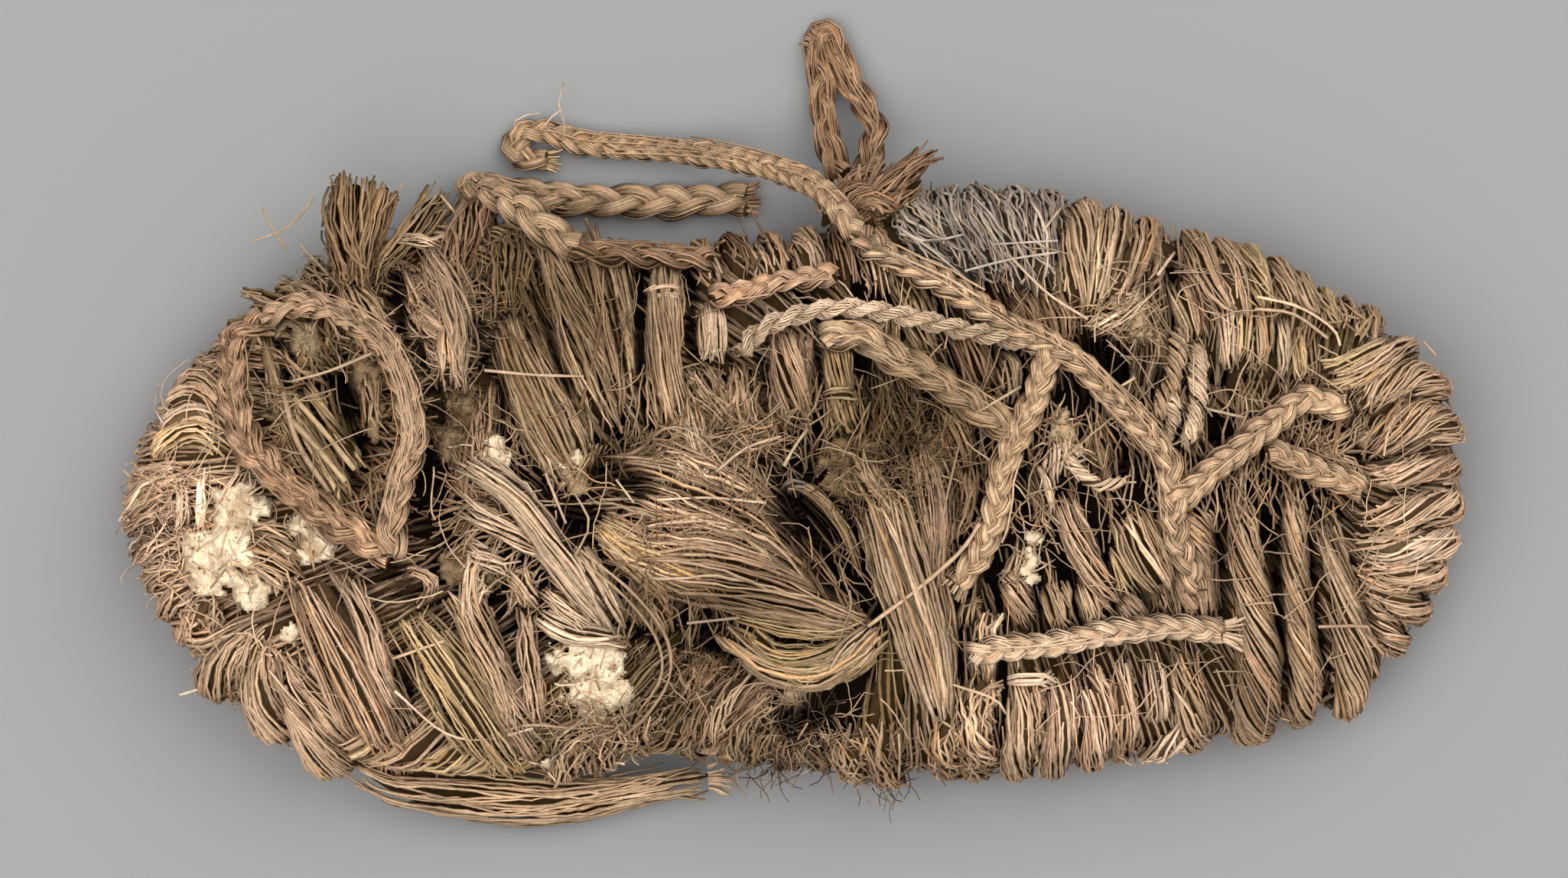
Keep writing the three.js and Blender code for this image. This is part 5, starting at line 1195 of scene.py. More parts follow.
    row(at=[(77.8, -3.7), (79.3, -10.4), (80.7, -17.6), (81.2, -24.8)], wide=[2.7, 3.3, 3.2, 2.4], col='pink', t=3.4, mess=0.3, lift=0.2),
    row(at=[(75.0, -6.6), (75.5, -14.2), (75.9, -21.4)], wide=[1.6, 1.8, 1.6], col='tan', t=3, mess=0.3, lift=0),
    row(at=[(71.1, -11.4), (72.1, -17.6), (73.1, -22.8)], wide=[1.6, 1.8, 1.6], col='tan', t=3, mess=0.35, lift=-0.5),
    row(at=[(71.1, -3.7), (73.5, -6.6), (75.0, -10.4)], wide=[1.2, 1.4, 1.3], col='light', t=2.4, mess=0.3, lift=0.8),
    row(at=[(87.4, 2.0), (86.5, -5.6), (86.5, -13.3)], wide=[1.4, 1.6, 1.4], col='pink', t=2.5, mess=0.3, lift=-3),
    row(at=[(28.9, -41.0), (26.4, -28.0), (22.3, -13.1), (18.3, 1.2)], wide=[3.6, 6.0, 6.8, 5.5], col='tan', t=4.4, mess=0.22, lift=2.6),
    row(at=[(26.9, -20.0), (28.7, -9.7), (29.8, -0.5), (28.7, 7.5)], wide=[1.7, 2.1, 2.3, 2.0], col='pink', t=2.6, mess=0.35, lift=1.6),
    row(at=[(24.1, -10.8), (19.5, -2.8), (14.9, 4.1), (13.2, 10.4)], wide=[2.6, 3.0, 2.9, 2.3], col='tan', t=2.6, mess=0.4, lift=1.4),
    row(at=[(36.7, -52.1), (35.5, -45.3), (36.7, -37.8), (39.6, -33.8)], wide=[4.0, 4.2, 3.4, 2.3], rim=1, col='tan', t=3.4, mess=0.9),
    row(at=[(30.4, -53.3), (29.8, -47.6), (31.5, -41.8)], wide=[3.4, 3.7, 2.5], rim=1, col='tan', t=3.2, mess=1.0),
    row(at=[(44.2, -54.2), (45.3, -46.4), (46.4, -39.5), (45.9, -32.6)], wide=[3.4, 3.6, 3.2, 2.5], rim=1, col='tan', t=3.8, mess=0.3),
    row(at=[(51.6, -53.9), (52.8, -46.4), (53.3, -39.5), (52.2, -33.2)], wide=[3.3, 3.4, 3.1, 2.4], rim=1, col='pink', t=3.8, mess=0.28),
    row(at=[(59.1, -52.7), (60.2, -45.3), (60.2, -38.9), (58.5, -32.1)], wide=[3.1, 3.2, 2.9, 2.3], rim=1, col='pink', t=3.8, mess=0.25),
    row(at=[(64.8, -50.4), (65.4, -43.5), (64.8, -37.2), (63.7, -30.9)], wide=[2.8, 2.9, 2.6, 2.1], rim=1, col='pink', t=3.8, mess=0.22),
    row(at=[(71.1, -46.4), (71.7, -40.7), (71.4, -35.5), (70.6, -29.8)], wide=[2.3, 2.5, 2.4, 2.0], rim=1, col='light', t=3.8, mess=0.15, lift=0.4),
    row(at=[(79.2, -48.1), (78.6, -40.7), (77.4, -34.4), (76.3, -28.0)], wide=[3.6, 3.8, 3.4, 2.6], rim=1, col='tan', t=4, mess=0.22, lift=0.6, tw=0.2),
    row(at=[(70.6, -51.6), (74.0, -47.6), (77.4, -43.5)], wide=[2.5, 2.8, 2.1], rim=1, col='light', t=3, mess=0.5, lift=0.4),
    row(at=[(41.9, -34.9), (46.4, -34.6), (51.6, -34.9)], wide=[0.8, 0.9, 0.7], col='light', t=1.2, mess=0.3, lift=2.5),
    row(at=[(37.3, -33.8), (37.8, -28.0), (38.4, -21.7)], wide=[2.9, 3.2, 2.5], col='light', t=2.8, mess=0.7, lift=0.2),
    row(at=[(41.9, -14.3), (44.2, -18.9), (46.4, -24.0)], wide=[2.5, 2.8, 2.3], col='pink', t=3, mess=0.25, lift=0),
    row(at=[(51.0, -16.6), (52.2, -20.6), (52.8, -24.6)], wide=[2.8, 2.9, 2.4], col='tan', t=3, mess=0.3, lift=0),
    row(at=[(57.4, -16.6), (58.5, -20.6), (59.1, -24.0)], wide=[2.3, 2.5, 2.2], col='tan', t=3, mess=0.3, lift=0),
    row(at=[(64.8, -18.9), (67.1, -21.7), (68.3, -24.6)], wide=[2.3, 2.5, 2.1], col='pink', t=3, mess=0.35, lift=-0.5),
    row(at=[(52.8, 1.2), (55.1, -6.2), (58.5, -13.1), (64.2, -21.2)], wide=[2.5, 3.0, 2.9, 2.3], col='pink', t=3, mess=0.25, lift=0.4),
    row(at=[(48.2, 5.8), (49.3, 0.7), (49.3, -3.9)], wide=[2.5, 2.6, 1.7], col='light', t=2.8, mess=0.4, lift=1.4),
    row(at=[(52.2, 12.1), (52.2, 8.7), (49.9, 4.7)], wide=[2.3, 2.5, 2.0], col='light', t=3, mess=0.4, lift=1),
    row(at=[(53.3, 9.3), (56.8, 4.7), (61.4, 3.0), (66.5, 4.7)], wide=[1.4, 1.6, 1.6, 1.1], col='light', t=2.4, mess=0.2, lift=2.2, tw=0.5),
    row(at=[(73.4, -17.7), (70.0, -12.0), (67.7, -6.8), (66.0, -2.2)], wide=[2.5, 4.5, 5.1, 3.6], col='tan', t=4, mess=0.35, lift=2.4),
    row(at=[(72.3, -15.4), (73.4, -10.2), (74.0, -5.1)], wide=[2.0, 2.3, 1.7], col='light', t=3, mess=0.4, lift=1.8),
    row(at=[(63.1, -9.1), (64.8, -14.3), (66.0, -18.9)], wide=[1.5, 1.8, 1.6], col='yellow', t=2.4, mess=0.4, lift=1.6),
    row(at=[(59.1, 13.9), (60.2, 8.7), (61.4, 5.3)], wide=[2.5, 2.6, 2.1], col='olive', t=2.5, mess=0.3, lift=-6),
    row(at=[(45.3, -7.4), (44.2, -12.0), (41.9, -15.4)], wide=[1.7, 2.0, 1.6], col='tan', t=2.4, mess=0.5, lift=0),
    row(at=[(78.0, -1.1), (79.2, -9.1), (78.0, -16.6), (76.9, -23.4)], wide=[3.4, 3.9, 3.4, 2.5], col='pink', t=3.4, mess=0.3, lift=1, tw=0.4),
    row(at=[(82.6, -21.7), (81.5, -16.6), (82.0, -9.7)], wide=[1.7, 2.0, 1.5], col='pink', t=2.6, mess=0.3, lift=0.6),
    row(at=[(33.8, -24.6), (35.0, -20.0), (37.3, -18.9)], wide=[1.7, 1.8, 1.5], col='olive', t=2.4, mess=0.5, lift=-1),
    row(at=[(-36.6, -24.0), (-42.3, -16.6), (-47.5, -8.5), (-53.8, 0.7), (-64.1, 8.7)], wide=[2.8, 3.1, 3.3, 3.1, 2.5], col='light', t=3.4, mess=0.2, lift=3),
    row(at=[(-45.8, -10.8), (-50.4, -9.1), (-56.7, -5.1), (-64.7, -1.1)], wide=[2.0, 2.4, 2.5, 2.2], col='light', t=2.8, mess=0.25, lift=2),
    row(at=[(-38.9, -25.7), (-43.5, -21.2), (-48.1, -16.6)], wide=[2.3, 2.6, 2.1], col='light', t=2.6, mess=0.3, lift=2),
    row(at=[(-49.2, -22.3), (-43.5, -25.7), (-33.1, -26.9)], wide=[2.5, 2.9, 2.0], col='light', t=2.6, mess=0.25, lift=2.6),
    row(at=[(15.6, -25.5), (7.0, -21.7), (-4.4, -16.6), (-17.6, -10.8), (-30.8, -7.4)], wide=[2.5, 4.7, 7.3, 9.2, 6.9], col='pink', t=5, mess=0.35, lift=1.4, tw=0.1),
    row(at=[(-24.0, -17.7), (-28.6, -13.1), (-33.1, -8.5), (-37.2, -4.5)], wide=[2.9, 3.6, 3.7, 2.5], col='yellow', t=3, mess=0.6, lift=0.6),
    row(at=[(13.9, -26.9), (5.3, -30.3), (-3.3, -29.8), (-9.0, -24.6)], wide=[1.6, 2.4, 2.6, 2.1], col='yellow', t=3, mess=0.3, lift=2.6),
    row(at=[(17.4, -28.6), (11.1, -33.8), (2.4, -34.9), (-3.9, -32.1)], wide=[1.1, 1.7, 2.0, 1.5], col='yellow', t=2.2, mess=0.35, lift=2.2),
    row(at=[(16.2, -24.6), (11.1, -28.0), (5.9, -33.8)], wide=[1.3, 1.6, 1.4], col='light', t=2, mess=0.3, lift=3.4),
    row(at=[(-19.4, -49.3), (-15.4, -42.4), (-10.2, -36.1), (-5.0, -33.2)], wide=[3.4, 3.8, 3.1, 2.0], rim=1, col='tan', t=3.4, mess=0.55),
    row(at=[(-13.1, -51.0), (-10.2, -44.7), (-6.7, -39.5), (-3.3, -34.9)], wide=[2.9, 3.2, 2.5, 1.7], rim=1, col='tan', t=3.2, mess=0.55),
    row(at=[(-7.9, -51.6), (-5.6, -46.4), (-2.7, -42.4)], wide=[2.9, 3.1, 2.3], rim=1, col='olive', t=3, mess=0.7),
    row(at=[(-1.6, -52.4), (-0.4, -47.6), (1.3, -44.1)], wide=[2.9, 3.1, 2.5], rim=1, col='dark', t=3, mess=0.8),
    row(at=[(5.3, -52.7), (5.3, -48.1), (5.9, -45.3)], wide=[2.6, 2.9, 2.3], rim=1, col='dark', t=3, mess=0.8),
    row(at=[(12.2, -55.0), (12.2, -49.3), (13.3, -43.5)], wide=[2.9, 3.1, 2.6], rim=1, col='tan', t=3.2, mess=1.1),
    row(at=[(18.5, -55.6), (17.9, -48.7), (17.4, -41.8)], wide=[3.1, 3.3, 2.9], rim=1, col='tan', t=3.2, mess=1.1),
    row(at=[(-18.2, -36.1), (-15.9, -32.6), (-13.6, -30.3)], wide=[2.3, 2.5, 2.0], col='brown', t=2.4, mess=0.6, lift=-2),
    row(at=[(-21.7, -38.9), (-19.4, -34.9), (-17.1, -31.5)], wide=[2.1, 2.3, 1.7], col='pink', t=2.4, mess=0.7, lift=-2),
    row(at=[(11.6, -12.5), (7.6, -5.1), (3.0, 0.1), (-1.0, 3.5)], wide=[1.5, 2.1, 2.2, 1.6], col='olive', t=2.6, mess=0.2, lift=-7),
    row(at=[(2.4, 0.7), (0.7, 3.5), (-1.0, 1.2)], wide=[1.5, 1.7, 1.3], col='grey', t=2, mess=0.5, lift=-1),
    row(at=[(-56.1, -45.3), (-57.8, -34.9), (-61.3, -25.7), (-64.7, -16.6)], wide=[3.1, 4.0, 4.2, 3.4], rim=0, col='tan', t=3.6, mess=0.35, lift=0.6),
    row(at=[(-50.4, -44.7), (-50.7, -36.1), (-51.5, -28.0), (-51.8, -20.0)], wide=[2.0, 2.3, 2.1, 1.4], col='pink', t=2.8, mess=0.45, lift=0.8),
    row(at=[(-46.3, -48.7), (-43.5, -45.3), (-38.3, -44.1), (-33.1, -45.3)], wide=[2.3, 2.5, 2.5, 1.7], col='tan', t=2.6, mess=1.0, lift=-0.5),
    row(at=[(-37.7, -53.3), (-36.6, -48.7), (-33.1, -43.0)], wide=[3.2, 3.4, 2.5], rim=1, col='tan', t=3, mess=1.0, lift=-0.5),
    row(at=[(-29.7, -49.3), (-29.7, -44.1), (-27.4, -38.4)], wide=[3.2, 3.4, 2.5], rim=1, col='tan', t=3, mess=1.0, lift=-0.5),
    row(at=[(-45.2, -55.0), (-44.6, -50.4), (-43.5, -46.4)], wide=[3.4, 3.6, 2.5], rim=1, col='tan', t=3, mess=0.9, lift=-0.8),
    row(at=[(-25.1, -25.7), (-25.7, -21.2), (-27.4, -17.7)], wide=[2.3, 2.5, 2.0], col='tan', t=2.4, mess=0.8, lift=0),
    row(at=[(-50.9, -20.0), (-52.1, -16.6), (-53.8, -13.1)], wide=[2.3, 2.6, 2.1], col='tan', t=2.6, mess=0.9, lift=0.6),
    row(at=[(-63.0, -8.5), (-60.1, -10.8), (-55.0, -13.1)], wide=[2.1, 2.4, 2.0], col='light', t=2.4, mess=0.8, lift=0.8),
    row(at=[(-64.7, -21.2), (-61.8, -18.9), (-59.0, -15.4)], wide=[1.5, 1.7, 1.3], col='light', t=2.2, mess=0.8, lift=1.2),
]
BUNDLES = [r for r in BUNDLES if not (r["rim"] and r["at"][0][0] > 113 and -31 < r["at"][0][1] < 32)]
BUNDLES += [
    # the coils round the toe's end
    row(at=[(122.5, 31), (117, 28), (111, 24.5), (104.5, 23)], wide=[2.77, 3.16, 2.37, 1.19], rim=1, col="tan", mess=0.4, t=3.4, lift=0.4, tw=0.05),
    row(at=[(128.5, 23), (121.5, 24), (115, 21), (111, 17)], wide=[3.64, 4.11, 3.32, 2.06], rim=1, col="tan", mess=0.3, t=5, lift=1.0, tw=0.34, thick=0.9, clump=0.24, plies=5),
    row(at=[(130.5, 14.5), (123.5, 16), (116, 12.5), (110.5, 9)], wide=[3.96, 4.43, 3.80, 2.37], rim=1, col="tan", mess=0.3, t=5.4, lift=1.2, tw=0.34, thick=0.9, clump=0.24, plies=5),
    row(at=[(131, 6.5), (124, 6), (117.5, 4.5), (111, 6)], wide=[3.01, 3.32, 2.69, 1.58], rim=1, col="pink", mess=0.35, t=4.4, lift=0.4, tw=0.34, thick=0.9, clump=0.24, plies=5),
    row(at=[(131, -1), (124, -1.5), (117, -3.5), (110, -3)], wide=[3.64, 3.96, 3.64, 2.37], rim=1, col="tan", mess=0.3, t=5.2, lift=1.0, tw=0.34, thick=0.9, clump=0.24, plies=5),
    row(at=[(130, -8.5), (123, -9), (116, -9.5), (109.5, -8)], wide=[3.48, 3.80, 3.48, 2.37], rim=1, col="light", mess=0.3, t=5, lift=0.9, tw=0.34, thick=0.9, clump=0.24, plies=5),
    row(at=[(128, -15.5), (122, -14.5), (116, -13.5), (110.5, -12)], wide=[3.32, 3.48, 2.85, 1.90], rim=1, col="pink", mess=0.35, t=4.6, lift=0.6, tw=0.34, thick=0.9, clump=0.24, plies=5),
    row(at=[(125, -22.5), (120, -20), (115, -17.5), (111, -14.5)], wide=[3.01, 3.32, 2.69, 1.74], rim=1, col="tan", mess=0.3, t=4.4, lift=0.7, tw=0.34, thick=0.9, clump=0.24, plies=5),
    row(at=[(120.5, -29.5), (117, -26), (113.5, -22), (109.8, -16.5)], wide=[3.01, 3.32, 2.69, 1.58], rim=1, col="pink", mess=0.3, t=4.4, lift=0.7, tw=0.34, thick=0.9, clump=0.24, plies=5),
    # the coil that stands between two dark gaps, with its binding
    row(at=[(-24.6, 48), (-25, 40), (-25.2, 31), (-25, 22), (-23.5, 14)], wide=[2.6, 3.7, 3.8, 3.6, 2.4], col="tan", mess=0.18, t=4.2, lift=1.0, tw=0.06, gaps=-1),
    row(at=[(-29.2, 39.6), (-25, 41.2), (-20.6, 39.8)], wide=[1.3, 1.7, 1.3], col="light", mess=0.2, t=1.6, lift=3.0, tw=0.02, gaps=0),
    row(at=[(-16, 37.5), (-16.6, 32), (-17, 27.4)], wide=[2.4, 2.9, 2.2], col="light", mess=0.2, t=3, lift=1.2, gaps=0),
    row(at=[(-1, 31.5), (-0.5, 24), (1, 15)], wide=[3.8, 3.9, 3.0], col="pink", mess=0.3, t=3.4, lift=0.2, gaps=0),
    row(at=[(9, 30.5), (9.4, 22), (10.6, 13)], wide=[3.0, 3.1, 2.4], col="yellow", mess=0.3, t=3.2, lift=0.2, gaps=0),
    row(at=[(6.4, 20.4), (9.6, 20.8), (12.6, 20)], wide=[1.1, 1.4, 1.1], col="yellow", mess=0.2, t=1.4, lift=2.4, gaps=0),
    row(at=[(-49, 50), (-46, 38), (-41, 24), (-36, 12)], wide=[4.2, 5.4, 5.6, 4.4], col="tan", mess=0.35, t=3.6, lift=0.6, tw=0.02, thick=1.15),
    row(at=[(-39, 51.5), (-36.5, 40), (-33.8, 28), (-32, 17)], wide=[4.0, 4.6, 4.2, 3.2], col="pink", mess=0.3, t=3.4, lift=0.4, tw=0.02, thick=1.1),
    row(at=[(-56, 33), (-52, 22), (-47, 11), (-43, 4)], wide=[3.2, 4.4, 4.4, 3.2], col="olive", mess=0.3, t=3.4, lift=0.2, tw=0.02, thick=1.2),
    row(at=[(-108, 41), (-101, 38.5), (-94, 34.5)], wide=[1.3, 1.9, 1.3], col="tan", mess=0.5, t=1.8, lift=3.6, tw=0.03, gaps=-1),
    row(at=[(-97, 42), (-91.5, 38), (-86, 31.5)], wide=[1.4, 2.1, 1.5], col="pink", mess=0.5, t=1.8, lift=3.4, tw=0.03, gaps=-1),
    row(at=[(-88, 42.5), (-85, 36.5), (-80.5, 27)], wide=[1.6, 2.3, 1.8], col="tan", mess=0.5, t=1.8, lift=3.4, tw=0.03, gaps=-1),
    # straight stems across the heel hole
    row(at=[(-103, 33), (-101, 20), (-97.4, 9), (-91, 0)], wide=[1.2, 1.4, 1.4, 1.2], col="olive", mess=0.2, t=1.6, lift=-2, tw=0.02, gaps=0, thick=1.2),
    row(at=[(-98.5, 22), (-94.5, 13.5), (-89.8, 5), (-86.5, -2)], wide=[1.6, 2.0, 2.2, 2.2], col="yellow", mess=0.2, t=2.2, lift=-3, tw=0.02, gaps=0, thick=1.35),
    row(at=[(-70.5, 47), (-69.5, 35), (-66.5, 25)], wide=[3.0, 4.4, 3.6], col="pink", mess=1.0, t=3.6, lift=0.9, tw=0.30, gaps=0),
    # broad blades beside the pit
    row(at=[(17, 0), (21, -12), (26, -27), (29, -42)], wide=[3.2, 4.4, 5.6, 3.0], col="light", mess=0.16, t=3.6, lift=1.6, tw=0.02, gaps=0, thick=1.5),
    row(at=[(25, 10), (26.5, 0), (27.5, -10), (29, -20)], wide=[3.6, 4.0, 3.4, 2.2], col="pink", mess=0.35, t=3, lift=0.2, tw=0.02, gaps=0),
    row(at=[(-0.4, 3.6), (5.4, 0.8), (9.8, -4.6), (12.0, -10), (13.0, -15)], wide=[1.4, 1.7, 1.6, 1.4, 1.0], col="olive", mess=0.25, t=1.8, lift=-5, tw=0.02, gaps=-1),
    row(at=[(-14, -25), (-6, -30.5), (3, -32.5), (11, -29.5), (17.5, -23.5)], wide=[2.2, 3.0, 3.2, 2.8, 1.8], col="yellow", mess=0.3, t=3, lift=1.6, tw=0.03, gaps=0, thick=1.15),
    row(at=[(-12, -29), (-4, -34.5), (5, -35.5), (13, -31.5), (18.5, -25)], wide=[1.2, 1.8, 2.0, 1.8, 1.2], col="tan", mess=0.4, t=2, lift=1.0, tw=0.03, gaps=0, thick=1.2),
    row(at=[(-12, -20), (-2, -23), (7, -24.5), (14, -23.5)], wide=[2.6, 3.4, 3.0, 1.8], col="yellow", mess=0.35, t=3, lift=1.2, tw=0.02, gaps=0),
    row(at=[(-42, -10), (-39, -16), (-35.5, -24.5)], wide=[2.8, 3.8, 4.4], col="light", mess=0.2, t=3, lift=1.6, tw=0.02, gaps=0, thick=1.4),
    row(at=[(-4, -35), (-10, -41), (-18, -47.5)], wide=[2.4, 3.2, 3.0], col="brown", mess=0.6, t=3, lift=0, tw=0.02, gaps=0),
    row(at=[(-38, -4), (-31, -8.5), (-23, -12), (-13, -16)], wide=[2.0, 4.6, 5.6, 5.0], col="yellow", mess=0.6, t=3.6, lift=0.8, tw=0.03, gaps=0),
    row(at=[(5, -17), (-4, -9), (-16, -2), (-29, 3), (-40, 3)], wide=[3, 5.5, 7, 6.5, 4], col="pink", mess=0.55, t=4, lift=0.2, tw=0.03),
    row(at=[(1, -7), (-8, 1), (-17, 7), (-26, 12)], wide=[2.2, 4.2, 5.2, 4.4], col="pink", mess=0.7, t=3, lift=-0.4, tw=0.04),
    row(at=[(-20, 20), (-22, 12), (-30, 6), (-38, 4)], wide=[3.4, 4.2, 4.6, 3.4], col="brown", mess=0.7, t=3, lift=-1.6, tw=0.04),
    row(at=[(30, 20), (33, 10), (33, 0), (30, -8)], wide=[3.2, 3.6, 3.2, 2.0], col="brown", mess=0.6, t=3, lift=-1.2, tw=0.1),
    row(at=[(-58, 22), (-60, 14), (-63, 6), (-64, -1)], wide=[3.6, 4.2, 3.6, 2.2], col="brown", mess=0.6, t=3, lift=-1.2, tw=0.1),
]
GROUPS = {"heel_bundles": [], "middle_bundles": [], "ball_bundles": [], "toe_bundles": []}
for r in BUNDLES:
    x = np.mean([p[0] for p in r["at"]])
    GROUPS["heel_bundles" if x < -62 else "middle_bundles" if x < 4 else "ball_bundles" if x < 66 else "toe_bundles"].append(r)
for name, rows in GROUPS.items():
    m = Fibre()
    for r in rows:
        bundle(m, r, wrap=4)
    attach(m.mesh(name, FIBRE), "root")

# ---------------------------------------------------------------- the under layer all round
UNDER = 84


def heel_sag(x, y):
    """How far the under layer hangs down into the hole at the heel."""
    d = np.hypot((np.asarray(x) + 88) / 11.5, (np.asarray(y) - 15) / 17.0)
    return 11.0 * np.clip(1.25 - d, 0, 0.55) / 0.55


for name, first, last in (("left_side_bundles", 0, UNDER // 2), ("right_side_bundles", UNDER // 2, UNDER)):
    m = Fibre()
    for i in range(first, last):
        k = int((i + 0.5) / UNDER * len(OUTLINE))
        k2 = (k + int(RNG.uniform(5, 12))) % len(OUTLINE)  # the wrap leans along the edge
        e = OUTLINE[k2] - OUTWARD[k2] * 1.0
        j = int((i + 0.5) / UNDER * TN)
        inner = THROAT_LOOP[j]
        rc, rn = around_rim(*(OUTLINE[k] - OUTWARD[k] * 1.0), 5)
        top, _ = around_rim(*e, 1)
        rc[-1] = (rc[-1] + top[-1]) / 2
        ts = np.array((0.10, 0.22, 0.36, 0.52, 0.70, 0.86))
        xy = OUTLINE[k2][None] * (1 - ts[:, None]) + inner[None] * ts[:, None]
        c, n = on_skin(xy, np.interp(ts, (0, 0.3, 1), (-5.0, -6.4, -6.8)) + RNG.uniform(-0.4, 0.4))
        c[:, 2] -= heel_sag(xy[:, 0], xy[:, 1])
        c = np.vstack([rc, c])
        n = np.vstack([rn, n])
        c[: len(rc)] -= rn * 2.4
        wide = 4.3 + RNG.uniform(-0.4, 0.5)
        half = np.r_[np.full(6, wide), wide, wide * 0.98, wide * 0.92, wide * 0.85, wide * 0.75, wide * 0.6]
        thick = np.r_[np.full(2, 1.7), np.full(4, 2.9), np.full(6, 2.8)]
        both = smooth(np.column_stack([c, n, half, thick]), n=22)
        fam = ("tan", "pink", "brown", "tan", "tan", "yellow")[int(RNG.integers(0, 6))]
        # painted shade: the part of each bundle that runs under the upper bundles is darkened (gain 0.55 to 0.42)
        lay(m, both[:, :3], unit(both[:, 3:6]), both[:, 6], both[:, 7], 0.54, fam, 0.4, float(RNG.uniform(0.5, 0.9)), step=4.0,
            ends=(0.04, 0.12), radius=(0.3, 0.5), gain=np.interp(np.linspace(0, 1, 22), (0, 0.42, 0.62, 1), (1.0, 1.0, 0.55, 0.42)),
            hairs=0.04, core=True, top=0.3, gaps=1.0)
    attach(m.mesh(name, FIBRE), "root")

# ---------------------------------------------------------------- the throat's torn edges
m = Fibre()
k = 560
j = RNG.integers(0, TN, k)
nxt = THROAT_LOOP[(j + 1) % TN] - THROAT_LOOP[(j - 1) % TN]
inward = unit(np.column_stack([-nxt[:, 1], nxt[:, 0]]))
q = 7
turn = RNG.normal(0, 0.34, k)
ct, st = np.cos(turn), np.sin(turn)
direction = np.column_stack([inward[:, 0] * ct - inward[:, 1] * st, inward[:, 0] * st + inward[:, 1] * ct])
reach = RNG.uniform(5, 13, k)
back = RNG.uniform(4, 11, k)
u = np.linspace(0, 1, q)[None, :]
along = -back[:, None] + (back + reach)[:, None] * u
px = THROAT_LOOP[j, 0][:, None] + direction[:, :1] * along + wave(k, q, 1.1, 1.2)
py = THROAT_LOOP[j, 1][:, None] + direction[:, 1:] * along + wave(k, q, 1.1, 1.2)
fall = np.maximum(0, along) / reach[:, None]
pz = skin(px, py) + RNG.uniform(-2.6, -0.2, (k, 1)) - fall ** 1.7 * RNG.uniform(2, 15, (k, 1))
p = np.stack([px, py, pz], -1)
r = np.repeat(RNG.uniform(0.16, 0.34, (k, 1)), q, 1)
# painted shade: stems are darker the further they fall into the throat
for fam, part in (("tan", slice(0, 170)), ("brown", slice(170, 350)), ("olive", slice(350, 470)), ("pink", slice(470, 560))):
    pp = p[part]
    m.tubes(pp, r[part], np.broadcast_to(np.array([0, 0, 1.0]), pp.shape).copy(),
            tints(fam, len(pp), q, shade=np.clip(0.84 - 0.50 * fall[part], 0.26, 1)), sides=3)
k = 300
ang = RNG.uniform(0, 2 * np.pi, k)
ex, ey = -88 + 11.0 * np.cos(ang), 15 + 16.5 * np.sin(ang)
turn = RNG.normal(0, 0.6, k)
nx, ny = -np.cos(ang + turn), -np.sin(ang + turn)
reach, back = RNG.uniform(3, 8, k), RNG.uniform(3, 8, k)
along = -back[:, None] + (back + reach)[:, None] * u
px = ex[:, None] + nx[:, None] * along + wave(k, q, 0.6, 1.2)
py = ey[:, None] + ny[:, None] * along + wave(k, q, 0.6, 1.2)
fall = np.maximum(0, along) / reach[:, None]
pz = skin(px, py) + RNG.uniform(-3.4, -0.8, (k, 1)) - fall ** 1.6 * RNG.uniform(3, 12, (k, 1))
p = np.stack([px, py, pz], -1)
r = np.repeat(RNG.uniform(0.22, 0.42, (k, 1)), q, 1)
# painted shade: stems are darker the further they fall into the heel hole
for fam, part in (("olive", slice(0, 160)), ("brown", slice(160, 300))):
    pp = p[part]
    m.tubes(pp, r[part], np.broadcast_to(np.array([0, 0, 1.0]), pp.shape).copy(),
            tints(fam, len(pp), q, shade=np.clip(0.85 - 0.5 * fall[part], 0.25, 1)), sides=3)
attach(m.mesh("torn_collar_edge", FIBRE), "root")

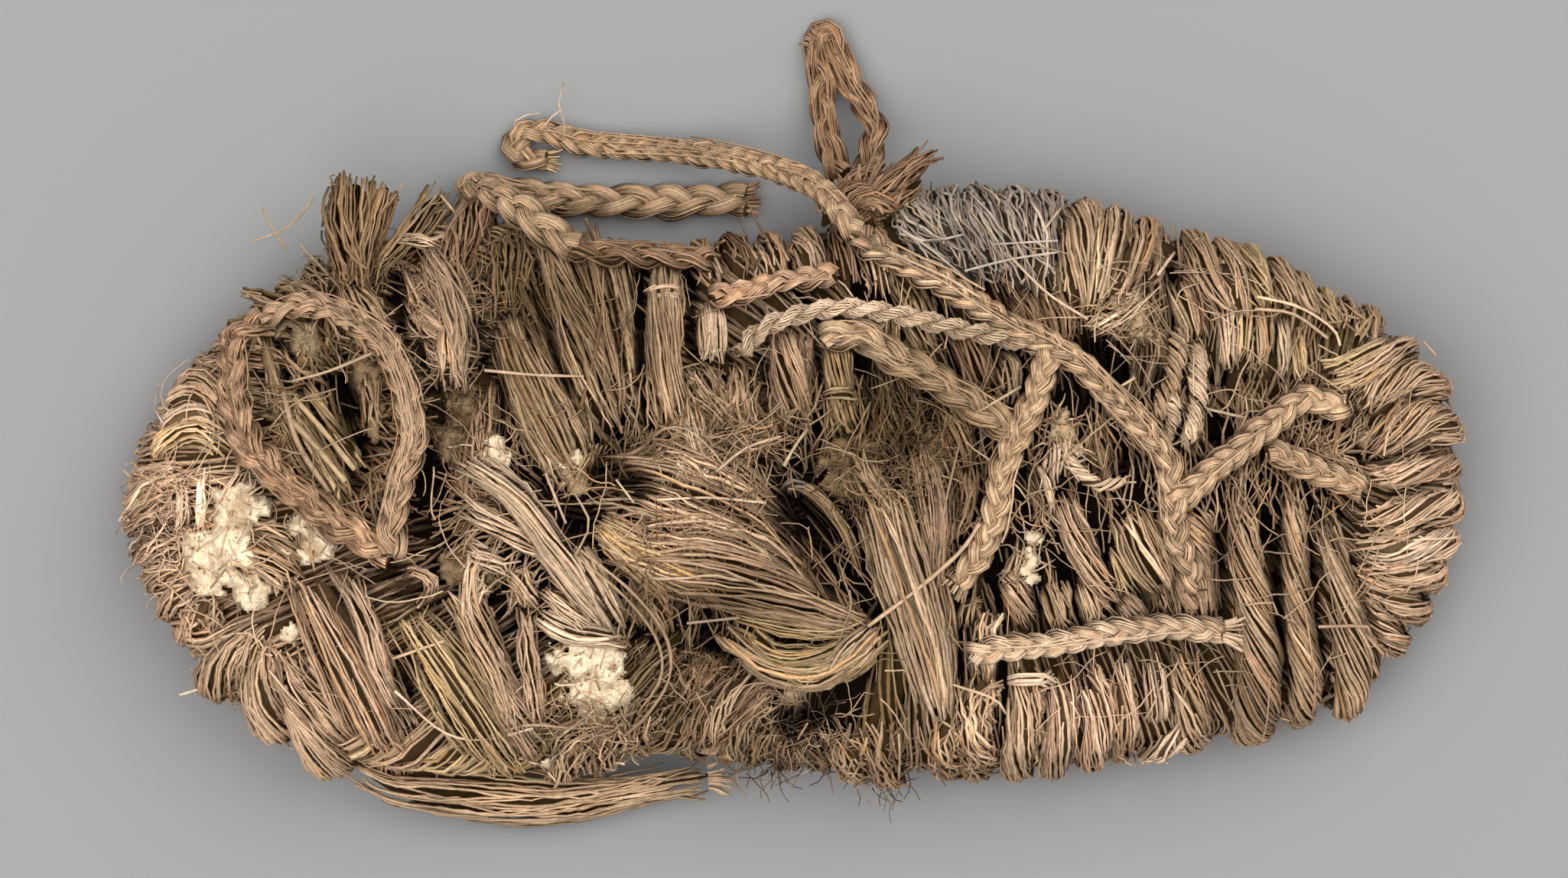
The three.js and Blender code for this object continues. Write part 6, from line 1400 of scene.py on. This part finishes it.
# ---------------------------------------------------------------- loose stems, crusts and frayed patches
# the loose stems: points in plan, radius, colour, height over the wall
STEMS = [
    ([(-105.8, 50.9), (-99, 53.7), (-93.8, 59.5)], 0.35, "tan", 4),
    ([(-104.1, 57.2), (-101.3, 52), (-99, 49.1)], 0.35, "tan", 4),
    ([(-96.7, 50.3), (-88.6, 41.7), (-81.2, 33.6), (-80.6, 29.1)], 0.45, "tan", 2),
    ([(-97.8, 23.3), (-90.4, 25.3), (-81.2, 29.1)], 0.5, "light", 2.2),
    ([(-118.5, 27.9), (-123.6, 23.3), (-123.6, 18.7), (-121.3, 17)], 0.3, "grey", 2),
    ([(-124.2, 23.3), (-125.4, 18.7), (-123.6, 15.3)], 0.3, "grey", 2),
    ([(-76.6, 62.3), (-80.6, 53.7)], 0.4, "tan", 2),
    ([(-69.1, 60), (-63.9, 53.7)], 0.4, "tan", 2),
    ([(-40.6, 55.5), (-37.2, 42.9), (-38, 31.4), (-41.2, 18.2)], 0.5, "rust", 2.2),
    ([(-60.1, 25.4), (-50.4, 24.5), (-40.6, 24.2)], 0.5, "light", 2.4),
    ([(-8.8, 59), (-6.7, 54.4), (-4.4, 50.4)], 0.35, "dark", 1.5),
    ([(-10.2, 55), (-8.8, 51.8)], 0.35, "dark", 1.5),
    ([(-14.8, 5.6), (-9, 10.2), (-2.1, 12.5)], 0.5, "light", 3),
    ([(-1.6, 6.7), (0.7, 10.8), (3, 13.9)], 0.6, "light", 3),
    ([(-120.5, -38.4), (-116.8, -37.3)], 0.5, "light", 2),
    ([(-78, -30.9), (-68, -27.5)], 0.5, "tan", 2),
    ([(-77.7, -37.3), (-68.5, -45.3), (-60.5, -47), (-50.7, -44.7)], 0.5, "light", 2.2),
    ([(-42.3, 1.2), (-39.5, -4.5), (-42.3, -10.8)], 0.5, "tan", 3),
    ([(-41.2, -9.7), (-30.8, -18.3), (-24.5, -26.9), (-24, -34.9), (-28.6, -42.4), (-33.1, -46.4)], 0.5, "tan", 2.6),
    ([(-42.3, -10.8), (-32.6, -18.9), (-26.3, -27.5), (-25.7, -34.9), (-30.3, -41.8)], 0.45, "tan", 2.2),
    ([(-48.1, 5.3), (-44.1, -4.5)], 0.45, "light", 2.4),
    ([(-34.3, 4.1), (-30.8, -0.5)], 0.45, "light", 2.4),
    ([(-26.3, 0.1), (-15.9, 0.5), (-5, -0.5)], 0.45, "light", 2),
    ([(-59.5, -46.4), (-52.1, -44.1), (-43.5, -44.7)], 0.45, "tan", 2),
    ([(-20.5, -24), (-10.2, -22.9)], 0.5, "light", 2),
    ([(-12.5, -24.6), (-8.5, -28.6), (-4.4, -31.5)], 0.5, "tan", 2),
    ([(14.9, -24.6), (24.1, -17.7), (32.7, -10.2), (36.7, -4.5)], 0.5, "tan", 2.6),
    ([(14.9, 1.8), (20, 2.1), (23.5, -1.6)], 0.45, "tan", 2.2),
    ([(29.2, -9.7), (29.8, -1.6), (32.7, 11)], 0.45, "tan", 2.2),
    ([(31.5, -36.1), (39.6, -38.9), (41.9, -41.8)], 0.5, "tan", 2),
    ([(53.3, 57.8), (51, 55), (49.3, 52.7)], 0.5, "light", 2.6),
    ([(33.8, 44.9), (43, 47.2), (52.2, 48.6)], 0.45, "grey", 3),
    ([(39, 50.1), (52.2, 50.9)], 0.4, "grey", 3),
    ([(41.9, 48.6), (49.9, 40.6), (57.9, 35.4)], 0.5, "light", 2.8),
    ([(20.6, 53.8), (27.5, 48.9), (33.8, 43.5)], 0.4, "grey", 2.8),
    ([(36.1, 17.1), (44.7, 22.2)], 0.5, "light", 2.4),
    ([(64.2, 22.2), (67.1, 24)], 0.5, "light", 2.4),
    ([(71.7, 44.1), (75.1, 48.6)], 0.5, "light", 2.4),
    ([(91.2, 39.9), (99.4, 37.9), (106.1, 33.6), (107.5, 30.3)], 0.5, "light", 2.6),
    ([(90.8, 37.5), (98.4, 36.5), (105.1, 31.7)], 0.5, "tan", 2.4),
    ([(124.2, 31.2), (126.6, 28.4)], 0.35, "tan", 2),
    ([(81.2, 17.9), (88.4, 16.2)], 0.5, "light", 2),
    ([(88.8, -20.5), (94.1, -20), (95.1, -22.4)], 0.45, "tan", 2.6),
    ([(103.2, -24.8), (112.8, -24.8), (113.7, -26.7)], 0.5, "tan", 2.6),
]
# crusts and clods: middle, half sizes, kind, height
CLODS = [
    (-108.2, -1.1, 4.6, 4, "crust", 2),
    (-112.2, -10, 6.4, 4.9, "crust", 2.2),
    (-112.7, -16, 4.6, 2.3, "crust", 1.6),
    (-105.8, -17.8, 2.9, 2.9, "crust", 1.6),
    (-94.1, -6.8, 4.3, 4.1, "crust", 1.8),
    (-39.5, -30.6, 6.3, 3.8, "crust", 2.2),
    (-38.3, -37.8, 5.2, 4, "crust", 2),
    (0.4, -38.6, 2.3, 1.8, "tan", 1.2),
    (-47.5, -52.1, 1.7, 1.1, "crust", 1),
    (-94.3, 32.5, 5.8, 4.6, "soil", 1.8),
    (-58.8, 8.7, 2.9, 3.2, "crust", 1.2),
    (66, 37.5, 3.5, 3.8, "tan", 1.8),
    (52.8, 12.6, 2.3, 4.5, "tan", 1.6),
    (47.9, 1.6, 2, 3.2, "dust", 0.8),
    (56, 9.8, 1.4, 1.2, "grain", 0.8),
    (-98.4, -26.4, 1.7, 2.3, "grain", 1),
    (-19.4, 6.1, 3.5, 2.6, "grain", 1),
    (-43.1, 7.8, 3.1, 2, "grain", 1),
    (47.4, -7, 1.5, 1.5, "crust", 0.8),
    (46.8, -13.4, 1.8, 2.4, "crust", 0.9),
    (46.2, -10, 1, 1.2, "crust", 0.6),
    (-66, 31, 2.6, 3.4, "tan", 1),
    (-88, 45.5, 3, 1.8, "tan", 1),
    (68, 33, 3, 2.4, "tan", 0.8),
    (-81.5, 17, 2, 5, "dust", 1),
    (-42, 4.4, 2.8, 3, "tan", 1.6),
    (-17.5, 9.5, 1.9, 5, "tan", 0.8),
    (-19, 4.4, 7, 1.6, "grain", 0.8),
    (-94, 30.5, 3.6, 1.9, "tan", 0.8),
    (-8, 16, 7, 6, "dust", 1),
    (12, 6, 6, 5.5, "dust", 0.9),
    (-28, 6, 5, 3.2, "dust", 0.8),
    (-64, 15, 6, 7, "dust", 1),
    (-27, -20, 5, 4.5, "dust", 1),
    (-83, 25, 4, 4, "dust", 0.8),
    (30, 10, 5, 5, "dust", 0.8),
    (-62, -13, 6, 4, "dust", 1),
    (-12, -40, 6, 4, "dust", 0.8),
    (70, 30, 4, 5, "dust", 0.6),
]
# frayed patches: middle, half sizes, colour, count, lengths
FUZZ = [
    (22.6, 8.4, 12.9, 7.2, "olive", 330, (6, 15)),
    (-14.8, 9.8, 13.8, 5.8, "pink", 260, (5, 13)),
    (-28, 4.3, 8.6, 7.8, "brown", 120, (5, 12)),
    (29.2, 14, 9.2, 5.9, "olive", 260, (4, 11)),
    (-64.2, 14.9, 7.2, 10.1, "dark", 260, (4, 11)),
    (-12.2, 12.8, 10, 10.1, "olive", 360, (4, 12)),
    (-96.3, 42.2, 3.8, 2.9, "tan", 50, (3, 6)),
    (-2.7, -49.5, 13.8, 3.2, "brown", 260, (5, 12)),
    (17.9, -51.9, 6.8, 4.3, "brown", 160, (5, 12)),
    (-23.4, -21.1, 9.8, 9.2, "brown", 160, (4, 10)),
    (-78.6, -36.1, 4.3, 7.5, "dark", 90, (4, 9)),
    (-55, -43.2, 6.8, 7.1, "pink", 140, (5, 12)),
    (102.2, 11.4, 5.8, 5, "dark", 80, (4, 9)),
    (58.5, 34.3, 8.6, 8.6, "brown", 120, (4, 10)),
    (-59.4, 38, 9.1, 10.1, "pink", 150, (4, 10)),
    (-78, 44, 6, 5, "brown", 200, (4, 9)),
    (-60, 46, 4.5, 5, "brown", 130, (4, 9)),
    (66, 34, 4, 4, "tan", 120, (3, 7)),
    (-68, 37, 4.5, 9, "pink", 260, (3, 7)),
    (-123.5, -3.5, 7, 9, "pink", 320, (2.5, 6)),
    (-8, 15, 8, 8, "pink", 260, (4, 10)),
    (-18, -37, 6, 8, "brown", 260, (5, 12)),
    (-64, 17, 6, 7, "dark", 160, (4, 10)),
    (12, 4, 5, 6, "olive", 160, (5, 12)),
    (-30, 8, 8, 4, "olive", 120, (4, 10)),
]
m = Fibre()
for pts, r, col, lift in STEMS:
    stem(m, pts, r * 0.66, col, lift + 0.4, gain=0.88, bright=(0.3, 0.9))
# pale stems that cross the heel hole
for pts in (((-97.3, 20), (-91.4, 13.4), (-85.4, 6)), ((-98.3, 16), (-93, 10.4), (-87.3, 3.6)), ((-99.6, 21), (-96.6, 11), (-90.5, 1.5))):
    stem(m, pts, 0.64, "tan", -1.0, gain=0.90, bright=(0.45, 0.95))
stem(m, ((14.9, -24.6), (24.1, -17.7), (32.7, -10.2), (36.7, -4.5)), 0.5, "tan", 4.4, gain=1.0, bright=(0.5, 0.95))
# the slipped bundle along the lower edge
SLIPPED = [(-87, -52.5, 13.5), (-79, -56.0, 12.0), (-68, -57.6, 10.5), (-58, -59.2, 9.6), (-47, -60.2, 9.2), (-35, -59.0, 9.4), (-24, -56.8, 10), (-16.5, -55.6, 10.6)]
path = smooth(SLIPPED, step=3)
up = unit(np.tile((0.0, -0.35, 1.0), (len(path), 1)))
path = path + np.array((0, 0.9, 0))
half = profile([3.0, 5.0, 6.0, 5.8, 4.8, 3.4, 2.6, 2.6], len(path))
lay(m, path, up, half, half * 0.75, 1.1, "tan", 0.6, 0.15, ends=(0.08, 0.06), early=0.35, gain=1.12, hairs=0.3)
frayed(m, path[-1], (1, 0.08, 0.05), "light", k=22, length=5.0, spread=0.5)
# the knot of the looped tie, with its cut ends
KNOT = (12.4, 57.5, 25.0)
for a, b, k, ln, fam in ((-0.1, 1.0, 16, 9, "rust"), (-0.9, 0.4, 10, 8, "brown"), (0.5, 0.75, 16, 12, "rust"), (0.3, -1.0, 18, 9, "rust")):
    frayed(m, KNOT, (a, b, 0.2), fam, k=k, length=ln, spread=0.42, width=2.6)
for pts, w, fam in ((((11, 55.5, 25), (16.5, 59.5, 26.5), (22.5, 64.2, 26), (28.8, 69.0, 24)), (3.0, 3.2, 2.2, 0.7), "rust"),
                    (((13, 55, 26), (19, 58, 27.5), (25.5, 62.8, 27)), (2.6, 2.6, 0.8), "brown"),
                    (((10, 57, 24), (13, 62.5, 25), (18.5, 66.0, 24)), (2.4, 2.2, 0.8), "rust")):
    path = smooth(pts, step=2)
    half = profile(w, len(path))
    lay(m, path, up_for(path), half, half * 0.8, 1.3, fam, 0.6, 0.1, ends=(0.03, 0.3), early=0.4, hairs=0.3)
path = smooth([(6.5, 54.5, 30.5), (9, 58.2, 27.5), (12.5, 60, 26.5), (16.5, 58.6, 27.5), (19, 54.8, 30)], step=1.5)
lay(m, path, up_for(path), np.full(len(path), 2.6), np.full(len(path), 2.4), 1.2, "rust", 0.4, 0.6, hairs=0.2)
# fine hairs at the long tie's curled end
for pts in (((-45.5, 70, 4), (-44.8, 74, 7), (-46, 78, 8), (-45, 82.5, 6)), ((-50, 72.5, 4), (-47.5, 75.5, 6), (-45.5, 77, 7)), ((-55, 73.0, 4), (-54, 75.5, 6), (-50, 76.3, 5))):
    stem(m, pts, 0.16, "light", free=True)
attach(m.mesh("loose_stems", FIBRE), "root")

m = Fibre()
for x, y, hx, hy, col, k, ln in FUZZ:
    for fam, part in ((col, 0.32), ("brown" if col in ("olive", "dark") else "tan", 0.24)):
        fuzz(m, (x, y), (hx, hy), int(k * part), fam, (ln[0] * 0.7, ln[1] * 0.8))
for x, y, hx, hy, kind, tall in CLODS:
    if kind in ("crust", "tan"):
        fuzz(m, (x, y), (hx * 1.1, hy * 1.1), 4 + int(hx * hy * (0.35 if kind == "crust" else 2.2)), "light" if kind == "crust" else "tan", (3, 8), r=(0.14, 0.30), lift=(tall * 0.1, tall * 0.9), curl=0.9)
# broken fibres that lie over the bundles
for x, y, hx, hy, fam, k in ((-24, -11, 9, 5, "brown", 130), (-12, -3, 8, 4, "brown", 70), (-68, 37, 4.2, 7.5, "pink", 150), (-122, -4, 6, 10, "tan", 80),
                             (-36, -45, 9, 4, "tan", 80), (3, -44, 8, 4, "tan", 70), (22, 4, 8, 6, "olive", 80), (-8, 14, 8, 5, "pink", 70)):
    fuzz(m, (x, y), (hx, hy), k, fam, (5, 11), lift=(0.6, 3.6))
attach(m.mesh("frayed_fibre", FIBRE), "root")

# fine hairs that stand out all round the edge and over the whole wall
m = Fibre()
k, q = 200, 7
j = RNG.integers(0, len(OUTLINE), k)
ang = np.arctan2(OUTWARD[j, 1], OUTWARD[j, 0]) + RNG.normal(0, 0.9, k)
d = ang[:, None] + np.cumsum(RNG.normal(0, 0.5, (k, q)), 1)
ln = RNG.uniform(2.5, 5.5, (k, 1)) / q
start = OUTLINE[j] - OUTWARD[j] * RNG.uniform(2.5, 5, (k, 1))
px, py = start[:, :1] + np.cumsum(np.cos(d) * ln, 1), start[:, 1:] + np.cumsum(np.sin(d) * ln, 1)
pz = RNG.uniform(5, 30, (k, 1)) + np.cumsum(RNG.normal(0, 0.5, (k, q)), 1)
p = np.stack([px, py, np.maximum(0.6, pz)], -1)
r = np.repeat(RNG.uniform(0.10, 0.22, (k, 1)), q, 1)
m.tubes(p, r, np.broadcast_to(np.array([0, 0, 1.0]), p.shape).copy(), tints("tan", k, q), sides=3)
k, q = 560, 8
x = RNG.uniform(-122, 122, k)
f = RNG.uniform(0.04, 0.96, k)
y = (edge_y(x, -1) * f + edge_y(x, 1) * (1 - f)) - MIDDLE_Y
d = np.where(RNG.uniform(0, 1, k) < 0.6, np.pi / 2, 0)[:, None] + RNG.normal(0, 0.45, (k, 1)) + np.cumsum(RNG.normal(0, 0.20, (k, q)), 1)
ln = RNG.uniform(6, 20, (k, 1)) / q
px, py = x[:, None] + np.cumsum(np.cos(d) * ln, 1), y[:, None] + np.cumsum(np.sin(d) * ln, 1)
inside = ((py < edge_y(px, 1) - MIDDLE_Y - 2) & (py > edge_y(px, -1) - MIDDLE_Y + 2) & (np.abs(px) < 126)).all(1)
px, py = px[inside], py[inside]
k = len(px)
pz = skin(px, py) + RNG.uniform(0.2, 2.2, (k, 1)) + wave(k, q, 0.8, 1.0)
p = np.stack([px, py, pz], -1)
r = np.repeat(RNG.uniform(0.09, 0.21, (k, 1)), q, 1)
m.tubes(p, r, np.broadcast_to(np.array([0, 0, 1.0]), p.shape).copy(), tints("tan", k, q, 0.1, 0.95, shade=np.full((k, q), 0.88)), sides=3)
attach(m.mesh("stray_fibre", FIBRE), "root")

def fbm(x, y, scale, seed, octaves=4):
    out = np.zeros(x.shape)
    for i in range(x.shape[0]):
        for j in range(x.shape[1]):
            out[i, j] = noise.fractal(Vector((x[i, j] * scale, y[i, j] * scale, seed)), 0.9, 2.1, octaves)
    return out


def crusts(name, kinds, material, shade, cell=0.5):
    """Rough patches that come up between the stems: closed height fields over oval places of the wall."""
    m = Fibre()
    for i, (x, y, hx, hy, kind, tall) in enumerate(CLODS):
        if kind not in kinds:
            continue
        if kind == "crust":
            hx, hy = hx * 1.18, hy * 1.18
        rx, ry = hx * 1.45, hy * 1.45
        nx, ny = max(8, int(2 * rx / cell)), max(8, int(2 * ry / cell))
        gx, gy = np.meshgrid(np.linspace(x - rx, x + rx, nx), np.linspace(y - ry, y + ry, ny), indexing="ij")
        big, fine = fbm(gx, gy, 0.30, 3.0 * i), fbm(gx, gy, 1.15, 7.0 * i + 2)
        ragged = fbm(gx, gy, 0.62, 5.0 * i + 1)
        away = ((gx - x) / hx) ** 2 + ((gy - y) / hy) ** 2
        mask = 1.10 - away + (1.25 * big + 0.95 * ragged) * np.clip(1.95 - away, 0, 1)
        hill = np.where(mask > 0, np.sqrt(np.clip(mask, 0, 1)) * tall * 0.95, mask * 7.0)
        dip = groove(gx, gy) * 0.85
        z = skin(gx, gy) - dip - (3.0 if kind == "dust" else 1.3) + np.clip(hill, -7.6, 9) + fine * (0.85 if kind == "crust" else 1.1) + np.abs(big) * 1.0
        z = z + RNG.normal(0, 0.10 if kind in ("crust", "grain") else 0.32, z.shape)
        low = np.minimum(z - 0.6, skin(gx, gy) - dip - 8.5)
        idx = np.arange(nx * ny).reshape(nx, ny)
        top = np.stack([gx, gy, z], -1).reshape(-1, 3)
        bottom = np.stack([gx, gy, low], -1).reshape(-1, 3)
        a, b, c, d = idx[:-1, :-1], idx[1:, :-1], idx[1:, 1:], idx[:-1, 1:]
        near = np.minimum.reduce([mask[:-1, :-1], mask[1:, :-1], mask[1:, 1:], mask[:-1, 1:]]) > -0.55
        for _ in range(60):  # cells that touch only at a corner get a neighbour
            x1 = near[:-1, :-1] & near[1:, 1:] & ~near[1:, :-1] & ~near[:-1, 1:]
            x2 = near[1:, :-1] & near[:-1, 1:] & ~near[:-1, :-1] & ~near[1:, 1:]
            if not (x1.any() or x2.any()):
                break
            near[1:, :-1] |= x1
            near[:-1, :-1] |= x2
        if not near.any():
            continue
        up = np.stack([a, b, c, d], -1)[near]
        dn = np.stack([a, d, c, b], -1)[near] + nx * ny
        pad = np.pad(near, 1)
        walls = []
        for p0, p1, other in ((a, b, pad[1:-1, :-2]), (b, c, pad[2:, 1:-1]), (c, d, pad[1:-1, 2:]), (d, a, pad[:-2, 1:-1])):
            e = near & ~other
            walls.append(np.stack([p0[e], p0[e] + nx * ny, p1[e] + nx * ny, p1[e]], -1))
        quads = np.concatenate([up, dn] + walls)
        used, back_to = np.unique(quads, return_inverse=True)
        m.close()
        tt = np.ones((len(used), 4))
        tt[:, :3] = shade
        m.add(np.vstack([top, bottom])[used] * MM, tt, back_to.reshape(quads.shape), 4)
    o = m.mesh(name, material)
    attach(o, "root")


crusts("lime_crusts", ("crust", "grain"), PLASTER, (0.8, 0.7, 0.5))
crusts("dust_lumps", ("tan",), LUMP, (0.4, 0.3, 0.2))
crusts("soil_lumps", ("soil",), SOIL, (0.2, 0.15, 0.1))
crusts("matted_dust", ("dust",), DUST, (0.2, 0.15, 0.1), cell=0.6)

# ---------------------------------------------------------------- underside and inside of the sole
m = Fibre()
for i, y in enumerate(np.arange(-42, 43, 6.6)):
    xs = np.linspace(-120, 120, 161)
    ok = (edge_y(xs, 1) - MIDDLE_Y - 14 > y) & (edge_y(xs, -1) - MIDDLE_Y + 14 < y)
    xs = xs[ok]
    if len(xs) < 12:
        continue
    xs = np.linspace(xs[0], xs[-1], 40)
    arch = np.where((xs > -45) & (xs < 25), ARCH * np.sin(np.pi * (xs + 45) / 70) ** 2, 0)
    c = np.column_stack([xs, np.full(40, y), 2.95 + spring(xs) + arch])
    braid(m, c, np.tile((0, 0, -1.0), (40, 1)), width=6.6, thick=2.6, col=("tan", "pink")[i % 2], stems=4, pitch=18, step=5.0, gain=0.85, seed_phase=i, radius=(0.34, 0.46))
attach(m.mesh("underside_braids", BRAIDED), "root")

m = Fibre()
for i, y in enumerate(np.arange(-36, 37, 7.0)):
    xs = np.linspace(-112, 112, 161)
    ok = (edge_y(xs, 1) - MIDDLE_Y - 15 > y) & (edge_y(xs, -1) - MIDDLE_Y + 15 < y)
    xs = xs[ok]
    if len(xs) < 12:
        continue
    xs = np.linspace(xs[0], xs[-1], 30)
    c = np.column_stack([xs, np.full(30, y), 13.7 + spring(xs)])
    braid(m, c, np.tile((0, 0, 1.0), (30, 1)), width=7.4, thick=2.4, col="brown", stems=3, pitch=20, step=8.0, gain=0.5, seed_phase=i, radius=(0.4, 0.55))
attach(m.mesh("inner_sole_braids", BRAIDED), "root")

# ---------------------------------------------------------------- floor and light
floor_me = bpy.data.meshes.new("floor")
S = 6.0
floor_me.from_pydata([(-S, -S, 0), (S, -S, 0), (S, S, 0), (-S, S, 0)], [], [(0, 1, 2, 3)])
floor = bpy.data.objects.new("floor", floor_me)
bpy.context.scene.collection.objects.link(floor)
fm, nt, bsdf = nodes_of("floor_paper")
fn = nt.nodes.new("ShaderNodeTexNoise")
fn.inputs["Scale"].default_value = 3
fr = nt.nodes.new("ShaderNodeValToRGB")
fr.color_ramp.elements[0].color = (0.251, 0.252, 0.255, 1)
fr.color_ramp.elements[1].color = (0.258, 0.259, 0.262, 1)
nt.links.new(fn.outputs["Fac"], fr.inputs["Fac"])
nt.links.new(fr.outputs["Color"], bsdf.inputs["Base Color"])
bsdf.inputs["Roughness"].default_value = 0.95
bsdf.inputs["Specular IOR Level"].default_value = 0.1
floor_me.materials.append(fm)


def area(name, loc, size, power, colour=(1, 1, 1)):
    d = bpy.data.lights.new(name, "AREA")
    d.shape = "DISK"
    d.size = size
    d.energy = power
    d.color = colour
    o = bpy.data.objects.new(name, d)
    bpy.context.scene.collection.objects.link(o)
    o.location = loc
    o.rotation_euler = (Vector((0, 0, 0.02)) - Vector(loc)).to_track_quat("-Z", "Y").to_euler()
    return o


area("key", (-0.75, -0.6, 2.5), 2.3, 47, (1.0, 0.985, 0.955))
area("fill", (0.85, 0.95, 2.3), 2.2, 39, (1.0, 0.99, 0.97))
area("top", (0.0, 0.0, 3.0), 2.6, 26)
world = bpy.data.worlds.new("studio")
bpy.context.scene.world = world
world.use_nodes = True
world.node_tree.nodes["Background"].inputs[0].default_value = (1, 1, 1, 1)
world.node_tree.nodes["Background"].inputs[1].default_value = 0.56
bpy.context.scene.view_settings.view_transform = "Standard"

print("triangles", COUNTS, sum(COUNTS.values()))
